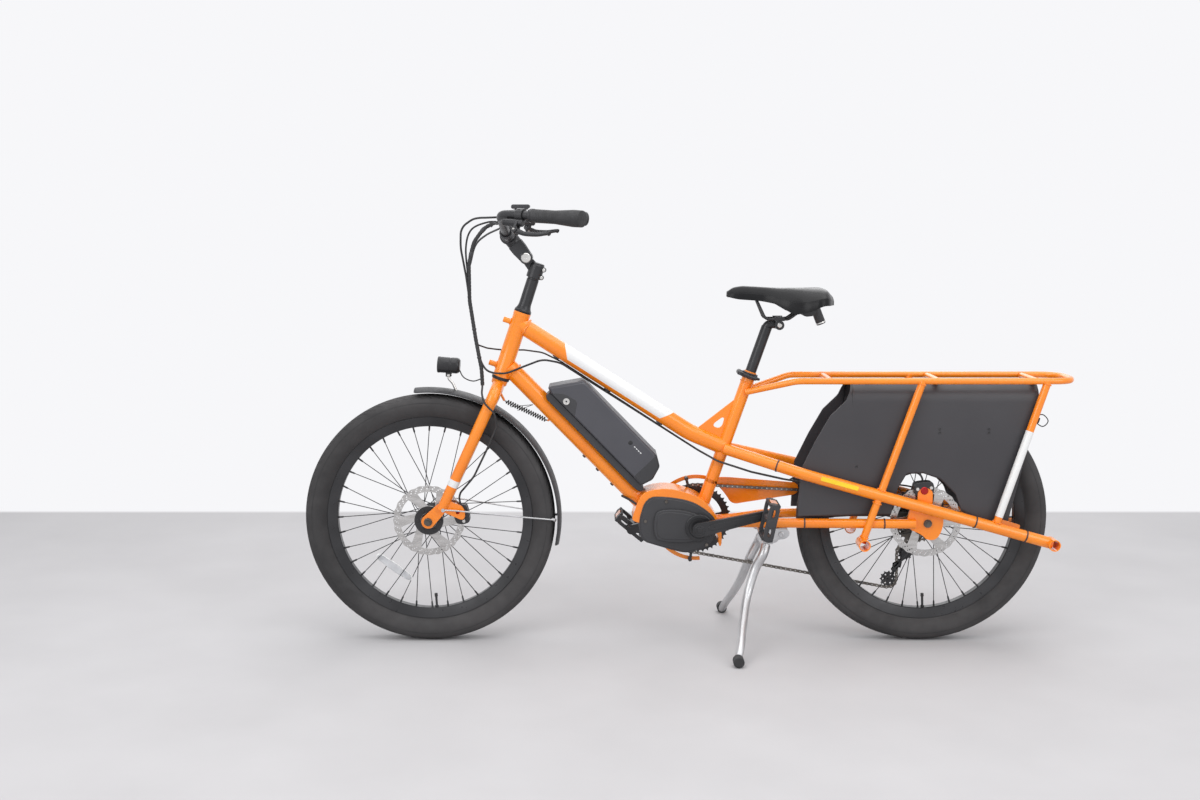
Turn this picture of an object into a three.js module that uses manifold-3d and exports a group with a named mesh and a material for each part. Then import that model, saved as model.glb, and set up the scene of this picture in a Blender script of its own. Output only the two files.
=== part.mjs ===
// Longtail cargo e-bike, built as an assembly of separate pieces.
// Millimetres. +X points to the rear wheel, +Y to the rider's right, +Z up, and Z 0 is the ground.
import * as THREE from 'three';
import { mergeVertices } from 'three/addons/utils/BufferGeometryUtils.js';
import Module from 'manifold-3d';

const wasm = await Module();
wasm.setup();

// Where the middle of the whole length lies on the scale that the places below are given on
const middleX = 12;

// Clearances shared by all pieces
const seatGap = 0.3;
const toothGap = 1.3;
const runGap = 0.6;
const cutOverrun = 30;
const weldDistance = 0.002;

// Wheels
const wheelbase = 1248;
const frontAxleX = -637;
const rearAxleX = frontAxleX + wheelbase;
const tyreRadius = 317;
const axleZ = tyreRadius;
const tyreHalfWidth = 31.5;
const tyreWall = 6;
const treadHalfWidth = 10;
const tyreSectionHeight = 57;
const rimOuterRadius = tyreRadius - tyreSectionHeight;
const rimDepth = 25;
const rimInnerRadius = rimOuterRadius - rimDepth;
const rimHalfWidth = 19;
const rimWall = 2.5;
const rimNoseHalfWidth = 9;
const rimWellDepth = 7.7;
const rimBeadLean = 3.5;
const wheelSegments = 26;
const axleRadius = 6;
const axleNutRadius = 9.5;
const axleNutThickness = 8;
const rotorRadius = 90;
const rotorThickness = 2;
const rotorBandWidth = 16;
const rotorCarrierRadius = 36;
const rotorBoreRadius = 20;
const rotorArmCount = 6;
const spokeCount = 36;
const spokeRadius = 1.1;
const flangeRadius = 29;
const flangeThickness = 5.4;
const hubBarrelRadius = 16;
const hubPadRadius = 23;
const frontHubHalfWidth = 49.7;
const frontRotorY = -40.8;
const frontLeftFlangeY = -24;
const frontRightFlangeY = 34;
const rearHubLeftHalfWidth = 67.2;
const rearHubRightEndY = 24;
const rearRotorY = -53.8;
const rearLeftFlangeY = -36;
const rearRightFlangeY = 18;

// Main frame tubes
const headTopX = -399.3;
const headTopZ = 839.5;
const headLowX = -456.7;
const headLowZ = 671;
const headRadius = 21;
const headBoreRadius = 17.5;
const bearingSeatLength = 12;
const steererRadius = 14.3;
const bossRadius = 7;
const bossReach = 19;
const bossHoleRadius = 2.6;
const bossHoleDepth = 12;
const upperBossDrop = 32;
const lowerBossDrop = 146;
const topTubeRadius = 21;
const topTubeFrontX = -409;
const topTubeFrontZ = 811;
const topTubeBendX = 20;
const topTubeBendZ = 536;
const topTubeEndX = 108;
const topTubeEndZ = 498;
const topTubeBendRadius = 220;
const downTubeRadius = 22;
const downTubeTopX = -437;
const downTubeTopZ = 704;
const downTubeLowX = -91;
const downTubeLowZ = 348;
const seatTubeRadius = 16;
const seatTubeTopX = 172.5;
const seatTubeTopZ = 690;
const seatTubeLowX = 55;
const seatTubeLowZ = 350;
const gussetThickness = 6;
const gussetFrontX = 39;
const gussetFrontZ = 546;
const gussetTopX = 137;
const gussetTopZ = 618;
const gussetLowX = 115;
const gussetLowZ = 516;
const stayRadius = 14.3;
const stayFrontX = 108;
const stayFrontY = 17.2;
const stayFrontZ = 496;
const staySpreadX = 300;
const stayY = 85;
const staySpreadZ = 443;
const stayEndX = 919;
const stayEndZ = 268.5;
const sleeveRadius = 14.5;
const sleeveBoreRadius = 12;
const rearSleeveInnerY = 68;
const rearSleeveOuterY = 112;
const frontSleeveX = 447;
const frontSleeveZ = 270.6;
const frontSleeveInnerY = 74;
const frontSleeveOuterY = 122;
const strutRadius = 9.5;
const strutTopY = 72;
const frontStrutTopX = 589;
const rearStrutTopX = 897;
const rearStrutFootX = 776.5;
const frontStrutFootX = 488;
const chainStayRadius = 12;
const chainStayFrontX = 86;
const chainStayFrontY = 29;
const chainStayFrontZ = 304;
const chainStayKinkX = 142;
const chainStayKinkZ = 309;
const chainStayWideX = 215;
const chainStayWideY = 54;
const chainStayWideZ = 314;
const chainStayEndX = 580;
const chainStayEndY = 80;
const dropoutThickness = 8;
const dropoutInnerY = 67.8;
const dropoutFrontX = 560;
const dropoutRearX = 650;

// Rack and side panels
const railRadius = 8;
const railZ = 674;
const railHalfWidth = 72;
const railFrontX = 160;
const railFrontY = 17;
const railFrontZ = 640;
const railBendX = 279;
const railEndX = 968;
const railCornerRadius = 60;
const crossTubeRadius = 7;
const crossTubeXs = [364, 630, 872];
const panelThickness = 3;
const panelOuterY = 62.1;
const panelShoulderRadius = 46;
const panelInnerEdgeY = 3;
const panelFrontX = 288;
const panelRearX = 881;
const panelLowZ = 334;
const tailBarZ = 580;
const tailBarThickness = 3;
const tailBarHeight = 14;
const tailLightWidth = 44;
const tailLightHeight = 26;
const tailLightDepth = 16;

// Drive
const crankX = 42;
const crankZ = 303;
const crankLength = 170;
const crankAngle = 13 * Math.PI / 180;
const crankArmInnerY = 81;
const crankArmThickness = 12;
const crankEyeRadius = 17;
const crankTipRadius = 13;
const spindleRadius = 12;
const pedalSpindleRadius = 5;
const pedalSpindleLength = 84;
const pedalLength = 94;
const pedalWidth = 90;
const pedalHeight = 26;
const pedalWall = 9;
const pedalBarrelRadius = 10;
const pedalInset = 5;
const leftPedalAngle = -78 * Math.PI / 180;
const rightPedalAngle = 40 * Math.PI / 180;
const chainPitch = 12.7;
const chainringTeeth = 44;
const cogTeeth = 22;
const pulleyTeeth = 11;
const chainLineY = 47;
const chainHalfWidth = 3.4;
const chainHalfHeight = 4;
const toothHalfThickness = 1;
const upperPulleyX = 586;
const upperPulleyZ = 214;
const lowerPulleyX = 542;
const lowerPulleyZ = 143;
const largestCogRadius = 73;
const smallestCogRadius = 24;
const cassetteInnerY = 26;
const cassetteOuterY = 63;
const cagePlateThickness = 2;
const cageHalfGap = 6;
const cageRadius = 13;
const hangerX = 622;
const hangerZ = 288;
const motorFrontX = -111;
const motorLength = 201;
const motorLowZ = 235;
const motorHeight = 146;
const motorLeftY = -55;
const motorRightY = 36;
const motorPanelDepth = 7;
const bracketLeftY = -50;
const bracketRightY = 34;
const guardInnerY = 55.5;
const guardThickness = 3;
const guardHoopInner = 103;
const guardHoopOuter = 113;
const guardEndX = 306;
const guardTopZ = 409;
const guardTabRadius = 5;

// Battery
const batteryStart = 105;
const batteryEndRoom = 41.4;
const batteryBase = 33.6;
const batteryHeight = 80;
const batteryHalfWidth = 44;
const mountStartInset = 13;
const mountEndInset = 9;
const mountHalfWidth = 34;
const batteryTiltPlug = 14;
const lockRadius = 11;
const lockProud = 3;

// Fork, fender and front light
const bladeY = 58;
const bladeTopRadius = 15;
const bladeMiddleRadius = 13.8;
const bladeLowRadius = 12.6;
const bladeTopX = -467;
const bladeTopZ = 641;
const bladeLowX = -603;
const bladeLowZ = 348;
const crownInsetY = 14;
const crownTopX = -461.5;
const crownTopZ = 657;
const crownCollarLength = 14;
const crownReachShare = 0.16;
const crownBendRadius = 30;
const forkPlateInnerY = 50.2;
const forkPlateThickness = 8;
const forkPlateRadius = 17;
const fenderClearance = 17;
const fenderRadius = tyreRadius + fenderClearance;
const fenderThickness = 2.5;
const fenderHalfWidth = 35;
const fenderCrown = 9;
const fenderStartAngle = 96 * Math.PI / 180;
const fenderEndAngle = -12 * Math.PI / 180;
const fenderStepAngle = 9 * Math.PI / 180;
const fenderLugRadius = 7;
const fenderWireRadius = 2;
const lightX = -585;
const lightZ = 706;
const lightRadius = 20;
const lightLength = 55;
const lightTilt = 4 * Math.PI / 180;
const lightArmRadius = 3.2;
const lightArmAngle = 78 * Math.PI / 180;
const lightPivotX = -586;
const lightPivotZ = 681;
const lightEyeRadius = 7;
const lightEyeHalfWidth = 4;

// Cockpit
const riserFlareRadius = 20.5;
const riserFlareLength = 16;
const riserSpigotRadius = 11;
const riserSpigotLength = 60;
const riserTopX = -362;
const riserTopZ = 954;
const stemClampRadius = 19;
const stemClampLength = 34;
const stemCapRadius = 17;
const stemBoltRadius = 4;
const stemPivotX = -389;
const stemPivotZ = 974.5;
const stemEyeRadius = 16;
const stemTongueHalfWidth = 9;
const stemCheekOuterY = 21;
const barClampX = -432;
const barClampZ = 1028;
const barClampRadius = 21;
const barClampHalfWidth = 24;
const barCentreRadius = 15.9;
const barCentreHalfWidth = 45;
const barFlatHalfWidth = 63;
const barRadius = 11.1;
const barBendX = -437;
const barBendY = 212;
const gripStartX = -361;
const gripStartY = 262;
const gripStartZ = 1077;
const barCrownRise = 2;
const barTopZ = gripStartZ + barCrownRise;
const gripEndX = -250;
const gripEndY = 322;
const gripEndZ = 1070;
const gripRadius = 16;
const gripWaistRadius = 15;
const gripFlareRadius = 21;
const gripCapThickness = 5;
const gripInset = 4;
const leverClampRadius = 16;
const leverClampLength = 18;
const leverSetback = 30;
const leverBodyRadius = 9;
const leverLength = 88;
const leverRadius = 5;
const leverDrop = 34;
const leverOut = 24;
const leverPinRadius = 3;
const leverEyeRadius = 8;
const displayLength = 46;
const displayWidth = 34;
const displayHeight = 12;
const displayY = -88;
const displayLift = 62;
const displaySetback = 36;

// Saddle, post and seat clamp
const postRadius = 13.6;
const seatBoreDepth = 250;
const postInsert = 130;
const postTopX = 210;
const postTopZ = 803;
const postHeadX = 240;
const postHeadZ = 808;
const postHeadRadius = 16;
const postHeadHalfWidth = 26;
const collarRadius = 20.5;
const collarLength = 15;
const collarDrop = 18;
const clampEarReach = 32;
const clampEarHalfWidth = 11;
const clampEarHeight = 12;
const clampLeverLength = 50;
const clampLeverThickness = 5;
const clampLeverHeight = 9;
const saddleNoseX = 110;
const saddleRearX = 370;
const saddleTopZ = 900;
const saddleHalfWidth = 94;
const saddleDepth = 40;
const saddleStations = 15;
const saddleRingPoints = 12;
const saddleRailRadius = 3.5;
const saddleRailY = 22;

// Kickstand
const standPivotX = 233;
const standPivotZ = 272;
const standPinRadius = 6;
const standCheekInnerY = 30;
const standCheekThickness = 6;
const standCheekHalfWidth = 13;
const standPlateHalfWidth = 66;
const standPlateFrontX = 190;
const standPlateRearX = 266;
const standPlateThickness = 8;
const standLegRadius = 11;
const standYokeX = 211;
const standYokeZ = 255;
const standYokeY = 58;
const standFootRadius = 15;
const standFootLength = 26;
const standFootX = 128;
const standFootY = 245;
const standFootFlat = 0.4;

// Brake calipers and the steering spring
const caliperLength = 50;
const caliperInnerRadius = 66;
const caliperOuterRadius = 104;
const frontCaliperAngle = 12 * Math.PI / 180;
const frontCaliperInnerY = 28;
const frontCaliperOuterY = 53.6;
const rearCaliperAngle = 96 * Math.PI / 180;
const rearCaliperInnerY = 41;
const rearCaliperOuterY = 67.4;
const rotorClearance = 2;
const springFrontX = -438;
const springFrontZ = 612;
const springRearX = -347;
const springRearZ = 569;
const springCoilRadius = 5;
const springWireRadius = 0.9;
const springCurls = 16;
const springCurlSteps = 8;
const springWireSides = 5;
const springTabThickness = 3;

// Facet counts
const frameTubeSides = 12;
const tubeSides = 8;
const thinTubeSides = 8;
const roundSegments = 12;
const hubSegments = 10;
const rotorSegments = 20;
const cassetteSegments = 16;
const gripSegments = 10;
const smallSides = 6;
const spokeSides = 3;
const bendStep = 30 * Math.PI / 180;
const chainStep = 22 * Math.PI / 180;
const chainringStep = 15 * Math.PI / 180;

// Finishes
const orangePaint = { color: 0xf27a14, roughness: 0.32, metalness: 0.15 };
const blackPaint = { color: 0x1d1d20, roughness: 0.45, metalness: 0.2 };
const blackPlastic = { color: 0x26262a, roughness: 0.55, metalness: 0 };
const greyPlastic = { color: 0x3b3c42, roughness: 0.5, metalness: 0 };
const rubberBlack = { color: 0x1b1b1c, roughness: 0.85, metalness: 0 };
const silverMetal = { color: 0xc4c6c9, roughness: 0.35, metalness: 0.9 };
const darkSteel = { color: 0x5b5a58, roughness: 0.4, metalness: 0.9 };
const glossBlack = { color: 0x141416, roughness: 0.25, metalness: 0 };
const redLens = { color: 0xb01a1a, roughness: 0.2, metalness: 0 };

const V = (x, y, z) => new THREE.Vector3(x, y, z);
const axisY = V(0, 1, 0);
const sideNames = { '-1': 'left', 1: 'right' };
const sides = [-1, 1];

// A path whose steps stop at each of its stations. A flat path may name the direction across it.
class StationPath extends THREE.Curve {
  constructor(stations, across) {
    super();
    this.stations = stations;
    this.across = across;
  }

  getPoint(t) {
    const last = this.stations.length - 1;
    const place = t * last;
    const index = Math.min(Math.floor(place), last - 1);
    return this.stations[index].clone().lerp(this.stations[index + 1], place - index);
  }

  getPointAt(u) {
    return this.getPoint(u);
  }

  getTangentAt(u) {
    const last = this.stations.length - 1;
    const index = Math.round(u * last);
    const before = this.stations[Math.max(index, 1)].clone().sub(this.stations[Math.max(index, 1) - 1]);
    const next = Math.min(index, last - 1);
    const after = this.stations[next + 1].clone().sub(this.stations[next]);
    return before.normalize().add(after.normalize()).normalize();
  }

  computeFrenetFrames(segments, closed) {
    if (!this.across) {
      return super.computeFrenetFrames(segments, closed);
    }
    const tangents = [];
    const normals = [];
    const binormals = [];
    for (let i = 0; i <= segments; i += 1) {
      const tangent = this.getTangentAt(i / segments);
      tangents.push(tangent);
      normals.push(this.across.clone());
      binormals.push(tangent.clone().cross(this.across));
    }
    return { tangents, normals, binormals };
  }
}

// Signed volume of a triangle list, positive when its faces point out.
function signedVolume(places, index) {
  const corner = [V(0, 0, 0), V(0, 0, 0), V(0, 0, 0)];
  let volume = 0;
  for (let i = 0; i < index.length; i += 3) {
    corner.forEach((point, k) => point.fromArray(places, index[i + k] * 3));
    volume += corner[0].dot(corner[1].clone().cross(corner[2])) / 6;
  }
  return volume;
}

// Turns a closed geometry into a solid that can be cut and joined.
function solidOf(geometry) {
  const bare = geometry.index ? geometry.clone() : geometry;
  for (const name of ['normal', 'uv']) {
    bare.deleteAttribute(name);
  }
  const merged = mergeVertices(bare, weldDistance);
  const places = merged.getAttribute('position').array;
  const index = merged.getIndex().array;
  const kept = [];
  for (let i = 0; i < index.length; i += 3) {
    const [a, b, c] = [index[i], index[i + 1], index[i + 2]];
    if (a !== b && b !== c && c !== a) {
      kept.push(a, b, c);
    }
  }
  if (signedVolume(places, kept) < 0) {
    kept.reverse();
  }
  const vertProperties = Float32Array.from(places);
  return new wasm.Manifold(new wasm.Mesh({ numProp: 3, vertProperties, triVerts: Uint32Array.from(kept) }));
}

// Turns a solid back into a geometry with flat faces.
function geometryOf(solid) {
  const mesh = solid.getMesh();
  const geometry = new THREE.BufferGeometry();
  geometry.setAttribute('position', new THREE.BufferAttribute(Float32Array.from(mesh.vertProperties), 3));
  geometry.setIndex(Array.from(mesh.triVerts));
  geometry.computeVertexNormals();
  return geometry;
}

function joined(...solids) {
  return solids.reduce((whole, solid) => whole.add(solid));
}

function cut(solid, ...cutters) {
  return cutters.reduce((rest, cutter) => rest.subtract(cutter), solid);
}

function addPart(parent, name, solid, finish) {
  const mesh = new THREE.Mesh(geometryOf(solid), new THREE.MeshStandardMaterial(finish));
  mesh.name = name;
  parent.add(mesh);
  return mesh;
}

// Points of a round section, or of any ellipse.
function ringPoints(radiusX, radiusY, count, phase = 0) {
  const points = [];
  for (let i = 0; i < count; i += 1) {
    const angle = phase + i * 2 * Math.PI / count;
    points.push(new THREE.Vector2(radiusX * Math.cos(angle), radiusY * Math.sin(angle)));
  }
  return points;
}

// Stations along straight runs whose corners are rounded.
function rounded(corners, bendRadius) {
  const stations = [corners[0].clone()];
  for (let i = 1; i < corners.length - 1; i += 1) {
    const corner = corners[i];
    const back = corners[i - 1].clone().sub(corner);
    const ahead = corners[i + 1].clone().sub(corner);
    const turn = Math.PI - back.angleTo(ahead);
    const reach = Math.min(bendRadius * Math.tan(turn / 2), back.length() / 2.2, ahead.length() / 2.2);
    if (turn < bendStep * 0.8) {
      stations.push(corner.clone());
      continue;
    }
    const start = corner.clone().addScaledVector(back.normalize(), reach);
    const end = corner.clone().addScaledVector(ahead.normalize(), reach);
    const arc = new THREE.QuadraticBezierCurve3(start, corner, end);
    const steps = Math.max(1, Math.ceil(turn / bendStep));
    stations.push(...arc.getPoints(steps));
  }
  stations.push(corners[corners.length - 1].clone());
  return stations;
}

// A round tube or bar along straight runs with rounded corners.
function tube(corners, radius, { bend = radius * 3, count = tubeSides, across } = {}) {
  const stations = rounded(corners, bend);
  const section = new THREE.Shape(ringPoints(radius, radius, count, Math.PI / count));
  const path = new StationPath(stations, across);
  return solidOf(new THREE.ExtrudeGeometry(section, { steps: stations.length - 1, extrudePath: path }));
}

// Turns a geometry made about the Y axis so that it runs along another direction from a place.
function aimed(geometry, place, direction) {
  const turn = new THREE.Quaternion().setFromUnitVectors(axisY, direction.clone().normalize());
  return geometry.applyQuaternion(turn).translate(place.x, place.y, place.z);
}

// A straight round bar between two places, tapered when its radii differ.
function rod(from, to, radiusFrom, { radiusTo = radiusFrom, count = tubeSides } = {}) {
  if (radiusTo === radiusFrom) {
    return tube([from, to], radiusFrom, { count });
  }
  const length = from.distanceTo(to);
  const geometry = new THREE.CylinderGeometry(radiusTo, radiusFrom, length, count);
  geometry.translate(0, length / 2, 0);
  return solidOf(aimed(geometry, from, to.clone().sub(from)));
}

// Corner radius of a many-sided bore whose flats stay the seat gap off a round shaft.
function clearOf(radius, count = roundSegments) {
  return (radius + seatGap) / Math.cos(Math.PI / count);
}

// Corner radius of a cutter that leaves the seat gap round a bar of as many sides.
function snugOf(radius, count) {
  return radius + seatGap / Math.cos(Math.PI / count);
}

// A round cutter that leaves the seat gap round a bar between two places.
function bore(from, to, radius) {
  return rod(from, to, clearOf(radius), { count: roundSegments });
}

// A turned piece: pairs of radius and distance along the axis, closed on the axis or on itself.
function turned(profile, place, direction, count = roundSegments) {
  const points = profile.map(([radius, along]) => new THREE.Vector2(radius, along));
  return solidOf(aimed(new THREE.LatheGeometry(points, count), place, direction));
}

// A turned ring with a plain bore.
function ring(outerRadius, boreRadius, from, to, place, direction, count = roundSegments) {
  const corners = [[boreRadius, from], [outerRadius, from], [outerRadius, to], [boreRadius, to],
      [boreRadius, from]];
  return turned(corners, place, direction, count);
}

// A flat plate in the X and Z plane between two distances along Y.
function sidePlate(outline, lowY, highY, holes = []) {
  const points = outline.map(([x, z]) => new THREE.Vector2(x, z));
  if (THREE.ShapeUtils.isClockWise(points)) {
    points.reverse();
  }
  const shape = new THREE.Shape(points);
  shape.holes = holes.map((hole) => new THREE.Path(hole.map(([x, z]) => new THREE.Vector2(x, z))));
  const geometry = new THREE.ExtrudeGeometry(shape, { depth: highY - lowY, bevelEnabled: false });
  geometry.applyMatrix4(new THREE.Matrix4().makeBasis(V(1, 0, 0), V(0, 0, 1), V(0, -1, 0)));
  geometry.translate(0, highY, 0);
  return solidOf(geometry);
}

function box(lowX, highX, lowY, highY, lowZ, highZ) {
  const geometry = new THREE.BoxGeometry(highX - lowX, highY - lowY, highZ - lowZ);
  geometry.translate((lowX + highX) / 2, (lowY + highY) / 2, (lowZ + highZ) / 2);
  return solidOf(geometry);
}

// Points of an arc in the X and Z plane.
function arcPoints(centreX, centreZ, radiusX, radiusZ, startAngle, endAngle, steps) {
  const points = [];
  for (let i = 0; i <= steps; i += 1) {
    const angle = startAngle + (endAngle - startAngle) * i / steps;
    points.push([centreX + radiusX * Math.cos(angle), centreZ + radiusZ * Math.sin(angle)]);
  }
  return points;
}

// Places a table of shares of a length and a height.
function scaled(shares, originX, originZ, length, height) {
  return shares.map(([shareX, shareZ]) => [originX + shareX * length, originZ + shareZ * height]);
}

// Moves each side of an outline out by a margin.
function grown(outline, margin) {
  const area = outline.reduce((sum, [x, z], i) => {
    const [nextX, nextZ] = outline[(i + 1) % outline.length];
    return sum + x * nextZ - nextX * z;
  }, 0);
  const turn = Math.sign(area);
  return outline.map(([x, z], i) => {
    const [lastX, lastZ] = outline[(i + outline.length - 1) % outline.length];
    const [nextX, nextZ] = outline[(i + 1) % outline.length];
    const before = new THREE.Vector2(z - lastZ, lastX - x).normalize().multiplyScalar(turn);
    const after = new THREE.Vector2(nextZ - z, x - nextX).normalize().multiplyScalar(turn);
    const middle = before.clone().add(after).normalize();
    const reach = margin / middle.dot(after);
    return [x + middle.x * reach, z + middle.y * reach];
  });
}

// Steering axis and frame directions
const headTop = V(headTopX, 0, headTopZ);
const headLow = V(headLowX, 0, headLowZ);
const steerUp = headTop.clone().sub(headLow).normalize();
const steerForward = V(-steerUp.z, 0, steerUp.x);
const headLength = headTop.distanceTo(headLow);
const along = (from, direction, distance) => from.clone().addScaledVector(direction, distance);
const downTubeTop = V(downTubeTopX, 0, downTubeTopZ);
const downTubeLow = V(downTubeLowX, 0, downTubeLowZ);
const downTubeRun = downTubeLow.clone().sub(downTubeTop).normalize();
const downTubeOut = V(-downTubeRun.z, 0, downTubeRun.x);
const seatTubeTop = V(seatTubeTopX, 0, seatTubeTopZ);
const seatTubeLow = V(seatTubeLowX, 0, seatTubeLowZ);
const seatUp = seatTubeTop.clone().sub(seatTubeLow).normalize();

// Cutters that leave the seat gap round the tubes that others meet
const headCutter = bore(headLow, headTop, headRadius);
const seatTubeCutter = bore(seatTubeLow, seatTubeTop, seatTubeRadius);

// Sizes of the sprockets from their teeth
const pitchRadius = (teeth) => chainPitch / (2 * Math.sin(Math.PI / teeth));
const chainringRadius = pitchRadius(chainringTeeth);
const cogRadius = pitchRadius(cogTeeth);
const pulleyRadius = pitchRadius(pulleyTeeth);

const bike = new THREE.Group();

// Wheels, each about its own axle
function tyreSolid() {
  const beadRadius = rimOuterRadius - rimWellDepth + seatGap;
  const beadHalf = rimHalfWidth - rimWall - seatGap;
  const half = [
    [beadRadius, beadHalf - rimBeadLean - tyreWall / 2],
    [beadRadius, beadHalf - rimBeadLean],
    [rimOuterRadius + runGap, beadHalf],
    [(rimOuterRadius + tyreRadius) / 2, tyreHalfWidth],
    [tyreRadius - tyreWall, (tyreHalfWidth + treadHalfWidth) / 2 + rimWall],
    [tyreRadius, treadHalfWidth],
  ];
  const outer = [...half, ...half.slice().reverse().map(([radius, y]) => [radius, -y])];
  const inner = [
    [tyreRadius - tyreWall * 2, -treadHalfWidth * 2],
    [tyreRadius - tyreWall * 2, treadHalfWidth * 2],
  ];
  return turned([...outer, ...inner, half[0]], V(0, 0, 0), axisY, wheelSegments);
}

function rimSolid() {
  const wellRadius = rimOuterRadius - rimWellDepth;
  const lipHalf = rimHalfWidth - rimWall;
  const half = [
    [rimInnerRadius, rimNoseHalfWidth],
    [rimOuterRadius, rimHalfWidth],
    [rimOuterRadius, lipHalf],
    [wellRadius, lipHalf - rimBeadLean],
  ];
  const loop = [...half, ...half.slice().reverse().map(([radius, y]) => [radius, -y]), half[0]];
  return turned(loop, V(0, 0, 0), axisY, wheelSegments);
}

// Hub with its flanges and the crossed spokes that it carries to just short of the rim
function hubSolid(leftEndY, rightEndY, padY, leftFlangeY, rightFlangeY) {
  const boreRadius = clearOf(axleRadius, hubSegments);
  const endRadius = boreRadius + rimWall * 2;
  const profile = [
    [boreRadius, leftEndY],
    [endRadius, leftEndY],
    [endRadius, padY],
    [hubPadRadius, padY],
    [hubPadRadius, leftFlangeY - flangeThickness],
    [flangeRadius, leftFlangeY - flangeThickness],
    [flangeRadius, leftFlangeY],
    [hubBarrelRadius, leftFlangeY + flangeThickness],
    [hubBarrelRadius, rightFlangeY - flangeThickness],
    [flangeRadius, rightFlangeY],
    [flangeRadius, rightFlangeY + flangeThickness],
    [endRadius, rightFlangeY + flangeThickness],
    [endRadius, rightEndY],
    [boreRadius, rightEndY],
    [boreRadius, leftEndY],
  ];
  let hub = turned(profile, V(0, 0, 0), axisY, hubSegments);
  const crossAngle = Math.PI / 3;
  for (let i = 0; i < spokeCount; i += 1) {
    const rimAngle = i * 2 * Math.PI / spokeCount;
    const side = i % 2 === 0 ? -1 : 1;
    const leading = Math.floor(i / 2) % 2 === 0 ? 1 : -1;
    const flangeY = side < 0 ? leftFlangeY - flangeThickness / 2 : rightFlangeY + flangeThickness / 2;
    const hubAngle = rimAngle + leading * crossAngle;
    const innerRadius = flangeRadius * Math.cos(Math.PI / hubSegments) - spokeRadius * 2;
    const shift = leading * spokeRadius * 1.15;
    const tipRadius = rimInnerRadius * Math.cos(Math.PI / wheelSegments) - seatGap;
    const start = V(innerRadius * Math.cos(hubAngle), flangeY + shift, innerRadius * Math.sin(hubAngle));
    const tipY = side * spokeRadius + shift;
    const tip = V(tipRadius * Math.cos(rimAngle), tipY, tipRadius * Math.sin(rimAngle));
    hub = hub.add(rod(start, tip, spokeRadius, { count: spokeSides }));
  }
  return hub;
}

// Brake rotor: an outer band, its arms and the carrier that the hub bolts to
function rotorSolid(rotorY) {
  const windows = [];
  const windowInner = rotorCarrierRadius;
  const windowOuter = rotorRadius - rotorBandWidth;
  const armTurn = 2 * Math.PI / rotorArmCount;
  for (let i = 0; i < rotorArmCount; i += 1) {
    const from = i * armTurn + armTurn / 8;
    const to = (i + 1) * armTurn - armTurn / 8;
    const outerArc = arcPoints(0, 0, windowOuter, windowOuter, from, to, 2);
    const innerArc = arcPoints(0, 0, windowInner, windowInner, to - armTurn / 5, from, 1);
    windows.push([...outerArc, ...innerArc]);
  }
  const outline = arcPoints(0, 0, rotorRadius, rotorRadius, 0, 2 * Math.PI, rotorSegments).slice(1);
  const opening = arcPoints(0, 0, rotorBoreRadius, rotorBoreRadius, 0, 2 * Math.PI, tubeSides).slice(1);
  return sidePlate(outline, rotorY, rotorY + rotorThickness, [opening, ...windows]);
}

function axleSolid(nutInnerY) {
  const nutOuter = nutInnerY + axleNutThickness;
  const tip = nutOuter + rimWall;
  const half = [[axleRadius, nutInnerY], [axleNutRadius, nutInnerY], [axleNutRadius, nutOuter],
      [axleRadius, tip], [0, tip]];
  const profile = [...half.slice().reverse().map(([radius, y]) => [radius, -y]), ...half];
  return turned(profile, V(0, 0, 0), axisY, thinTubeSides);
}

const frontWheel = new THREE.Group();
frontWheel.position.set(frontAxleX, 0, axleZ);
bike.add(frontWheel);
const rearWheel = new THREE.Group();
rearWheel.position.set(rearAxleX, 0, axleZ);
bike.add(rearWheel);
const forkPlateOuterY = forkPlateInnerY + forkPlateThickness;
const dropoutOuterY = dropoutInnerY + dropoutThickness;
addPart(frontWheel, 'front_tyre', tyreSolid(), rubberBlack);
addPart(frontWheel, 'front_rim', rimSolid(), blackPaint);
const frontHubPadY = frontRotorY + rotorThickness + seatGap;
const frontHub = hubSolid(-frontHubHalfWidth, frontHubHalfWidth, frontHubPadY, frontLeftFlangeY,
    frontRightFlangeY);
addPart(frontWheel, 'front_hub', frontHub, blackPaint);
addPart(frontWheel, 'front_rotor', rotorSolid(frontRotorY), silverMetal);
addPart(frontWheel, 'front_axle', axleSolid(forkPlateOuterY + seatGap), silverMetal);
addPart(rearWheel, 'rear_tyre', tyreSolid(), rubberBlack);
addPart(rearWheel, 'rear_rim', rimSolid(), blackPaint);
const rearHubPadY = rearRotorY + rotorThickness + seatGap;
const rearHub = hubSolid(-rearHubLeftHalfWidth, rearHubRightEndY, rearHubPadY, rearLeftFlangeY,
    rearRightFlangeY);
addPart(rearWheel, 'rear_hub', rearHub, blackPaint);
addPart(rearWheel, 'rear_rotor', rotorSolid(rearRotorY), silverMetal);
addPart(rearWheel, 'rear_axle', axleSolid(dropoutOuterY + seatGap), silverMetal);

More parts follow.
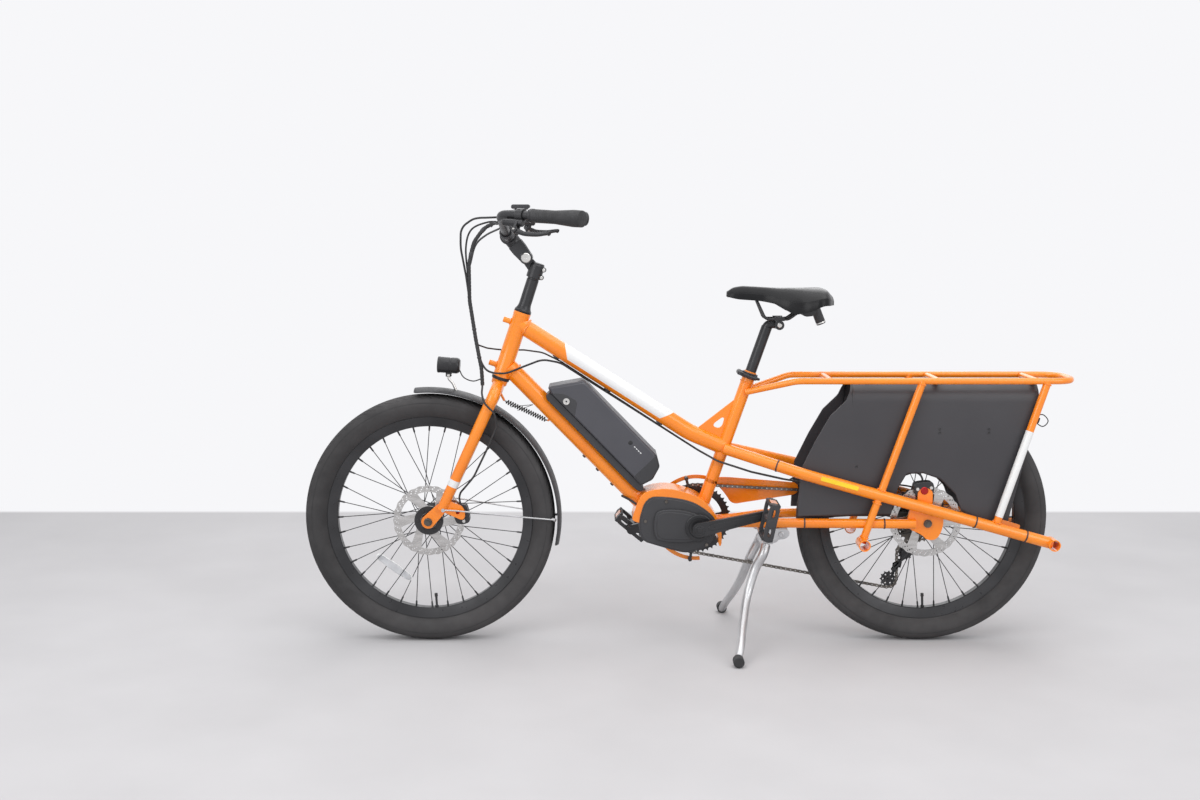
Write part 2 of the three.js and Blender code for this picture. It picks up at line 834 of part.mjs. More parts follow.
// Cassette: a cog in the chain line, larger cogs inside it and smaller ones outside
function cassetteSolid() {
  const boreRadius = clearOf(axleRadius);
  const chainInnerY = chainLineY - chainHalfWidth - runGap;
  const chainOuterY = chainLineY + chainHalfWidth + runGap;
  const engagedRadius = cogRadius - chainHalfHeight - toothGap;
  const middleRadius = (largestCogRadius + cogRadius) / 2 + chainHalfHeight;
  const middleY = (cassetteInnerY + chainInnerY) / 2;
  const lowRadius = (smallestCogRadius + engagedRadius) / 2;
  const lowY = (chainOuterY + cassetteOuterY) / 2;
  const profile = [
    [boreRadius, cassetteInnerY],
    [largestCogRadius, cassetteInnerY],
    [largestCogRadius, cassetteInnerY + rimWall],
    [middleRadius, middleY],
    [cogRadius + chainHalfHeight, chainInnerY],
    [engagedRadius, chainInnerY],
    [engagedRadius, chainOuterY],
    [lowRadius, lowY],
    [smallestCogRadius, cassetteOuterY],
    [boreRadius, cassetteOuterY],
    [boreRadius, cassetteInnerY],
  ];
  return turned(profile, V(0, 0, 0), axisY, cassetteSegments);
}
addPart(rearWheel, 'cassette', cassetteSolid(), darkSteel);

// Chain: one closed band round the sprockets and pulleys
const beltWheels = [
  { x: crankX, z: crankZ, radius: -chainringRadius },
  { x: rearAxleX, z: axleZ, radius: -cogRadius },
  { x: upperPulleyX, z: upperPulleyZ, radius: pulleyRadius },
  { x: lowerPulleyX, z: lowerPulleyZ, radius: -pulleyRadius },
];

function beltStations() {
  const count = beltWheels.length;
  const runs = beltWheels.map((wheel, i) => {
    const next = beltWheels[(i + 1) % count];
    const distance = Math.hypot(next.x - wheel.x, next.z - wheel.z);
    const heading = Math.atan2(next.z - wheel.z, next.x - wheel.x);
    return heading - Math.asin((next.radius - wheel.radius) / distance);
  });
  const stations = [];
  beltWheels.forEach((wheel, i) => {
    const arrive = runs[(i + count - 1) % count];
    const leave = runs[i];
    const turnSign = Math.sign(wheel.radius);
    let sweep = leave - arrive;
    while (sweep * turnSign < 0) {
      sweep += turnSign * 2 * Math.PI;
    }
    const step = Math.abs(wheel.radius) > cogRadius ? chainringStep : chainStep;
    const steps = Math.ceil(Math.abs(sweep) / step);
    for (let k = 0; k <= steps; k += 1) {
      const heading = arrive + sweep * k / steps;
      const x = wheel.x + wheel.radius * Math.sin(heading);
      const z = wheel.z - wheel.radius * Math.cos(heading);
      stations.push([x, z]);
    }
  });
  return stations;
}

const chainStations = beltStations();
const chainOuter = grown(chainStations, chainHalfHeight);
const chainInner = grown(chainStations, -chainHalfHeight);
const chain = sidePlate(chainOuter, chainLineY - chainHalfWidth, chainLineY + chainHalfWidth, [chainInner]);
addPart(bike, 'chain', chain, darkSteel);

// Toothed disc that carries the chain on its tips
function toothedOutline(teeth, radius) {
  const tipRadius = radius - chainHalfHeight - toothGap;
  const rootRadius = tipRadius - chainHalfHeight;
  const outline = [];
  for (let i = 0; i < teeth * 2; i += 1) {
    const angle = i * Math.PI / teeth;
    const level = i % 2 === 0 ? tipRadius : rootRadius;
    outline.push([level * Math.cos(angle), level * Math.sin(angle)]);
  }
  return outline;
}

// Cranks turn about the bottom bracket, with the pedals at their ends
const cranks = new THREE.Group();
cranks.position.set(crankX, 0, crankZ);
cranks.rotation.y = -crankAngle;
bike.add(cranks);
const armOuterY = crankArmInnerY + crankArmThickness;

function crankArm(direction, lowY, highY) {
  const eye = arcPoints(0, 0, crankEyeRadius, crankEyeRadius, Math.PI / 2, 3 * Math.PI / 2, 6);
  const tip = arcPoints(crankLength, 0, crankTipRadius, crankTipRadius, -Math.PI / 2, Math.PI / 2, 6);
  return sidePlate([...eye, ...tip].map(([x, z]) => [x * direction, z]), lowY, highY);
}

function pedalSpindle(side, direction) {
  const start = V(crankLength * direction, side * (crankArmInnerY + crankArmThickness / 2), 0);
  const end = along(start, axisY, side * pedalSpindleLength);
  return rod(start, end, pedalSpindleRadius, { count: thinTubeSides });
}

const leftArm = crankArm(1, -armOuterY, -crankArmInnerY);
const spindleHole = bore(V(0, -armOuterY + rimWall, 0), V(0, 0, 0), spindleRadius);
addPart(cranks, 'left_crank', joined(cut(leftArm, spindleHole), pedalSpindle(-1, 1)), blackPaint);

function rightCrankSolid() {
  const arm = crankArm(-1, crankArmInnerY, armOuterY);
  const spindle = rod(V(0, -armOuterY + rimWall + seatGap, 0), V(0, crankArmInnerY + rimWall, 0),
      spindleRadius);
  const ringY = chainLineY;
  const boss = rod(V(0, ringY - toothHalfThickness, 0), V(0, crankArmInnerY + rimWall, 0),
      crankEyeRadius + rimWall);
  const windowInner = crankEyeRadius + rimWall * 4;
  const windowOuter = chainringRadius - rotorBandWidth;
  const windows = [];
  const armTurn = 2 * Math.PI / 5;
  for (let i = 0; i < 5; i += 1) {
    const from = i * armTurn + armTurn / 7;
    const to = (i + 1) * armTurn - armTurn / 7;
    const outerArc = arcPoints(0, 0, windowOuter, windowOuter, from, to, 2);
    windows.push([...outerArc, ...arcPoints(0, 0, windowInner, windowInner, to, from, 1)]);
  }
  const teeth = toothedOutline(chainringTeeth, chainringRadius);
  const chainring = sidePlate(teeth, ringY - toothHalfThickness, ringY + toothHalfThickness, windows);
  return joined(arm, spindle, boss, chainring, pedalSpindle(1, -1));
}
addPart(cranks, 'right_crank', rightCrankSolid(), blackPaint);

// Pedal: a barrel on the spindle, two end bars and the side walls that join them
function pedalSolid(side) {
  const innerY = armOuterY + pedalInset;
  const outerY = innerY + pedalWidth;
  const half = pedalLength / 2;
  const barHalf = pedalHeight / 2;
  const [lowY, highY] = side < 0 ? [-outerY, -innerY] : [innerY, outerY];
  const frontWall = box(-half, pedalWall - half, lowY, highY, -barHalf, barHalf);
  const rearWall = box(half - pedalWall, half, lowY, highY, -barHalf, barHalf);
  const wallHalf = barHalf * 0.7;
  const innerWall = box(-half + pedalWall / 2, half - pedalWall / 2, lowY, lowY + pedalWall, -wallHalf,
      wallHalf);
  const outerWall = box(-half + pedalWall / 2, half - pedalWall / 2, highY - pedalWall, highY, -wallHalf,
      wallHalf);
  const barrel = rod(V(0, lowY, 0), V(0, highY, 0), pedalBarrelRadius, { count: thinTubeSides });
  const boreFrom = V(0, side * (innerY - cutOverrun), 0);
  const boreReach = armOuterY - crankArmThickness / 2 + pedalSpindleLength + runGap;
  const spindleRoom = rod(boreFrom, V(0, side * boreReach, 0), clearOf(pedalSpindleRadius, thinTubeSides), {
    count: thinTubeSides,
  });
  return cut(joined(frontWall, rearWall, innerWall, outerWall, barrel), spindleRoom);
}

const pedalAngles = { '-1': leftPedalAngle, 1: rightPedalAngle };
for (const side of sides) {
  const pedal = new THREE.Group();
  const reach = -side * crankLength;
  pedal.position.set(crankX + reach * Math.cos(crankAngle), 0, crankZ + reach * Math.sin(crankAngle));
  pedal.rotation.y = pedalAngles[side];
  bike.add(pedal);
  addPart(pedal, `${sideNames[side]}_pedal`, pedalSolid(side), blackPlastic);
}

// Guide and tension pulleys
const pulleyPlaces = [
  ['upper_pulley', upperPulleyX, upperPulleyZ],
  ['lower_pulley', lowerPulleyX, lowerPulleyZ],
];
for (const [name, x, z] of pulleyPlaces) {
  const pulley = new THREE.Group();
  pulley.position.set(x, 0, z);
  bike.add(pulley);
  const boreRadius = clearOf(axleRadius / 2, thinTubeSides);
  const opening = arcPoints(0, 0, boreRadius, boreRadius, 0, 2 * Math.PI, thinTubeSides).slice(1);
  const teeth = toothedOutline(pulleyTeeth, pulleyRadius);
  const disc = sidePlate(teeth, chainLineY - toothHalfThickness, chainLineY + toothHalfThickness,
      [opening]);
  const hubHalf = cageHalfGap - seatGap * 2;
  const place = V(0, chainLineY, 0);
  const hub = ring(axleRadius + rimWall / 2, boreRadius, -hubHalf, hubHalf, place, axisY, thinTubeSides);
  addPart(pulley, name, joined(disc, hub), blackPlastic);
}

// Derailleur: a knuckle on the hanger, the arm and the cage that carries both pulleys
function derailleurSolid() {
  const upper = V(upperPulleyX, 0, upperPulleyZ);
  const lower = V(lowerPulleyX, 0, lowerPulleyZ);
  const run = Math.atan2(lowerPulleyZ - upperPulleyZ, lowerPulleyX - upperPulleyX);
  const quarter = Math.PI / 2;
  const lowEnd = arcPoints(lower.x, lower.z, cageRadius, cageRadius, run - quarter, run + quarter, 4);
  const highEnd = arcPoints(upper.x, upper.z, cageRadius, cageRadius, run + quarter, run + 3 * quarter, 4);
  const outline = [...lowEnd, ...highEnd];
  const innerFace = chainLineY - cageHalfGap;
  const outerFace = chainLineY + cageHalfGap;
  const innerPlate = sidePlate(outline, innerFace - cagePlateThickness, innerFace);
  const outerPlate = sidePlate(outline, outerFace, outerFace + cagePlateThickness);
  const pins = [upper, lower].map((centre) => {
    const from = V(centre.x, innerFace - cagePlateThickness / 2, centre.z);
    const to = V(centre.x, outerFace + cagePlateThickness / 2, centre.z);
    return rod(from, to, axleRadius / 2, { count: smallSides });
  });
  const knuckle = V(hangerX, dropoutOuterY + seatGap, hangerZ);
  const knuckleEnd = along(knuckle, axisY, cageRadius * 1.5);
  const armRadius = cageRadius * 0.6;
  const armStart = along(knuckle, axisY, cageRadius);
  const elbow = V((hangerX + upper.x) / 2, armStart.y - armRadius / 2, hangerZ - cageRadius * 3);
  const armEnd = V(upper.x, elbow.y - cageRadius, upper.z);
  const arm = tube([armStart, elbow, armEnd], armRadius, { count: smallSides });
  const foot = rod(along(armEnd, axisY, armRadius), V(upper.x, outerFace, upper.z), cageRadius * 0.8);
  return joined(rod(knuckle, knuckleEnd, cageRadius), arm, foot, outerPlate, innerPlate, ...pins);
}
addPart(bike, 'derailleur', derailleurSolid(), blackPaint);

// Motor, its bracket and the chain guard that it carries
const motorShares = [
  [0.1, 0.985], [0, 0.52], [0.045, 0.22], [0.224, 0.144], [0.453, 0.048], [0.627, 0],
  [0.8, 0.068], [0.935, 0.205], [1, 0.425], [0.97, 0.616], [0.84, 0.78], [0.66, 0.925], [0.33, 1],
];
const motorPanelShares = [
  [0.2, 0.3], [0.2, 0.68], [0.28, 0.78], [0.55, 0.78], [0.78, 0.68], [0.88, 0.5], [0.84, 0.3], [0.66,
      0.2], [0.3, 0.22],
];
const bracketShares = [
  [-0.078, 0.548], [-0.055, 0.69], [0.016, 0.97], [0.11, 1.096], [0.4, 1.144], [0.78, 0.986],
  [0.96, 0.72], [1.05, 0.42], [1.054, 0.123], [1.01, 0.123], [1.01, 0.38], [0.7, 0.45], [0.2, 0.5],
];
const motorOutline = scaled(motorShares, motorFrontX, motorLowZ, motorLength, motorHeight);
const bracketOutline = scaled(bracketShares, motorFrontX, motorLowZ, motorLength, motorHeight);
const crankAxis = V(crankX, 0, crankZ);
const motorCutter = sidePlate(grown(motorOutline, seatGap), motorLeftY - cutOverrun,
    motorRightY + cutOverrun);
const bracketCutter = sidePlate(grown(bracketOutline, seatGap), bracketLeftY - cutOverrun,
    bracketRightY + cutOverrun);
const spindleBore = bore(V(crankX, -armOuterY, crankZ), V(crankX, armOuterY, crankZ),
    spindleRadius + seatGap);
const guardMidRadius = (guardHoopInner + guardHoopOuter) / 2;
const guardTabAngles = [104 * Math.PI / 180, 262 * Math.PI / 180];

function motorSolid() {
  const panelOutline = scaled(motorPanelShares, motorFrontX, motorLowZ, motorLength, motorHeight);
  const casing = sidePlate(motorOutline, motorLeftY, motorRightY);
  const panel = sidePlate(panelOutline, motorLeftY - motorPanelDepth, motorLeftY + motorPanelDepth);
  const webRadius = guardTabRadius * 0.7;
  const webY = motorRightY + webRadius * 0.7;
  const tabs = guardTabAngles.map((angle) => {
    const reach = V(Math.cos(angle), 0, Math.sin(angle));
    const end = along(crankAxis, reach, guardMidRadius);
    const inner = along(crankAxis, reach, guardMidRadius * 0.55);
    const web = rod(V(inner.x, webY, inner.z), V(end.x, webY, end.z), webRadius, { count: thinTubeSides });
    const studStart = V(end.x, webY - webRadius, end.z);
    const studEnd = V(end.x, guardInnerY - seatGap, end.z);
    return joined(web, rod(studStart, studEnd, guardTabRadius, { count: thinTubeSides }));
  });
  return cut(joined(casing, panel, ...tabs), spindleBore);
}
const motor = motorSolid();
addPart(bike, 'motor_unit', motor, blackPlastic);

function guardSolid() {
  const startAngle = 72 * Math.PI / 180;
  const endAngle = 276 * Math.PI / 180;
  const outer = arcPoints(crankX, crankZ, guardHoopOuter, guardHoopOuter, startAngle, endAngle, 11);
  const inner = arcPoints(crankX, crankZ, guardHoopInner, guardHoopInner, endAngle, startAngle, 11);
  const hoop = sidePlate([...outer, ...inner], guardInnerY, guardInnerY + guardThickness);
  const bladeLength = guardEndX - crankX;
  const bladeHeight = guardHoopOuter - guardHoopInner;
  const bladeShares = [[0.08, 0], [0.3, 0.1], [1, -1.4], [1, -4.4], [0.56, -6.2], [0.35, -7.1],
      [0.29, -4.4], [0.18, -1.2]];
  const blade = sidePlate(
    scaled(bladeShares, crankX, guardTopZ, bladeLength,
        bladeHeight), guardInnerY, guardInnerY + guardThickness);
  return joined(hoop, blade);
}
addPart(bike, 'chain_guard', guardSolid(), orangePaint);

// Head tube with narrow bearing seats at both ends and two bosses for a front rack
function headTubeSolid() {
  const seatRadius = clearOf(steererRadius);
  const profile = [
    [seatRadius, 0],
    [headRadius, 0],
    [headRadius, headLength],
    [seatRadius, headLength],
    [seatRadius, headLength - bearingSeatLength],
    [headBoreRadius, headLength - bearingSeatLength],
    [headBoreRadius, bearingSeatLength],
    [seatRadius, bearingSeatLength],
    [seatRadius, 0],
  ];
  let head = turned(profile, headLow, steerUp);
  for (const drop of [upperBossDrop, lowerBossDrop]) {
    const root = along(headTop, steerUp, -drop);
    const face = along(root, steerForward, headRadius + bossReach);
    const start = along(root, steerForward, (headRadius + headBoreRadius) / 2);
    const holeStart = along(face, steerForward, -bossHoleDepth);
    const hole = rod(holeStart, along(face, steerForward, seatGap), bossHoleRadius,
        { count: thinTubeSides });
    head = cut(head.add(rod(start, face, bossRadius, { count: thinTubeSides })), hole);
  }
  return head;
}
addPart(bike, 'head_tube', headTubeSolid(), orangePaint);

const topTubeCorners = [
  V(topTubeFrontX, 0, topTubeFrontZ),
  V(topTubeBendX, 0, topTubeBendZ),
  V(topTubeEndX, 0, topTubeEndZ),
];
const topTubeShape = { bend: topTubeBendRadius, count: frameTubeSides };
const topTube = tube(topTubeCorners, topTubeRadius, topTubeShape);
const topTubeCutter = tube(topTubeCorners, topTubeRadius + seatGap, topTubeShape);
addPart(bike, 'top_tube', cut(topTube, headCutter, seatTubeCutter), orangePaint);

// Down tube with the bracket that holds the motor and the tab for the steering spring
function springTab(place, across, reach) {
  const start = along(place, across, reach);
  return rod(place, start, springTabThickness, { count: smallSides });
}

const springRear = V(springRearX, 0, springRearZ);
const springFront = V(springFrontX, 0, springFrontZ);
const springRun = springRear.clone().sub(springFront).normalize();
const springHook = springCoilRadius * 2;
const downTabPlace = along(springRear, springRun, springHook);
const springLugEnd = along(springFront, springRun, -springHook);
const lugFrom = V(crownTopX, 0, crownTopZ - bladeTopRadius * 0.7);

function downTubeSolid() {
  const pipeEnd = along(downTubeLow, downTubeRun, downTubeRadius);
  const pipe = rod(downTubeTop, pipeEnd, downTubeRadius, { count: frameTubeSides });
  const bracket = sidePlate(bracketOutline, bracketLeftY, bracketRightY);
  const tab = springTab(downTabPlace, downTubeOut, downTubeRadius);
  return cut(joined(pipe, bracket, tab), headCutter, topTubeCutter, motorCutter, spindleBore);
}
addPart(bike, 'down_tube', downTubeSolid(), orangePaint);

// Seat tube with its bore for the post and the gusset to the top tube
function seatTubeSolid() {
  const pipe = rod(seatTubeLow, seatTubeTop, seatTubeRadius, { count: frameTubeSides });
  const boreStart = along(seatTubeTop, seatUp, -seatBoreDepth);
  const postRoom = bore(boreStart, along(seatTubeTop, seatUp, cutOverrun), postRadius);
  const gussetOutline = [[gussetFrontX, gussetFrontZ], [gussetTopX, gussetTopZ], [gussetLowX, gussetLowZ]];
  const gusset = cut(sidePlate(gussetOutline, -gussetThickness / 2, gussetThickness / 2), topTubeCutter);
  return cut(joined(pipe, gusset), postRoom, bracketCutter);
}
addPart(bike, 'seat_tube', seatTubeSolid(), orangePaint);

// Rack: one bent rail round both sides, with three tubes across it
const railCorners = [
  V(railFrontX, -railFrontY, railFrontZ),
  V(railBendX, -railHalfWidth, railZ),
  V(railEndX, -railHalfWidth, railZ),
  V(railEndX, railHalfWidth, railZ),
  V(railBendX, railHalfWidth, railZ),
  V(railFrontX, railFrontY, railFrontZ),
];
const railCount = thinTubeSides;
const rackRail = tube(railCorners, railRadius, { bend: railCornerRadius, count: railCount });
const railCutter = tube(railCorners, railRadius + seatGap, { bend: railCornerRadius, count: railCount });
const rackCrossTubes = crossTubeXs.map((x) => {
  const left = V(x, -railHalfWidth, railZ);
  return rod(left, V(x, railHalfWidth, railZ), crossTubeRadius, { count: smallSides });
});
addPart(bike, 'cargo_rack', cut(joined(rackRail, ...rackCrossTubes), seatTubeCutter), orangePaint);

// Main stays with their struts up to the rack and the open sleeves at their rear ends
const staySlope = (stayEndZ - staySpreadZ) / (stayEndX - staySpreadX);
const stayHeightAt = (x) => staySpreadZ + staySlope * (x - staySpreadX);

function stayCorners(side) {
  return [
    V(stayFrontX, side * stayFrontY, stayFrontZ),
    V(staySpreadX, side * stayY, staySpreadZ),
    V(stayEndX, side * stayY, stayEndZ),
  ];
}

function sleeve(x, z, side, innerY, outerY) {
  return rod(V(x, side * innerY, z), V(x, side * outerY, z), sleeveRadius, { count: roundSegments });
}

function sleeveBore(x, z, side, innerY, outerY) {
  const from = V(x, side * (innerY - cutOverrun), z);
  return rod(from, V(x, side * (outerY + cutOverrun), z), sleeveBoreRadius, { count: roundSegments });
}

function mainStaySolid(side) {
  const stay = tube(stayCorners(side), stayRadius, { bend: stayY });
  const frontFoot = V(frontStrutFootX, side * stayY, stayHeightAt(frontStrutFootX));
  const rearFoot = V(rearStrutFootX, side * stayY, stayHeightAt(rearStrutFootX));
  const frontStrut = rod(frontFoot, V(frontStrutTopX, side * strutTopY, railZ), strutRadius,
      { count: smallSides });
  const rearStrut = rod(rearFoot, V(rearStrutTopX, side * strutTopY, railZ), strutRadius,
      { count: smallSides });
  const endSleeve = sleeve(stayEndX, stayEndZ, side, rearSleeveInnerY, rearSleeveOuterY);
  const endBore = sleeveBore(stayEndX, stayEndZ, side, rearSleeveInnerY, rearSleeveOuterY);
  return cut(joined(stay, frontStrut, rearStrut, endSleeve), endBore, railCutter, seatTubeCutter,
      topTubeCutter);
}

// Chain stays with the dropout plates, the lower struts and the front sleeves
function chainStaySolid(side) {
  const corners = [
    V(chainStayFrontX, side * chainStayFrontY, chainStayFrontZ),
    V(chainStayKinkX, side * chainStayFrontY, chainStayKinkZ),
    V(chainStayWideX, side * chainStayWideY, chainStayWideZ),
    V(chainStayEndX, side * chainStayEndY, axleZ),
  ];
  const stay = tube(corners, chainStayRadius, { bend: chainStayWideY });
  const strutFoot = V(frontSleeveX, side * stayY, frontSleeveZ);
  const strutTop = V(frontStrutFootX, side * stayY, stayHeightAt(frontStrutFootX));
  const strut = rod(strutFoot, strutTop, strutRadius, { count: smallSides });
  const frontSleeve = sleeve(frontSleeveX, frontSleeveZ, side, frontSleeveInnerY, frontSleeveOuterY);
  const frontBore = sleeveBore(frontSleeveX, frontSleeveZ, side, frontSleeveInnerY, frontSleeveOuterY);
  const stayCutter = tube(stayCorners(side), stayRadius + seatGap, { bend: stayY });
  const plateTop = stayHeightAt(dropoutRearX);
  const caliperTop = axleZ + rotorRadius - rimWall;
  const tabFrontX = rearAxleX - caliperLength / 2;
  const tabRearX = rearAxleX + caliperLength / 4;
  const plateOutline = [
    [dropoutFrontX, axleZ + chainStayRadius],
    [dropoutFrontX, axleZ - chainStayRadius],
    [rearAxleX - chainStayRadius, hangerZ],
    [hangerX - cageRadius, hangerZ - cageRadius],
    [hangerX + cageRadius, hangerZ - cageRadius],
    [dropoutRearX, axleZ - chainStayRadius],
    [dropoutRearX, plateTop],
    [dropoutFrontX + chainStayRadius, stayHeightAt(dropoutFrontX)],
  ];
  const [lowY, highY] = side < 0 ? [-dropoutOuterY, -dropoutInnerY] : [dropoutInnerY, dropoutOuterY];
  let plate = sidePlate(plateOutline, lowY, highY);
  if (side < 0) {
    const tabOutline = [[tabFrontX, axleZ], [tabRearX, axleZ], [tabRearX, caliperTop],
        [tabFrontX, caliperTop]];
    plate = plate.add(sidePlate(tabOutline, -dropoutInnerY - rimWall, -dropoutInnerY));
  }
  const axleHole = bore(V(rearAxleX, 0, axleZ), V(rearAxleX, side * (dropoutOuterY + cutOverrun), axleZ),
      axleRadius);
  return cut(joined(stay, strut, frontSleeve, plate), frontBore, axleHole, stayCutter, bracketCutter);
}

for (const side of sides) {
  addPart(bike, `${sideNames[side]}_main_stay`, mainStaySolid(side), orangePaint);
  addPart(bike, `${sideNames[side]}_chain_stay`, chainStaySolid(side), orangePaint);
}

// Side panels: thin sheets inside the struts whose tops bend in under the rack
const panelTopZ = railZ - crossTubeRadius * Math.cos(Math.PI / smallSides) - seatGap;
const panelSpan = panelRearX - panelFrontX;
const panelRise = panelTopZ - panelLowZ;
const panelShares = [
  [0, 0], [0.009, 0.345], [0.07, 0.573], [0.13, 0.762], [0.194, 0.874], [0.24, 1.07],
  [1, 1.07], [0.998, 0.818], [0.877, -0.132], [0.691, 0.037], [0.665, 0.165], [0.599, 0.281],
  [0.525, 0.327], [0.456, 0.322], [0.418, 0.206], [0.393, 0],
];

function panelSolid(side) {
  const outline = scaled(panelShares, panelFrontX, panelLowZ, panelSpan, panelRise);
  const silhouette = sidePlate(outline, -panelOuterY - cutOverrun, panelOuterY + cutOverrun);
  const shoulderZ = panelTopZ - panelShoulderRadius;
  const shoulderY = panelOuterY - panelShoulderRadius;
  const bendSteps = 5;
  const outer = arcPoints(shoulderY, shoulderZ, panelShoulderRadius, panelShoulderRadius, 0, Math.PI / 2,
      bendSteps);
  const innerBend = panelShoulderRadius - panelThickness;
  const inner = arcPoints(shoulderY, shoulderZ, innerBend, innerBend, Math.PI / 2, 0, bendSteps);
  const lowEdge = panelLowZ - cutOverrun * 3;
  const section = [
    [panelOuterY, lowEdge], ...outer, [panelInnerEdgeY, panelTopZ],
    [panelInnerEdgeY, panelTopZ - panelThickness], ...inner, [panelOuterY - panelThickness, lowEdge],
  ];
  const shape = new THREE.Shape(section.map(([y, z]) => new THREE.Vector2(side * y, z)));
  const sheet = new THREE.ExtrudeGeometry(shape, { depth: panelSpan + cutOverrun, bevelEnabled: false });
  sheet.applyMatrix4(new THREE.Matrix4().makeBasis(V(0, 1, 0), V(0, 0, 1), V(1, 0, 0)));
  sheet.translate(panelFrontX - cutOverrun / 2, 0, 0);
  return solidOf(sheet).intersect(silhouette);
}
for (const side of sides) {
  addPart(bike, `${sideNames[side]}_side_panel`, panelSolid(side), blackPlastic);
}

// Tail light on a flat bar between the rear struts
function tailLightSolid() {
  const foot = V(rearStrutFootX, 0, stayHeightAt(rearStrutFootX));
  const strutUp = V(rearStrutTopX, 0, railZ).sub(foot).normalize();
  const rearward = V(strutUp.z, 0, -strutUp.x);
  const barCentre = along(foot, strutUp, (tailBarZ - foot.z) / strutUp.z);
  const corner = (rise, reach) => {
    const point = along(along(barCentre, strutUp, rise), rearward, strutRadius + seatGap + reach);
    return [point.x, point.z];
  };
  const barHalf = tailBarHeight / 2;
  const lensHalf = tailLightHeight / 2;
  const barRear = tailBarThickness;
  const bar = [corner(-barHalf, 0), corner(-barHalf, barRear), corner(barHalf, barRear),
      corner(barHalf, 0)];
  const lens = [
    corner(-lensHalf, barRear / 2),
    corner(-lensHalf, tailLightDepth * 0.8),
    corner(0, tailLightDepth),
    corner(lensHalf, tailLightDepth * 0.8),
    corner(lensHalf, barRear / 2),
  ];
  const barReach = (stayY + strutTopY) / 2;
  return joined(sidePlate(bar, -barReach, barReach),
      sidePlate(lens, -tailLightWidth / 2, tailLightWidth / 2));
}
addPart(bike, 'tail_light', tailLightSolid(), redLens);

// Battery and its base, in the frame of the down tube
const batteryFrame = new THREE.Group();
batteryFrame.position.copy(downTubeTop);
batteryFrame.rotation.y = Math.atan2(-downTubeRun.z, downTubeRun.x);
bike.add(batteryFrame);
const batteryLength = downTubeTop.distanceTo(downTubeLow) - batteryStart - batteryEndRoom;
const mountStart = batteryStart + mountStartInset;
const mountLength = batteryLength - mountStartInset - mountEndInset;
const batteryShares = [
  [0, 0.06], [0.04, 0], [0.97, 0], [1, 0.2], [1, 0.44], [0.966, 0.7], [0.854, 1], [0.16, 1], [0.14, 0.97],
];

function batterySolid() {
  const outline = scaled(batteryShares, batteryStart, batteryBase, batteryLength, batteryHeight);
  const core = sidePlate(outline, -batteryHalfWidth + lockProud, batteryHalfWidth - lockProud);
  const side = scaled(batteryShares, batteryStart + lockProud, batteryBase + lockProud,
    batteryLength - lockProud * 2, batteryHeight - lockProud * 2);
  const flanks = sidePlate(side, -batteryHalfWidth, batteryHalfWidth);
  const lockX = batteryStart + batteryLength * 0.13;
  const lockZ = batteryBase + batteryHeight * 0.46;
  const lockFace = V(lockX, -batteryHalfWidth - lockProud, lockZ);
  const lock = rod(lockFace, along(lockFace, axisY, lockRadius), lockRadius);
  return joined(core, flanks, lock);
}
addPart(batteryFrame, 'battery', batterySolid(), greyPlastic);

function batteryMountSolid() {
  const topW = batteryBase - seatGap;
  const base = box(mountStart, mountStart + mountLength, -mountHalfWidth, mountHalfWidth,
      downTubeRadius / 2, topW);
  const plug = box(mountStart + mountLength - batteryTiltPlug * 2,
      mountStart + mountLength + batteryTiltPlug,
    -mountHalfWidth, mountHalfWidth, downTubeRadius / 2, topW);
  const tubeCutter = rod(V(0, 0, 0), V(mountStart + mountLength * 2, 0, 0),
      snugOf(downTubeRadius, frameTubeSides), { count: frameTubeSides });
  return cut(joined(base, plug), tubeCutter);
}
addPart(batteryFrame, 'battery_mount', batteryMountSolid(), blackPlastic);

// Fork: the steerer, a crown of two bent blades, and the end plates for the axle
const crownHalves = sides.map((side) => [
  V(bladeTopX, side * bladeY, bladeTopZ).lerp(V(bladeLowX, side * bladeY, bladeLowZ), crownReachShare),
  V(bladeTopX, side * bladeY, bladeTopZ),
  V(crownTopX, side * crownInsetY, crownTopZ),
]);
const crownCorners = [...crownHalves[0], ...crownHalves[1].slice().reverse()];

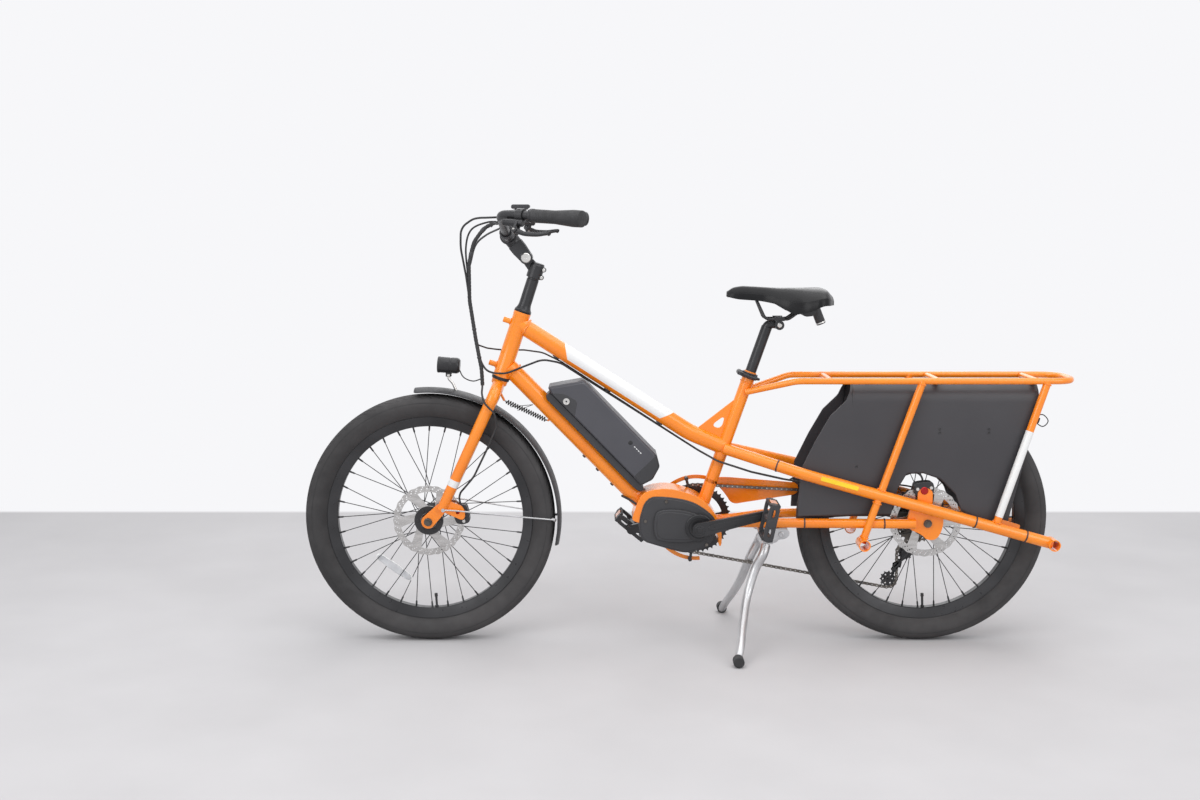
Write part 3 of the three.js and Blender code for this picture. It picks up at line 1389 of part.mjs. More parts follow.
function forkSolid() {
  const collarTop = along(headLow, steerUp, -seatGap * 2);
  const collarLow = along(collarTop, steerUp, -crownCollarLength);
  const collar = rod(collarLow, collarTop, headRadius - rimWall);
  const steererTop = along(headTop, steerUp, -seatGap);
  const steerer = rod(collarLow, steererTop, steererRadius);
  const boreLow = along(steererTop, steerUp, -riserSpigotLength - riserSpigotRadius);
  const steererBore = bore(boreLow, along(steererTop, steerUp, cutOverrun), riserSpigotRadius);
  const crown = tube(crownCorners, bladeTopRadius, { bend: crownBendRadius });
  const parts = [collar, steerer, crown];
  for (const side of sides) {
    const bladeTop = V(bladeTopX, side * bladeY, bladeTopZ);
    const bladeLow = V(bladeLowX, side * bladeY, bladeLowZ);
    const bladeStart = bladeTop.clone().lerp(bladeLow, crownReachShare * 0.9);
    parts.push(rod(bladeStart, bladeLow, bladeMiddleRadius, { radiusTo: bladeLowRadius }));
    const [lowY, highY] = side < 0 ? [-forkPlateOuterY, -forkPlateInnerY] : [forkPlateInnerY,
        forkPlateOuterY];
    const tip = arcPoints(frontAxleX, axleZ, forkPlateRadius, forkPlateRadius, Math.PI * 0.75,
        Math.PI * 1.75, 6);
    const root = [[bladeLowX + bladeLowRadius, bladeLowZ],
        [bladeLowX - bladeLowRadius * 0.6, bladeLowZ + bladeLowRadius]];
    parts.push(sidePlate([...tip, ...root], lowY, highY));
  }
  const mountTop = axleZ + caliperLength;
  const mountLow = axleZ + rimWall;
  const mountFront = bladeLowX + bladeLowRadius;
  const mountRear = frontAxleX + rotorRadius + rimWall;
  const tabOutline = [
    [mountFront - bladeLowRadius, mountTop + bladeLowRadius], [mountFront - bladeLowRadius,
        mountLow + bladeLowRadius * 2],
    [mountRear, mountLow], [mountRear, mountTop - bladeLowRadius],
  ];
  const tabOuterY = frontCaliperOuterY + seatGap + forkPlateThickness;
  parts.push(sidePlate(tabOutline, -tabOuterY, -frontCaliperOuterY - seatGap));
  parts.push(rod(lugFrom, springLugEnd, springTabThickness, { count: smallSides }));
  const axleHole = bore(V(frontAxleX, -armOuterY, axleZ), V(frontAxleX, armOuterY, axleZ), axleRadius);
  return cut(joined(...parts), steererBore, axleHole);
}
const fork = forkSolid();
addPart(bike, 'fork', fork, orangePaint);

// Riser that slides into the steerer, with a flare over the upper bearing
const riserTop = V(riserTopX, 0, riserTopZ);
const riserBase = along(headTop, steerUp, seatGap);
const riserRun = riserTop.clone().sub(riserBase).normalize();

function riserSolid() {
  const riserLength = riserTop.distanceTo(riserBase);
  const profile = [
    [0, 0],
    [riserFlareRadius, 0],
    [riserFlareRadius, riserFlareLength / 4],
    [steererRadius, riserFlareLength],
    [steererRadius, riserLength],
    [0, riserLength],
  ];
  const spigot = rod(along(riserBase, steerUp, -riserSpigotLength), along(riserBase, steerUp, rimWall),
      riserSpigotRadius);
  return joined(turned(profile, riserBase, riserRun), spigot);
}
addPart(bike, 'steerer_riser', riserSolid(), blackPaint);

// Stem base: the clamp round the riser, its cap and bolts, and the tongue for the tilt pivot
const stemPivot = V(stemPivotX, 0, stemPivotZ);

function stemBaseSolid() {
  const clampTop = along(riserTop, riserRun, rimWall);
  const clampLow = along(clampTop, riserRun, -stemClampLength);
  const capLow = along(clampTop, riserRun, -seatGap);
  const clamp = rod(clampLow, clampTop, stemClampRadius);
  const cap = rod(capLow, along(capLow, riserRun, rimWall * 2), stemCapRadius);
  const rearward = V(riserRun.z, 0, -riserRun.x);
  const ear = (distance) => {
    const centre = along(along(clampTop, riserRun, -distance), rearward, stemClampRadius);
    const reach = stemClampRadius * 0.7;
    const earRadius = stemBoltRadius * 1.4;
    return rod(along(centre, axisY, -reach), along(centre, axisY, reach), earRadius, { count: smallSides });
  };
  const bridgeFrom = along(clampTop, riserRun, -stemClampLength / 2);
  const eyeFrom = along(stemPivot, axisY, -stemTongueHalfWidth);
  const eye = rod(eyeFrom, along(stemPivot, axisY, stemTongueHalfWidth), stemEyeRadius);
  const bridge = rod(bridgeFrom, stemPivot, stemTongueHalfWidth, { count: thinTubeSides });
  const pinFrom = along(stemPivot, axisY, -stemCheekOuterY);
  const pin = rod(pinFrom, along(stemPivot, axisY, stemCheekOuterY), stemBoltRadius,
      { count: thinTubeSides });
  const riserHole = bore(along(clampLow, riserRun, -cutOverrun), along(riserTop, riserRun, seatGap),
      steererRadius);
  const solid = joined(clamp, cap, ear(stemClampLength * 0.2), ear(stemClampLength * 0.85), eye, bridge,
      pin);
  return cut(solid, riserHole);
}
addPart(bike, 'stem_base', stemBaseSolid(), blackPaint);

// Stem arm: two cheeks on the pivot, the neck and the clamp round the handlebar
const barClamp = V(barClampX, 0, barClampZ);

function stemArmSolid() {
  const armRun = barClamp.clone().sub(stemPivot).normalize();
  const neckStart = along(stemPivot, armRun, stemEyeRadius + barRadius);
  const cheekInner = stemTongueHalfWidth + seatGap;
  const cheeks = sides.map((side) => {
    const [low, high] = side < 0 ? [-stemCheekOuterY, -cheekInner] : [cheekInner, stemCheekOuterY];
    const eye = rod(V(stemPivotX, low, stemPivotZ), V(stemPivotX, high, stemPivotZ), stemEyeRadius);
    const width = high - low;
    const middle = (low + high) / 2;
    const bar = rod(V(stemPivotX, middle, stemPivotZ), V(neckStart.x, middle, neckStart.z), width / 2, {
      count: thinTubeSides,
    });
    return joined(eye, bar);
  });
  const neck = rod(neckStart, along(barClamp, armRun, -barCentreRadius), stemCheekOuterY - rimWall);
  const clamp = rod(along(barClamp, axisY, -barClampHalfWidth), along(barClamp, axisY, barClampHalfWidth),
      barClampRadius);
  const barHole = bore(along(barClamp, axisY, -cutOverrun), along(barClamp, axisY, cutOverrun),
      barCentreRadius);
  const slotFrom = along(stemPivot, axisY, -cheekInner);
  const tongueSlot = bore(slotFrom, along(stemPivot, axisY, cheekInner), stemEyeRadius + seatGap);
  const pinHole = bore(along(stemPivot, axisY, -cutOverrun), along(stemPivot, axisY, cutOverrun),
      stemBoltRadius);
  return cut(joined(...cheeks, neck, clamp), barHole, tongueSlot, pinHole);
}
addPart(bike, 'stem_arm', stemArmSolid(), blackPaint);

// Handlebar that rises from the stem and sweeps back to the grips
const gripStarts = sides.map((side) => V(gripStartX, side * gripStartY, gripStartZ));
const gripEnds = sides.map((side) => V(gripEndX, side * gripEndY, gripEndZ));

function handlebarSolid() {
  const gripRun = gripEnds[0].clone().sub(gripStarts[0]).normalize();
  const straightStart = along(gripStarts[0], gripRun, -leverSetback - leverClampLength);
  const left = [gripEnds[0], straightStart, V(barBendX, -barBendY, barTopZ)];
  const right = left.map((point) => V(point.x, -point.y, point.z)).reverse();
  const middle = sides.map((side) => V(barClampX, side * barFlatHalfWidth, barClampZ));
  const route = [...left, ...middle, ...right];
  const pipe = tube(route, barRadius, { bend: barRadius * 4 });
  const centre = rod(
    V(barClampX, -barCentreHalfWidth, barClampZ), V(barClampX, barCentreHalfWidth,
        barClampZ), barCentreRadius);
  return joined(pipe, centre);
}
addPart(bike, 'handlebar', handlebarSolid(), blackPaint);

// Grips on both ends of the bar
function gripSolid(start, run, length) {
  const boreRadius = clearOf(barRadius, gripSegments);
  const profile = [
    [boreRadius, gripInset],
    [gripRadius, gripInset],
    [gripWaistRadius, length * 0.5],
    [gripFlareRadius, length * 0.88],
    [gripFlareRadius, length + gripCapThickness / 2],
    [gripWaistRadius, length + gripCapThickness],
    [0, length + gripCapThickness],
    [0, length + seatGap],
    [boreRadius, length + seatGap],
    [boreRadius, gripInset],
  ];
  return turned(profile, start, run, gripSegments);
}

// Brake clamp below the bar, with two ears and the pin that its lever turns on
function leverMountSolid(clampCentre, run, down, leverAxis) {
  const pivot = along(clampCentre, down, Math.hypot(leverOut, leverDrop));
  const bodyCentre = along(clampCentre, down, leverClampRadius + leverRadius);
  const clampFrom = along(clampCentre, run, -leverClampLength / 2);
  const clampTo = along(clampCentre, run, leverClampLength / 2);
  const clampRing = rod(clampFrom, clampTo, leverClampRadius);
  const barHole = bore(along(clampFrom, run, -cutOverrun), along(clampTo, run, cutOverrun), barRadius);
  const bodyFrom = along(bodyCentre, run, -leverClampLength * 2);
  const body = rod(bodyFrom, along(bodyCentre, run, leverClampLength / 2), leverBodyRadius,
      { count: smallSides });
  const earInner = leverRadius + seatGap;
  const earOuter = leverRadius + leverEyeRadius / 2;
  const ears = rod(along(pivot, leverAxis, -earOuter), along(pivot, leverAxis, earOuter), leverEyeRadius, {
    count: smallSides,
  });
  const web = rod(bodyCentre, along(pivot, down, -leverEyeRadius / 2), earOuter, { count: 4 });
  const roomFrom = along(pivot, leverAxis, -earInner);
  const roomRadius = leverEyeRadius + seatGap * 2;
  const eyeRoom = rod(roomFrom, along(pivot, leverAxis, earInner), roomRadius * 1.1, { count: tubeSides });
  const pinFrom = along(pivot, leverAxis, -earInner - seatGap);
  const pin = rod(pinFrom, along(pivot, leverAxis, earInner + seatGap), leverPinRadius,
      { count: smallSides });
  return joined(cut(joined(clampRing, body, web, ears), eyeRoom, barHole), pin);
}

// Brake lever: an eye on the pin and a blade that lies under the grip
function brakeLeverSolid(pivot, run, down, leverAxis) {
  const eye = rod(along(pivot, leverAxis, -leverRadius), along(pivot, leverAxis, leverRadius),
      leverEyeRadius);
  const elbow = along(along(pivot, run, leverLength * 0.3), down, leverRadius);
  const tip = along(along(pivot, run, leverLength), down, -leverRadius / 2);
  const blade = tube([pivot, elbow, tip], leverRadius, { count: smallSides });
  const holeRadius = clearOf(leverPinRadius, tubeSides);
  const pinHole = rod(along(pivot, leverAxis, -cutOverrun), along(pivot, leverAxis, cutOverrun),
      holeRadius);
  return cut(joined(eye, blade), pinHole);
}

sides.forEach((side, i) => {
  const start = gripStarts[i];
  const run = gripEnds[i].clone().sub(start).normalize();
  const length = gripEnds[i].distanceTo(start);
  const clampCentre = along(start, run, -leverSetback);
  const lean = V(0, side * leverOut, -leverDrop);
  const down = lean.addScaledVector(run, -lean.dot(run)).normalize();
  const leverAxis = run.clone().cross(down).normalize();
  const pivot = along(clampCentre, down, Math.hypot(leverOut, leverDrop));
  const sideName = sideNames[side];
  addPart(bike, `${sideName}_grip`, gripSolid(start, run, length), rubberBlack);
  const mount = leverMountSolid(clampCentre, run, down, leverAxis);
  addPart(bike, `${sideName}_lever_mount`, mount, blackPaint);
  addPart(bike, `${sideName}_brake_lever`, brakeLeverSolid(pivot, run, down, leverAxis), blackPaint);
});

// Display on a small clamp over the bar
function displaySolid() {
  const slopeStart = V(barClampX, -barFlatHalfWidth, barClampZ);
  const slope = V(barBendX, -barBendY, barTopZ).sub(slopeStart);
  const centre = along(slopeStart, slope, (displayY - slopeStart.y) / slope.y);
  const direction = slope.normalize();
  const clampHalf = displayHeight / 2;
  const ringFrom = along(centre, direction, -clampHalf);
  const ringSolid = rod(ringFrom, along(centre, direction, clampHalf), barRadius + rimWall * 2);
  const hole = bore(along(centre, direction, -cutOverrun), along(centre, direction, cutOverrun), barRadius);
  const top = V(centre.x + displaySetback, centre.y, centre.z + displayLift);
  const neck = rod(centre, top, clampHalf, { count: smallSides });
  const [halfX, halfY, halfZ] = [displayLength / 2, displayWidth / 2, displayHeight / 2];
  const screen = box(top.x - halfX, top.x + halfX, top.y - halfY, top.y + halfY, top.z - halfZ,
      top.z + halfZ);
  return cut(joined(ringSolid, neck, screen), hole);
}
addPart(bike, 'display', displaySolid(), blackPlastic);

// Front fender: a thin crowned strip round the tyre, with its lug, wire stays and the light's arm
function fenderSolid() {
  const crownShares = [[1, -1], [0.55, 0]];
  const edge = crownShares.map(([share, drop]) => new THREE.Vector2(share * fenderHalfWidth,
      drop * fenderCrown));
  const mirrored = edge.map((point) => new THREE.Vector2(-point.x, point.y)).reverse();
  const top = [...edge, ...mirrored];
  const under = top.map((point) => new THREE.Vector2(point.x, point.y - fenderThickness)).reverse();
  const section = new THREE.Shape([...top, ...under]);
  const steps = Math.round((fenderStartAngle - fenderEndAngle) / fenderStepAngle);
  const arc = arcPoints(frontAxleX, axleZ, fenderRadius, fenderRadius, fenderEndAngle, fenderStartAngle,
      steps);
  const path = new StationPath(arc.map(([x, z]) => V(x, 0, z)), V(0, -1, 0));
  const strip = solidOf(new THREE.ExtrudeGeometry(section, { steps, extrudePath: path }));
  const axleCentre = V(frontAxleX, 0, axleZ);
  const stripRadius = fenderRadius - fenderThickness * 0.9;
  const lugRun = V(crownTopX, 0, crownTopZ).sub(axleCentre).normalize();
  const lugEnd = along(V(crownTopX, 0, crownTopZ), lugRun, -bladeTopRadius / 2);
  const lug = rod(along(axleCentre, lugRun, stripRadius), lugEnd, fenderLugRadius,
      { count: thinTubeSides });
  const wires = sides.map((side) => {
    const wireY = bladeY + bladeLowRadius + fenderWireRadius + seatGap;
    const start = V(bladeLowX + bladeLowRadius / 2, side * wireY, bladeLowZ + rimWall);
    const end = V(frontAxleX + stripRadius - fenderCrown, side * (fenderHalfWidth - fenderWireRadius),
        axleZ);
    return rod(start, end, fenderWireRadius, { count: smallSides });
  });
  const armFoot = along(axleCentre, V(Math.cos(lightArmAngle), 0, Math.sin(lightArmAngle)), stripRadius);
  const pivot = V(lightPivotX, 0, lightPivotZ);
  const knee = V((armFoot.x + lightPivotX) / 2, 0, lightPivotZ - lightEyeRadius);
  const arm = tube([armFoot, knee, pivot], lightArmRadius, { count: smallSides });
  const eyeFrom = along(pivot, axisY, -lightEyeHalfWidth);
  const eye = rod(eyeFrom, along(pivot, axisY, lightEyeHalfWidth), lightEyeRadius,
      { count: thinTubeSides });
  return joined(strip, lug, arm, eye, ...wires);
}

function headlightSolid() {
  const centre = V(lightX, 0, lightZ);
  const run = V(Math.cos(lightTilt), 0, -Math.sin(lightTilt));
  const half = lightLength / 2;
  const profile = [
    [0, -half],
    [lightRadius, -half],
    [lightRadius, half * 0.8],
    [lightRadius * 0.8, half],
    [0, half],
  ];
  const can = turned(profile, centre, run);
  const earOuter = lightEyeHalfWidth + rimWall * 1.6;
  const ears = box(lightPivotX - lightEyeRadius, lightPivotX + lightEyeRadius, -earOuter, earOuter,
    lightPivotZ - lightEyeRadius, lightZ - lightRadius * 0.6);
  const roomHalf = lightEyeHalfWidth + seatGap;
  const pivot = V(lightPivotX, 0, lightPivotZ);
  const room = bore(along(pivot, axisY, -roomHalf), along(pivot, axisY, roomHalf), lightEyeRadius * 1.5);
  return cut(joined(can, ears), room);
}
const headlight = headlightSolid();
addPart(bike, 'headlight', headlight, blackPaint);
const crownCutter = tube(crownCorners, bladeTopRadius + seatGap * 2, { bend: crownBendRadius });
const crownCollarLow = along(headLow, steerUp, -seatGap * 2 - crownCollarLength);
const collarCutter = bore(along(crownCollarLow, steerUp, -seatGap), headLow, headRadius);
const lugCutter = bore(lugFrom, springLugEnd, springTabThickness);
addPart(bike, 'front_fender', cut(fenderSolid(), crownCutter, collarCutter, lugCutter), blackPlastic);

// Brake calipers straddle the rotors
function caliperSolid(axleX, angle, innerY, outerY, rotorY) {
  const radial = V(Math.cos(angle), 0, Math.sin(angle));
  const tangent = V(-Math.sin(angle), 0, Math.cos(angle));
  const centre = V(axleX, 0, axleZ);
  const half = caliperLength / 2;
  const corner = (radius, reach) => {
    const point = along(along(centre, radial, radius), tangent, reach);
    return [point.x, point.z];
  };
  const chamfer = half * 0.7;
  const outline = [
    corner(caliperInnerRadius, -chamfer), corner(caliperInnerRadius,
        chamfer), corner(caliperInnerRadius + half / 2, half),
    corner(caliperOuterRadius - half / 4, half), corner(caliperOuterRadius,
        chamfer), corner(caliperOuterRadius, -chamfer),
    corner(caliperOuterRadius - half / 4, -half), corner(caliperInnerRadius + half / 2, -half),
  ];
  const body = sidePlate(outline, -outerY, -innerY);
  const slotFrom = V(axleX, rotorY - rotorClearance, axleZ);
  const slotTo = V(axleX, rotorY + rotorThickness + rotorClearance, axleZ);
  const slot = rod(slotFrom, slotTo, rotorRadius + rotorClearance, { count: rotorSegments });
  return cut(body, slot);
}
const frontCaliper = caliperSolid(frontAxleX, frontCaliperAngle, frontCaliperInnerY, frontCaliperOuterY,
    frontRotorY);
addPart(bike, 'front_caliper', frontCaliper, blackPaint);
const rearCaliper = caliperSolid(rearAxleX, rearCaliperAngle, rearCaliperInnerY, rearCaliperOuterY,
    rearRotorY);
addPart(bike, 'rear_caliper', rearCaliper, blackPaint);

// Seat clamp, its lever, the post and the saddle
const clampCentre = along(seatTubeTop, seatUp, -collarDrop + collarLength / 2);
const seatForward = V(-seatUp.z, 0, seatUp.x);
const clampPin = along(clampCentre, seatForward, clampEarReach - clampEarHeight / 2);

function seatClampSolid() {
  const low = along(clampCentre, seatUp, -collarLength / 2);
  const high = along(clampCentre, seatUp, collarLength / 2);
  const collar = rod(low, high, collarRadius);
  const ear = new THREE.BoxGeometry(clampEarHeight, clampEarHalfWidth * 2, clampEarReach);
  ear.translate(0, 0, clampEarReach / 2);
  const turn = new THREE.Quaternion().setFromUnitVectors(V(0, 0, 1), seatForward);
  const ears = solidOf(ear.applyQuaternion(turn).translate(clampCentre.x, clampCentre.y, clampCentre.z));
  const hole = bore(along(low, seatUp, -cutOverrun), along(high, seatUp, cutOverrun), seatTubeRadius);
  const pinFrom = V(clampPin.x, -clampEarHalfWidth - clampLeverHeight, clampPin.z);
  const pinTo = V(clampPin.x, clampEarHalfWidth + clampLeverThickness, clampPin.z);
  const pin = rod(pinFrom, pinTo, leverPinRadius, { count: thinTubeSides });
  return joined(cut(joined(collar, ears), hole), pin);
}
addPart(bike, 'seat_clamp', seatClampSolid(), blackPaint);

// The lever turns about a pin along the seat tube, at the left end of the clamp's own pin
function clampLeverSolid() {
  const pivot = V(clampPin.x, -clampEarHalfWidth - clampLeverHeight - leverEyeRadius, clampPin.z);
  const eye = rod(along(pivot, seatUp, -clampLeverHeight / 2), along(pivot, seatUp, clampLeverHeight / 2),
    leverEyeRadius - seatGap, { count: thinTubeSides });
  const elbow = along(along(pivot, seatForward, -clampLeverLength / 3), axisY, -clampLeverThickness / 2);
  const tip = along(along(pivot, seatForward, -clampLeverLength), axisY, clampLeverThickness);
  const blade = tube([pivot, elbow, tip], clampLeverThickness * 0.7, { count: thinTubeSides });
  return joined(eye, blade);
}
addPart(bike, 'clamp_lever', clampLeverSolid(), blackPaint);

const postTop = V(postTopX, 0, postTopZ);
const postRun = seatUp;
const postLow = along(seatTubeTop, seatUp, -postInsert);
const postCap = along(postLow, postRun, postInsert + postTop.distanceTo(seatTubeTop));

function seatPostSolid() {
  const post = rod(postLow, postCap, postRadius);
  const head = V(postHeadX, 0, postHeadZ);
  const neckRadius = postHeadRadius * 0.7;
  const neck = rod(along(postCap, postRun, -neckRadius), head, neckRadius, { count: thinTubeSides });
  const cradleHalf = postHeadRadius * 0.75;
  const cradle = rod(along(head, axisY, -postHeadHalfWidth), along(head, axisY, postHeadHalfWidth),
      cradleHalf);
  return joined(post, neck, cradle);
}
const cradleRise = postHeadRadius * 0.75 * Math.cos(Math.PI / tubeSides);
const clampZ = postHeadZ + cradleRise + seatGap + saddleRailRadius;
addPart(bike, 'seat_post', seatPostSolid(), blackPaint);

// Saddle: a crowned cushion with drawn-in sides on its two rails
function saddleCushion() {
  const length = saddleRearX - saddleNoseX;
  const widthShares = [[0, 0.1], [0.03, 0.18], [0.12, 0.23], [0.35, 0.27], [0.55, 0.52], [0.72, 0.88],
      [0.86, 1], [0.95, 0.86], [1, 0.35]];
  const topShares = [[0, -0.35], [0.04, 0], [0.14, 0.12], [0.5, 0], [0.75, 0], [0.9, 0.02], [0.96, -0.15],
      [1, -0.8]];
  const skirtShares = [[0, -0.5], [0.1, -0.7], [0.3, -0.78], [0.45, -0.95], [0.62, -1.6], [0.75, -1.4],
      [0.88, -1], [1, -1.02]];
  const read = (table, share) => {
    let index = 0;
    while (index < table.length - 2 && table[index + 1][0] < share) {
      index += 1;
    }
    const [fromX, from] = table[index];
    const [toX, to] = table[index + 1];
    const t = Math.min(1, Math.max(0, (share - fromX) / (toX - fromX)));
    const ease = t * t * (3 - 2 * t);
    return from + (to - from) * ease;
  };
  const places = [];
  const index = [];
  for (let i = 0; i <= saddleStations; i += 1) {
    const share = (1 - Math.cos(Math.PI * i / saddleStations)) / 2;
    const half = saddleHalfWidth * read(widthShares, share);
    const top = saddleTopZ + saddleDepth * read(topShares, share);
    const skirt = saddleTopZ + saddleDepth * read(skirtShares, share);
    const middleUnder = top - (top - skirt) * 0.62;
    for (let k = 0; k < saddleRingPoints; k += 1) {
      const angle = 2 * Math.PI * k / saddleRingPoints;
      const across = Math.sin(angle);
      const lift = Math.cos(angle);
      const roundShare = Math.sign(across) * Math.pow(Math.abs(across), 0.75);
      const upper = top - (top - skirt) * 0.55 * Math.pow(Math.abs(roundShare), 3);
      const lower = middleUnder + (skirt - middleUnder) * Math.pow(Math.abs(roundShare), 2);
      const pull = 1 - 0.1 * Math.max(0, -lift);
      const z = lift >= 0 ? upper : Math.min(lower, upper - saddleDepth * 0.05);
      places.push(saddleNoseX + length * share, half * roundShare * pull, z);
    }
  }
  for (let i = 0; i < saddleStations; i += 1) {
    for (let k = 0; k < saddleRingPoints; k += 1) {
      const next = (k + 1) % saddleRingPoints;
      const a = i * saddleRingPoints + k;
      const b = i * saddleRingPoints + next;
      index.push(a, b, a + saddleRingPoints, b, b + saddleRingPoints, a + saddleRingPoints);
    }
  }
  for (let k = 1; k < saddleRingPoints - 1; k += 1) {
    const end = saddleStations * saddleRingPoints;
    index.push(0, k + 1, k, end, end + k, end + k + 1);
  }
  const geometry = new THREE.BufferGeometry();
  geometry.setAttribute('position', new THREE.BufferAttribute(Float32Array.from(places), 3));
  geometry.setIndex(index);
  return solidOf(geometry);
}

function saddleSolid() {
  const length = saddleRearX - saddleNoseX;
  const rails = sides.map((side) => {
    const y = side * saddleRailY;
    const corners = [
      V(saddleNoseX + length * 0.27, side * saddleRailRadius, saddleTopZ - saddleDepth * 0.6),
      V(saddleNoseX + length * 0.36, y, clampZ),
      V(saddleNoseX + length * 0.58, y, clampZ),
      V(saddleNoseX + length * 0.76, y, saddleTopZ - saddleDepth * 1.1),
    ];
    return tube(corners, saddleRailRadius, { count: smallSides });
  });
  const blockFrom = saddleNoseX + length * 0.71;
  const blockTo = saddleNoseX + length * 0.86;
  const block = box(blockFrom, blockTo, -saddleRailY - saddleRailRadius, saddleRailY + saddleRailRadius,
    saddleTopZ - saddleDepth * 1.85, saddleTopZ - saddleDepth * 0.7);
  const barrelTop = V(blockTo, 0, saddleTopZ - saddleDepth * 1.2);
  const barrelEnd = V(blockTo + saddleDepth * 0.45, 0, saddleTopZ - saddleDepth * 2.3);
  const barrel = rod(barrelTop, barrelEnd, saddleDepth * 0.3);
  return joined(saddleCushion(), ...rails, block, barrel);
}
addPart(bike, 'saddle', saddleSolid(), glossBlack);

// Kickstand bracket under the chain stays
function standBracketSolid() {
  const plateTop = chainStayWideZ - chainStayRadius;
  const plate = box(standPlateFrontX, standPlateRearX, -standPlateHalfWidth, standPlateHalfWidth,
    plateTop - standPlateThickness * 2, plateTop + chainStayRadius / 2);
  const cheekOuterY = standCheekInnerY + standCheekThickness;
  const cheekOutline = [
    [standPivotX - standCheekHalfWidth, plateTop],
    ...arcPoints(standPivotX, standPivotZ, standCheekHalfWidth, standCheekHalfWidth, Math.PI, 2 * Math.PI,
        5),
    [standPivotX + standCheekHalfWidth, plateTop],
  ];
  const cheeks = sides.map((side) => {
    const [low, high] = side < 0 ? [-cheekOuterY, -standCheekInnerY] : [standCheekInnerY, cheekOuterY];
    return sidePlate(cheekOutline, low, high);
  });
  const pinHalf = cheekOuterY + rimWall;
  const pinFrom = V(standPivotX, -pinHalf, standPivotZ);
  const pin = rod(pinFrom, V(standPivotX, pinHalf, standPivotZ), standPinRadius, { count: thinTubeSides });
  const stayCutters = sides.map((side) => tube([
    V(chainStayFrontX, side * chainStayFrontY, chainStayFrontZ),
    V(chainStayKinkX, side * chainStayFrontY, chainStayKinkZ),
    V(chainStayWideX, side * chainStayWideY, chainStayWideZ),
    V(chainStayEndX, side * chainStayEndY, axleZ),
  ], chainStayRadius + seatGap, { bend: chainStayWideY }));
  return cut(joined(plate, ...cheeks, pin), ...stayCutters);
}
addPart(bike, 'kickstand_bracket', standBracketSolid(), silverMetal);

// Route of a stand leg, in shares of its run forward, its run outward and its fall
const standLegShares = [
  [0, -0.05, 0],
  [0.1, 0.03, 0.09],
  [0.33, 0.02, 0.25],
  [0.57, 0.13, 0.5],
  [0.75, 0.46, 0.71],
  [0.9, 0.86, 0.9],
  [1, 1, 1],
];

// Kickstand: a yoke on the pivot and two legs that bend out to rubber feet
function standSolid() {
  const bossHalf = standCheekInnerY - seatGap;
  const pivot = V(standPivotX, 0, standPivotZ);
  const boss = rod(along(pivot, axisY, -bossHalf), along(pivot, axisY, bossHalf), standCheekHalfWidth);
  const yokeCentre = V(standYokeX, 0, standYokeZ);
  const yoke = rod(along(yokeCentre, axisY, -standYokeY), along(yokeCentre, axisY, standYokeY),
      standLegRadius);
  const web = rod(pivot, yokeCentre, standLegRadius * 0.8, { count: smallSides });
  const footZ = standFootRadius * Math.cos(Math.PI / tubeSides) - standFootFlat;
  const footInnerY = standFootY - standFootLength;
  const legs = sides.map((side) => {
    const corners = standLegShares.map(([forward, outward, fall]) => V(
      standYokeX + (standFootX - standYokeX) * forward,
      side * (standYokeY + (footInnerY - standYokeY) * outward),
      standYokeZ + (footZ - standYokeZ) * fall));
    const footMiddle = V(standFootX, side * (footInnerY + standFootLength / 2), footZ);
    return tube([...corners, footMiddle], standLegRadius, { bend: standYokeY, count: thinTubeSides });
  });
  const feet = sides.map((side) => {
    const footStart = V(standFootX, side * footInnerY, footZ);
    return rod(footStart, V(standFootX, side * standFootY, footZ), standFootRadius);
  });
  const pinHole = bore(along(pivot, axisY, -cutOverrun * 2), along(pivot, axisY, cutOverrun * 2),
      standPinRadius);
  const floorReach = standFootY + cutOverrun;
  const floor = box(standFootX - cutOverrun, standFootX + cutOverrun, -floorReach, floorReach, -cutOverrun,
      0);
  return cut(joined(boss, yoke, web, ...legs, ...feet), pinHole, floor);
}
addPart(bike, 'kickstand', standSolid(), silverMetal);

// Steering spring: one unbroken wire of close curls between the fork's lug and the down tube's tab
function springStations() {
  const across = V(-springRun.z, 0, springRun.x);
  const coilLength = springFront.distanceTo(springRear);
  const stations = [];
  const steps = springCurls * springCurlSteps;
  const hookRoom = springHook - springTabThickness - springWireRadius - seatGap;
  stations.push(along(springFront, springRun, -hookRoom));
  for (let i = 0; i <= steps; i += 1) {
    const angle = 2 * Math.PI * i / springCurlSteps;
    const place = along(springFront, springRun, coilLength * i / steps);
    place.addScaledVector(across, springCoilRadius * Math.cos(angle));
    place.addScaledVector(axisY, springCoilRadius * Math.sin(angle));
    stations.push(place);
  }
  stations.push(along(springRear, springRun, hookRoom));
  return stations;
}

// Smallest gap between the curls of a coiled wire, measured between its stations a curl apart.
function leastCoilGap(stations) {
  let least = Infinity;
  for (let i = 1; i < stations.length - 1 - springCurlSteps; i += 1) {
    for (let k = springCurlSteps / 2; k <= springCurlSteps * 2 && i + k < stations.length - 1; k += 1) {
      least = Math.min(least, stations[i].distanceTo(stations[i + k]) - 2 * springWireRadius);
    }
  }
  return least;
}
const coilStations = springStations();
console.log('least gap between the curls of the steering spring, mm:',
    leastCoilGap(coilStations).toFixed(2));
const springSection = new THREE.Shape(ringPoints(springWireRadius, springWireRadius, springWireSides));
const springGeometry = new THREE.ExtrudeGeometry(springSection, {
  steps: coilStations.length - 1, extrudePath: new StationPath(coilStations),
});
addPart(bike, 'steering_spring', solidOf(springGeometry), darkSteel);

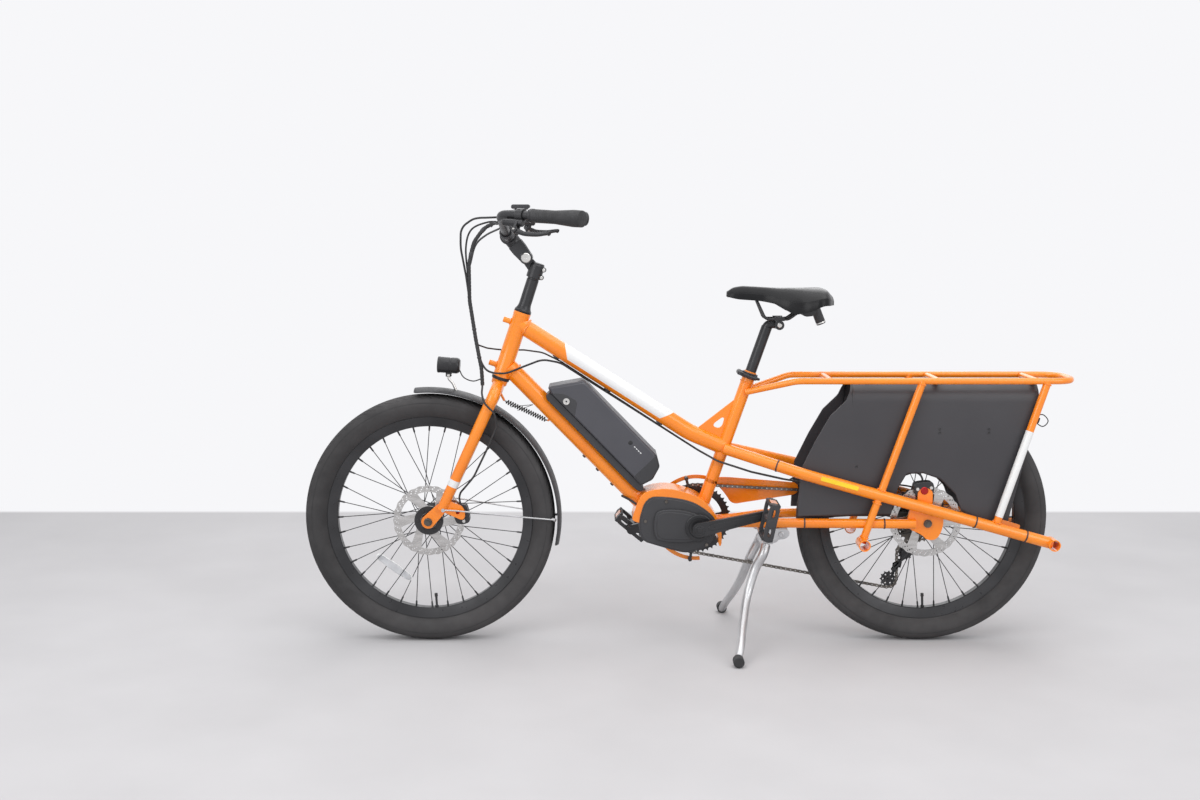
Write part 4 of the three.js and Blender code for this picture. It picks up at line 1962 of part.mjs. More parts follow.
// Cables. Their points are chosen by hand along the real route.
const bundleRadius = 4.5;
const hoseRadius = 2.6;
const wideBend = 50;
const closeBend = 22;
const bundleRoute = [
  V(-458, -62, 1062), V(-486, -62, 1050), V(-514, -58, 1014), V(-527, -52, 960), V(-527, -47, 872),
  V(-513, -42, 773), V(-500, -40, 700), V(-498, -40, 660),
];
const loopRoute = [
  V(-452, -68, 1074), V(-510, -68, 1072), V(-545, -62, 1050), V(-546, -58, 1000), V(-534, -52,
      930), V(-527, -47, 872),
];
const brakeHoseRoute = [
  V(-498, -40, 664), V(-498, -66, 640), V(-490, -80, 618), V(-466, -80, 596), V(-462, -62, 560),
  V(-488, -60, 500), V(-522, -50, 430), V(-561, -44, 383), V(-556.2, -44, 360.05),
];
const cableBundle = joined(
  tube(bundleRoute, bundleRadius, { bend: wideBend, count: thinTubeSides }),
  tube(loopRoute, hoseRadius, { bend: closeBend, count: thinTubeSides }),
  tube(brakeHoseRoute, hoseRadius, { bend: closeBend, count: thinTubeSides }));
addPart(bike, 'cable_bundle', cableBundle, rubberBlack);

const rearHoseRoute = [
  V(-490, -41, 704), V(-470, -38, 690), V(-440, -31, 688), V(-400, -28, 704), V(-350, -14, 722), V(-305, 0,
      712),
  V(-14, 0, 526), V(40, -6, 492), V(90, -25, 466), V(174, -34, 440), V(252, -44, 424),
  V(330, -50, 412), V(470, -50, 404), V(560, -52, 432), V(598.4, -54, 437), V(600.1, -54, 420.75),
];
const rearHose = tube(rearHoseRoute, hoseRadius, { bend: wideBend, count: thinTubeSides });
addPart(bike, 'rear_hose', rearHose, rubberBlack);

// The origin lies on the ground under the middle of the whole bike's length.
bike.position.x = -middleX;

export default bike;
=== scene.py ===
# %% [markdown]
# # A longtail cargo bike
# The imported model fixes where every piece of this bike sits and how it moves. This notebook dresses it:
# tubes, wheels, plates and covers are worked out again as finer surfaces in the same places. Lengths are
# in millimetres on the maker's own scale, whose zero lies 12 mm in front of the bike's middle.

# %% Load the frame
import math

import bmesh
import bpy
import numpy as np
from mathutils.geometry import tessellate_polygon
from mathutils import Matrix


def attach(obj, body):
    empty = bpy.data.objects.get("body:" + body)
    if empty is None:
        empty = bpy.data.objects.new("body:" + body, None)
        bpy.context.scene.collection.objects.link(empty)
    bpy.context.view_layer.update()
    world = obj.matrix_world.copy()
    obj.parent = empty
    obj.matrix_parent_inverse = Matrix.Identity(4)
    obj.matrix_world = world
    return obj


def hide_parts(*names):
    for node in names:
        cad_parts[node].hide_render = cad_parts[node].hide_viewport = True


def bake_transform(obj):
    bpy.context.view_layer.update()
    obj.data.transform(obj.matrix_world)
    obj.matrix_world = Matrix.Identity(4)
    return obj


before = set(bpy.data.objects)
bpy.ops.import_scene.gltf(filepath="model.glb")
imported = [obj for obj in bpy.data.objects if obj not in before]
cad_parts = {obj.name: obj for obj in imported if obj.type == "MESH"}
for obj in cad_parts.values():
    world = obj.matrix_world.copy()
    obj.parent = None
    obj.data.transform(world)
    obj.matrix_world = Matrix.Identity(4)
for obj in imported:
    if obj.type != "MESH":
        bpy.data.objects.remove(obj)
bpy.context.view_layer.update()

scene = bpy.context.scene

# %% [markdown]
# ## Camera, floor and light
# The photograph looks square at the bike from a little above the saddle, so the camera looks along Y and
# tilts down by under eight degrees. It could be placed by eye, but its distance and lens were solved from
# the wheels and the tube ends, which is why the numbers are uneven.

# %% Camera
CAMERA_PLACE = (-0.218, -3.387, 1.0713)
CAMERA_TILT = 7.628
camera_data = bpy.data.cameras.new("camera")
camera_data.lens = 40.69
camera_data.sensor_width = 36
camera = bpy.data.objects.new("camera", camera_data)
camera.location = CAMERA_PLACE
camera.rotation_euler = (math.radians(90 - CAMERA_TILT), 0, 0)
scene.collection.objects.link(camera)
scene.camera = camera
scene.view_settings.view_transform = "Standard"

# %% [markdown]
# The light is a plain photo studio: a wide soft lamp above, one on each side in front, one behind and a
# pale world. Small hard lamps would show the metal's edges more, but burn white spots into the paint.

# %% Lamps and world
LAMPS = (
    ("overhead_lamp", (0.0, -0.4, 3.6), (0, 0, 0), 4.2, 88),
    ("left_lamp", (-3.0, -3.4, 2.6), (58, 0, -41), 2.6, 60),
    ("right_lamp", (3.0, -3.2, 2.4), (60, 0, 43), 2.6, 46),
    ("rear_lamp", (0.4, 3.6, 2.8), (-55, 0, 0), 3.0, 34),
)
for name, place, turn, size, watts in LAMPS:
    lamp_data = bpy.data.lights.new(name, "AREA")
    lamp_data.energy = watts
    lamp_data.size = size
    lamp = bpy.data.objects.new(name, lamp_data)
    lamp.location = place
    lamp.rotation_euler = [math.radians(angle) for angle in turn]
    scene.collection.objects.link(lamp)
WORLD_LEVEL = 0.62
world = bpy.data.worlds.new("studio")
scene.world = world
world.use_nodes = True


def add_node(tree, kind, links=(), **values):
    """Adds one shader node, sets its properties or named inputs, and links or sets the inputs listed."""
    node = tree.nodes.new("ShaderNode" + kind)
    for key, value in values.items():
        if hasattr(node, key):
            setattr(node, key, value)
        else:
            node.inputs[key.replace("_", " ")].default_value = value
    for socket, source in links:
        if isinstance(source, bpy.types.NodeSocket):
            tree.links.new(source, node.inputs[socket])
        else:
            node.inputs[socket].default_value = source
    return node


def camera_sees(tree):
    """One where the camera or a mirror-like surface looks at the backdrop, otherwise zero."""
    path = add_node(tree, "LightPath")
    seen = path.outputs["Is Camera Ray"]
    for name in ("Is Glossy Ray", "Is Transmission Ray"):
        links = [(0, seen), (1, path.outputs[name])]
        seen = add_node(tree, "Math", links, operation="MAXIMUM").outputs[0]
    return seen


WALL_COLOUR = (0.93, 0.93, 0.95, 1)
world_tree = world.node_tree
world_tree.nodes.clear()
fill = add_node(world_tree, "Background", Color=(0.97, 0.98, 1, 1), Strength=WORLD_LEVEL)
backdrop = add_node(world_tree, "Background", Color=WALL_COLOUR, Strength=1.0)
both = add_node(world_tree, "MixShader", [(0, camera_sees(world_tree)),
    (1, fill.outputs[0]), (2, backdrop.outputs[0])])
add_node(world_tree, "OutputWorld", [(0, both.outputs[0])])
print("lamps:", len(LAMPS))

# %% [markdown]
# The floor is pale grey under the bike and turns white where the studio's wall stands in the photograph.
# A real wall would hide the bike from behind, so the floor's own colour changes instead, at the edge of a
# rectangle round the bike.

# %% Floor
FLOOR_HALF = 14.0
FLOOR_EDGE = (4.2, 1.5)
FLOOR_HEIGHT = -0.0006
floor_mesh = bpy.data.meshes.new("floor")
floor_corners = [(x * FLOOR_HALF, y * FLOOR_HALF, FLOOR_HEIGHT)
    for x, y in ((-1, -1), (1, -1), (1, 1), (-1, 1))]
floor_mesh.from_pydata(floor_corners, [], [(0, 1, 2, 3)])
floor = bpy.data.objects.new("floor", floor_mesh)
scene.collection.objects.link(floor)
floor_material = bpy.data.materials.new("studio_floor")
floor_material.use_nodes = True
tree = floor_material.node_tree
tree.nodes.clear()
where = add_node(tree, "TexCoord").outputs["Object"]
parts = add_node(tree, "SeparateXYZ", [(0, where)])
reach = []
for axis, edge in enumerate(FLOOR_EDGE):
    size = add_node(tree, "Math", [(0, parts.outputs[axis])], operation="ABSOLUTE")
    reach.append(add_node(tree, "Math", [(0, size.outputs[0]), (1, edge)], operation="DIVIDE").outputs[0])
farthest = add_node(tree, "Math", [(0, reach[0]), (1, reach[1])], operation="MAXIMUM")
beyond = add_node(tree, "MapRange", [(0, farthest.outputs[0])], clamp=True, From_Min=0.995, From_Max=1.02)
speckle = add_node(tree, "TexNoise", [(0, where)], Scale=3.0, Detail=6.0)
tone = add_node(tree, "MixRGB", [(0, speckle.outputs[0])], Color1=(0.52, 0.51, 0.52, 1),
    Color2=(0.61, 0.60, 0.61, 1))
matt = add_node(tree, "BsdfDiffuse", [(0, tone.outputs[0])])
wall = add_node(tree, "Emission", Color=WALL_COLOUR, Strength=1.0)
plain = add_node(tree, "BsdfDiffuse", Color=(0.8, 0.8, 0.82, 1))
seen_wall = add_node(tree, "MixShader", [(0, camera_sees(tree)), (1, plain.outputs[0]),
    (2, wall.outputs[0])])
ground = add_node(tree, "MixShader", [(0, beyond.outputs[0]), (1, matt.outputs[0]),
    (2, seen_wall.outputs[0])])
add_node(tree, "OutputMaterial", [(0, ground.outputs[0])])
floor_mesh.materials.append(floor_material)

# %% [markdown]
# ## Finishes
# Every finish starts from one recipe: a colour and a roughness that drift a little, and a bump at the
# scale of the real surface, such as orange peel in paint or grain in moulded plastic. Image textures
# would be quicker, but these patterns fit any piece and never show a seam.

# %% The recipe for a finish
def bumped(tree, coordinates, layers):
    """Stacks bump layers: each is a height of noise or of cells, with its own scale, strength and depth."""
    normal = None
    for kind, scale, strength, distance in layers:
        if kind == "noise":
            height = add_node(tree, "TexNoise", [(0, coordinates)], Scale=scale, Detail=4.0)
        else:
            height = add_node(tree, "TexVoronoi", [(0, coordinates)], Scale=scale)
        links = [("Height", height.outputs[0])]
        if normal is not None:
            links.append(("Normal", normal))
        layer = add_node(tree, "Bump", links, Strength=strength, Distance=distance)
        normal = layer.outputs[0]
    return normal


finishes = {}


def finish(name, colour, other, rough, metal=0.0, drift=6.0, layers=(), stretch=None, **shader):
    """Adds a material: colour mixes to other and roughness runs over a range, both by drifting noise."""
    material = bpy.data.materials.new(name)
    material.use_nodes = True
    tree = material.node_tree
    tree.nodes.clear()
    coordinates = add_node(tree, "TexCoord").outputs["Object"]
    if stretch:
        coordinates = add_node(tree, "Mapping", [(0, coordinates)], Scale=stretch).outputs[0]
    noise = add_node(tree, "TexNoise", [(0, coordinates)], Scale=drift, Detail=8.0)
    spread = add_node(tree, "MapRange", [(0, noise.outputs[0])], From_Min=0.35, From_Max=0.65)
    tint = add_node(tree, "MixRGB", [(0, spread.outputs[0])], Color1=(*colour, 1), Color2=(*other, 1))
    fine = add_node(tree, "TexNoise", [(0, coordinates)], Scale=drift * 7, Detail=5.0)
    gloss = add_node(tree, "MapRange", [(0, fine.outputs[0])], From_Min=0.3, From_Max=0.7,
        To_Min=rough[0], To_Max=rough[1])
    links = [("Base Color", tint.outputs[0]), ("Roughness", gloss.outputs[0])]
    if layers:
        links.append(("Normal", bumped(tree, coordinates, layers)))
    surface = add_node(tree, "BsdfPrincipled", links, Metallic=metal, **shader)
    add_node(tree, "OutputMaterial", [(0, surface.outputs[0])])
    finishes[name] = material


# %% Paints, metals, plastics and rubber
ORANGE = (1.0, 0.285, 0.008)
PEEL = (("noise", 900, 0.018, 0.0002), ("noise", 120, 0.014, 0.0004))
GRAIN = (("noise", 2600, 0.22, 0.0002), ("noise", 300, 0.05, 0.0004))
finish("orange_paint", ORANGE, (0.94, 0.235, 0.006), (0.2, 0.32), layers=PEEL,
    Coat_Weight=0.4, Coat_Roughness=0.1)
finish("white_paint", (0.86, 0.86, 0.85), (0.8, 0.8, 0.8), (0.25, 0.36), layers=PEEL)
finish("black_paint", (0.020, 0.020, 0.022), (0.032, 0.032, 0.034), (0.3, 0.45), layers=PEEL)
finish("black_alloy", (0.024, 0.024, 0.026), (0.042, 0.042, 0.045), (0.26, 0.4),
    metal=0.35, drift=9, layers=PEEL)
finish("black_plastic", (0.028, 0.028, 0.031), (0.042, 0.042, 0.046), (0.42, 0.58), layers=GRAIN)
finish("panel_plastic", (0.040, 0.038, 0.043), (0.052, 0.050, 0.055), (0.4, 0.5),
    drift=3, layers=(("noise", 1500, 0.12, 0.0002),))
finish("grey_plastic", (0.054, 0.054, 0.064), (0.068, 0.068, 0.079), (0.4, 0.52), layers=GRAIN)
finish("rubber", (0.018, 0.018, 0.019), (0.034, 0.034, 0.036), (0.55, 0.75), drift=12,
    layers=(("noise", 1400, 0.3, 0.0003),))
finish("tyre_rubber", (0.025, 0.024, 0.025), (0.054, 0.051, 0.052), (0.62, 0.82),
    drift=5, layers=(("noise", 1800, 0.35, 0.0003), ("noise", 60, 0.08, 0.002)))
finish("silver_metal", (0.62, 0.62, 0.63), (0.48, 0.48, 0.49), (0.3, 0.46), metal=0.8,
    drift=14, layers=(("noise", 900, 0.1, 0.0003),))
finish("steel", (0.60, 0.59, 0.58), (0.45, 0.44, 0.43), (0.2, 0.36), metal=1.0, drift=20,
    stretch=(1, 1, 6), layers=(("noise", 700, 0.08, 0.0002),))
finish("dark_steel", (0.22, 0.20, 0.18), (0.10, 0.09, 0.08), (0.3, 0.5), metal=0.95,
    drift=30, layers=(("noise", 600, 0.15, 0.0003),))
finish("bright_steel", (0.75, 0.74, 0.72), (0.6, 0.59, 0.57), (0.15, 0.28), metal=1.0, drift=25)
finish("saddle_cover", (0.006, 0.006, 0.007), (0.010, 0.010, 0.011), (0.24, 0.36),
    layers=(("voronoi", 520, 0.14, 0.0004), ("noise", 90, 0.05, 0.001)), Specular_IOR_Level=0.2)
finish("red_lens", (0.55, 0.010, 0.012), (0.42, 0.006, 0.008), (0.08, 0.16),
    layers=(("voronoi", 420, 0.5, 0.0008),), Coat_Weight=0.6)
finish("amber_lens", (0.78, 0.22, 0.008), (0.62, 0.14, 0.006), (0.1, 0.2),
    layers=(("voronoi", 380, 0.6, 0.0008),), Coat_Weight=0.6)
finish("yellow_tape", (0.88, 0.62, 0.01), (0.80, 0.52, 0.01), (0.25, 0.4),
    layers=(("voronoi", 700, 0.2, 0.0003),))
finish("clear_lens", (0.5, 0.51, 0.53), (0.7, 0.71, 0.73), (0.05, 0.12), metal=0.3,
    drift=40, Coat_Weight=0.8)
finish("copper_red", (0.5, 0.02, 0.02), (0.35, 0.015, 0.015), (0.2, 0.35), metal=0.6)
finish("screen_glass", (0.010, 0.011, 0.012), (0.016, 0.018, 0.020), (0.06, 0.12), Coat_Weight=1.0)
print("finishes:", ", ".join(finishes))

# %% [markdown]
# ## Shapes from numpy
# Nearly everything on a bike is a tube, a turned piece or a cut plate, so three functions make most of
# it. Each returns points and faces, and `piece` puts them into a mesh. Blender's own primitives would do
# for a few of these, but not for a bent fork blade.

# %% Paths and tubes
def unit(vector):
    """A vector divided by its own length."""
    vector = np.asarray(vector, float)
    return vector / np.linalg.norm(vector)


def heading(degrees):
    """The direction at an angle in the side view: (cos a, 0, sin a)."""
    angle = math.radians(degrees)
    return np.array([math.cos(angle), 0, math.sin(angle)])


def quarter_turn(run):
    """The direction square to a run in the side view: (x, 0, z) becomes (-z, 0, x)."""
    return np.array([-run[2], 0, run[0]])


def rounded(corners, bend, steps=10):
    """Straight runs whose corners become curves: each corner is the middle handle of a bent arc.

    A place on the arc is (1-t)^2 times its start, plus 2t(1-t) times the corner, plus t^2 times its end.
    """
    corners = np.asarray(corners, float)
    path = [corners[:1]]
    t = np.linspace(0, 1, steps + 1)[:, None]
    for before, corner, after in zip(corners, corners[1:], corners[2:]):
        back, ahead = before - corner, after - corner
        back_length, ahead_length = np.linalg.norm(back), np.linalg.norm(ahead)
        turn = math.pi - math.acos(np.clip(back @ ahead / back_length / ahead_length, -1, 1))
        reach = min(bend * math.tan(turn / 2), back_length / 2.05, ahead_length / 2.05)
        start = corner + back / back_length * reach
        end = corner + ahead / ahead_length * reach
        path.append((1 - t) ** 2 * start + 2 * t * (1 - t) * corner + t ** 2 * end)
    path.append(corners[-1:])
    path = np.concatenate(path)
    keep = np.r_[True, np.linalg.norm(np.diff(path, axis=0), axis=1) > 1e-4]
    return path[keep]


def travelled(path):
    """The distance walked along a path up to each of its points: the sum of the steps before it."""
    return np.r_[0, np.cumsum(np.linalg.norm(np.diff(path, axis=0), axis=1))]


def smooth_path(points, count):
    """A curve through all points: between two of them a cubic whose slopes come from the neighbours."""
    points = np.asarray(points, float)
    slopes = np.gradient(points, axis=0)
    place = np.linspace(0, len(points) - 1, count)
    low = np.minimum(place.astype(int), len(points) - 2)
    t = (place - low)[:, None]
    return ((1 + 2 * t) * (1 - t) ** 2 * points[low] + t * (1 - t) ** 2 * slopes[low]
        + t ** 2 * (3 - 2 * t) * points[low + 1] + t ** 2 * (t - 1) * slopes[low + 1])


def grid_faces(rows, columns, wrap_rows=False, wrap_columns=True):
    """Four-sided faces of a grid of points, which may close on itself either way."""
    row = np.arange(rows if wrap_rows else rows - 1)[:, None]
    column = np.arange(columns if wrap_columns else columns - 1)[None, :]
    next_row, next_column = (row + 1) % rows, (column + 1) % columns
    corners = [row * columns + column, row * columns + next_column,
        next_row * columns + next_column, next_row * columns + column]
    return np.stack(corners, -1).reshape(-1, 4).tolist()


def path_frames(path, closed=False):
    """The direction along a path and two directions square to it, at every point."""
    if closed:
        along = np.roll(path, -1, 0) - np.roll(path, 1, 0)
    else:
        along = np.gradient(path, axis=0)
    along /= np.linalg.norm(along, axis=1)[:, None]
    upright = np.eye(3)[np.argmin(np.abs(along).max(0))]
    side = upright - (along @ upright)[:, None] * along
    side /= np.linalg.norm(side, axis=1)[:, None]
    return along, side, np.cross(along, side)


def tube(path, radius, sides=24, closed=False, flat=1.0):
    """A circle carried along a path: centre + side cos(a) r + across sin(a) r, capped at both ends."""
    path = np.asarray(path, float)
    _, side, across = path_frames(path, closed)
    radius = np.broadcast_to(np.asarray(radius, float), (len(path),))[:, None, None]
    angle = np.linspace(0, 2 * math.pi, sides, endpoint=False)
    points = (path[:, None] + side[:, None] * np.cos(angle)[None, :, None] * radius
        + across[:, None] * np.sin(angle)[None, :, None] * radius * flat).reshape(-1, 3)
    faces = grid_faces(len(path), sides, wrap_rows=closed)
    if not closed:
        last = (len(path) - 1) * sides
        faces += [list(range(sides))[::-1], list(range(last, last + sides))]
    return points, faces


def rod(start, end, radius, sides=24):
    """A straight bar between two places; radius may be a pair for a taper."""
    return tube([start, end], radius, sides)


def pin(centre, reach, radius, sides=24):
    """A bar across the bike, from reach mm on one side of its centre to reach mm on the other."""
    across = np.array([0, reach, 0])
    return rod(centre - across, centre + across, radius, sides)


# %% Turned pieces and plates
def square_to(axis):
    """Two directions square to an axis and to each other."""
    axis = unit(axis)
    first = unit(np.cross(axis, np.eye(3)[np.argmin(np.abs(axis))]))
    return first, np.cross(axis, first)


def lathe(profile, origin, axis=(0, 1, 0), sides=48):
    """A profile of (radius, height) pairs turned about an axis: origin + axis h + r (u cos a + v sin a)."""
    profile = np.asarray(profile, float)
    closed = np.allclose(profile[0], profile[-1])
    if closed:
        profile = profile[:-1]
    u, v = square_to(axis)
    angle = np.linspace(0, 2 * math.pi, sides, endpoint=False)
    spoke = np.cos(angle)[:, None] * u + np.sin(angle)[:, None] * v
    points = (np.asarray(origin, float) + profile[:, None, :1] * spoke[None]
        + profile[:, None, 1:] * unit(axis)).reshape(-1, 3)
    return points, grid_faces(len(profile), sides, wrap_rows=closed)


def ring(outer, inner, low, high, origin, axis=(0, 1, 0), sides=48):
    """A turned ring with a round opening."""
    corners = [(inner, low), (outer, low), (outer, high), (inner, high), (inner, low)]
    return lathe(corners, origin, axis, sides)


def both_ways(half):
    """A profile's upper half with its mirror image below: every (radius, height) also at minus height."""
    return [(radius, -height) for radius, height in half[::-1]] + half


def arc(centre, radius, start, end, count):
    """Points on a circle in the plate's plane, with angles in degrees."""
    angle = np.radians(np.linspace(start, end, count))
    return np.stack([centre[0] + radius * np.cos(angle), centre[1] + radius * np.sin(angle)], -1)


def circle(centre, radius, count=24):
    """Points at equal angles round a full turn: centre plus radius times cosine and sine."""
    return arc(centre, radius, 0, 360, count + 1)[:-1]


def plate(outline, low, high, holes=(), origin=(0, 0, 0), u=(1, 0, 0), v=None):
    """An outline in the u and v directions, given a thickness from low to high along v x u.

    Without a v it is u's quarter turn in the side view, and v x u then points to +Y.
    """
    u = unit(u)
    v = quarter_turn(u) if v is None else unit(v)
    through = np.cross(v, u)
    loops = [np.asarray(loop, float) for loop in (outline, *holes)]
    flat_points = np.concatenate(loops)
    base = np.asarray(origin, float) + flat_points[:, :1] * u + flat_points[:, 1:] * v
    points = np.concatenate([base + through * low, base + through * high])
    count = len(base)
    if holes:
        cap = [list(face) for face in tessellate_polygon([[(x, y, 0) for x, y in loop] for loop in loops])]
    else:
        cap = [list(range(count))]
    faces = [face[::-1] for face in cap] + [[i + count for i in face] for face in cap]
    first = 0
    for loop in loops:
        index = first + np.arange(len(loop))
        after = first + (np.arange(len(loop)) + 1) % len(loop)
        faces += np.stack([index, after, after + count, index + count], -1).tolist()
        first += len(loop)
    return points, faces


def oblong(x0, z0, x1, z1):
    """The four corners of a rectangle, given by its lowest and its highest values."""
    return np.array([(x0, z0), (x1, z0), (x1, z1), (x0, z1)])


def block(low, high):
    """A box between two corners, as a plate with four corners."""
    (x0, y0, z0), (x1, y1, z1) = low, high
    return plate(oblong(x0, z0, x1, z1), y0, y1)


def span(side, near, far):
    """Both distances from the middle on one side of the bike, the lower y first."""
    return sorted((side * near, side * far))


def softened(outline, steps=2, reach=9.0):
    """Rounds an outline: each pass cuts every corner at a quarter of its sides, or at a reach if less."""
    outline = np.asarray(outline, float)
    for _ in range(steps):
        after = np.roll(outline, -1, 0)
        length = np.linalg.norm(after - outline, axis=1)[:, None]
        cut = np.minimum(0.25, reach / np.maximum(length, 1e-6))
        outline = np.stack([outline + (after - outline) * cut, after + (outline - after) * cut],
            1).reshape(-1, 2)
        reach *= 0.42
    return outline


# %% Putting shapes into a piece
MIDDLE = np.array([12.0, 0.0, 0.0])
SLOTS = {"black_alloy": "black_paint", "banded_paint": "orange_paint", "panel_plastic": "black_plastic"}
pieces = {}


def metres(points):
    """Drawn millimetres less the middle of the object, divided by 1000."""
    return (np.asarray(points, float) - MIDDLE) * 0.001


def piece(name, shapes, material, body, node=None, slot=None, bevel=0.0, sharp=34, thick=0.0, bend=None):
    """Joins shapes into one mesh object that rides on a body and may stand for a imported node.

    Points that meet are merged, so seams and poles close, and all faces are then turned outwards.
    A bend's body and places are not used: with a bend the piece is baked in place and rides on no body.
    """
    points, faces, first = [], [], 0
    for shape_points, shape_faces in shapes:
        points.append(shape_points)
        faces += [[i + first for i in face] for face in shape_faces]
        first += len(shape_points)
    mesh = bpy.data.meshes.new(name)
    mesh.from_pydata(metres(np.concatenate(points)).tolist(), [], faces)
    form = bmesh.new()
    form.from_mesh(mesh)
    bmesh.ops.remove_doubles(form, verts=form.verts, dist=2e-6)
    bmesh.ops.dissolve_degenerate(form, edges=form.edges, dist=1e-6)
    bmesh.ops.recalc_face_normals(form, faces=form.faces)
    form.to_mesh(mesh)
    form.free()
    mesh.shade_smooth()
    mesh.set_sharp_from_angle(angle=math.radians(sharp))
    thing = bpy.data.objects.new(name, mesh)
    scene.collection.objects.link(thing)
    mesh.materials.append(finishes[material])
    if thick:
        wall = thing.modifiers.new("wall", "SOLIDIFY")
        wall.thickness = thick * 0.001
        wall.offset = 0
    if bevel:
        edge = thing.modifiers.new("edge", "BEVEL")
        edge.width = bevel * 0.001
        edge.segments = 2
        edge.limit_method = "ANGLE"
        edge.angle_limit = math.radians(sharp)
    if bend:
        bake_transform(thing)
    else:
        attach(thing, body)
    if node:
        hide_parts(node)
        slot = slot or SLOTS.get(material, material)
    pieces[name] = thing
    return thing


print("helpers are ready")

# %% [markdown]
# ## Frame
# The frame is welded from round tubes. Each is a circle carried along its path, and the tubes run into
# each other as in the real weld. A boolean join would give one clean skin, but the seams are wanted here,
# because a thin bead of weld is laid round them.

# %% Places on the frame
HEAD_TOP, HEAD_LOW = np.array([-399.3, 0, 839.5]), np.array([-456.7, 0, 671])
STEER_UP = unit(HEAD_TOP - HEAD_LOW)
STEER_FORWARD = quarter_turn(STEER_UP)
DOWN_TOP, DOWN_LOW = np.array([-437.0, 0, 704]), np.array([-91.0, 0, 348])
DOWN_RUN = unit(DOWN_LOW - DOWN_TOP)
DOWN_OUT = quarter_turn(DOWN_RUN)
SEAT_TOP, SEAT_LOW = np.array([172.5, 0, 690]), np.array([55.0, 0, 350])
SEAT_UP = unit(SEAT_TOP - SEAT_LOW)
SEAT_FORWARD = quarter_turn(SEAT_UP)
TOP_TUBE = rounded([(-409, 0, 811), (20, 0, 536), (108, 0, 498)], 220, 24)
CRANK = np.array([42.0, 0, 303])
SIDES = (("left", -1), ("right", 1))


def bead(centre, axis, radius, lean=0.0, size=2.6):
    """A weld bead: a small ring round a joint with a ripple, so its radius is r + 0.35 sin(60 a)."""
    u, v = square_to(axis)
    angle = np.linspace(0, 2 * math.pi, 180, endpoint=False)
    ripple = radius + 0.35 * np.sin(angle * 60)
    path = (np.asarray(centre, float) + (np.cos(angle) * ripple)[:, None] * u
        + (np.sin(angle) * ripple)[:, None] * v + (np.cos(angle) * lean)[:, None] * unit(axis))
    return tube(path, size, 8, closed=True)


# %% Head tube and bearings
head_length = np.linalg.norm(HEAD_TOP - HEAD_LOW)
head_shapes = [lathe([(17.5, 0), (21.8, 0), (21.8, 9), (21, 11), (21, head_length - 11),
    (21.8, head_length - 9), (21.8, head_length), (17.5, head_length), (17.5, 0)], HEAD_LOW, STEER_UP, 64)]
for drop in (32, 146):
    root = HEAD_TOP - STEER_UP * drop + STEER_FORWARD * 19
    boss = lathe([(0, 0), (7.6, 0), (7, 4), (7, 20.4), (6.4, 21), (2.6, 21), (2.6, 10), (0, 10)], root,
        STEER_FORWARD, 32)
    head_shapes += [boss, bead(root + STEER_FORWARD * 2.4, STEER_FORWARD, 7.2, size=1.6)]
piece("head_tube_shell", head_shapes, "orange_paint", "frame", "head_tube")
cups = [ring(22.4, 15, head_length - 0.4, head_length + 0.1, HEAD_LOW, STEER_UP, 64),
    lathe([(15, -0.3), (22.4, -0.3), (22.8, 3), (22.8, 7), (22, 7.4), (22, 0), (15, -0.3)], HEAD_LOW,
    STEER_UP, 64)]
piece("lower_bearing_cup", cups, "black_alloy", "frame")

# %% [markdown]
# The white stretch on the top tube is painted, with slanted ends. It could be a second mesh, but paint
# has no edge to speak of, so the band lives in the tube's material as a test of where each point lies.

# %% White band in the paint
def banded_paint():
    """Orange paint that turns white between two slanted planes and above a third one."""
    material = finishes["orange_paint"].copy()
    material.name = "banded_paint"
    tree = material.node_tree
    surface = next(node for node in tree.nodes if node.type == "BSDF_PRINCIPLED")
    orange = surface.inputs["Base Color"].links[0].from_socket
    where = next(node for node in tree.nodes if node.type == "TEX_COORD").outputs["Object"]
    along_tube = unit([429, 0, -275])
    above_tube = quarter_turn(along_tube)
    origin = metres([(-409, 0, 811)])[0]
    tests = []
    planes = ((along_tube + above_tube * 0.9, 0.142), (-along_tube + above_tube * 0.74, -0.432),
        (above_tube, -0.0095))
    for direction, limit in planes:
        offset = float(direction @ origin) + limit
        depth = add_node(tree, "VectorMath", [(0, where), (1, direction.tolist())], operation="DOT_PRODUCT")
        step = add_node(tree, "Math", [(0, depth.outputs["Value"]), (1, offset)], operation="GREATER_THAN")
        tests.append(step.outputs[0])
    product = tests[0]
    for test in tests[1:]:
        product = add_node(tree, "Math", [(0, product), (1, test)], operation="MULTIPLY").outputs[0]
    paint = add_node(tree, "MixRGB", [(0, product), (1, orange), (2, (0.80, 0.80, 0.80, 1))])
    tree.links.new(paint.outputs[0], surface.inputs["Base Color"])
    return material


finishes["banded_paint"] = banded_paint()

# %% Top, down and seat tubes
piece("top_tube_pipe", [tube(TOP_TUBE, 21, 48)], "banded_paint", "frame", "top_tube")
down_end = DOWN_LOW + DOWN_RUN * 22
spring_rear = np.array([-347.0, 0, 569])
spring_front = np.array([-438.0, 0, 612])
spring_run = unit(spring_rear - spring_front)
spring_tab = spring_rear + spring_run * 10
BRACKET = [(-.078, .548), (-.055, .69), (.016, .97), (.11, 1.096), (.4, 1.144), (.78, .986), (.96, .72),
    (1.05, .42), (1.054, .123), (1.01, .123), (1.01, .38), (.7, .45), (.2, .5)]
MOTOR = [(.1, .985), (0, .52), (.045, .22), (.224, .144), (.453, .048), (.627, 0), (.8, .068),
    (.935, .205), (1, .425), (.97, .616), (.84, .78), (.66, .925), (.33, 1)]
MOTOR_PANEL = [(.2, .3), (.2, .68), (.28, .78), (.55, .78), (.78, .68), (.88, .5), (.84, .3), (.66, .2),
    (.3, .22)]


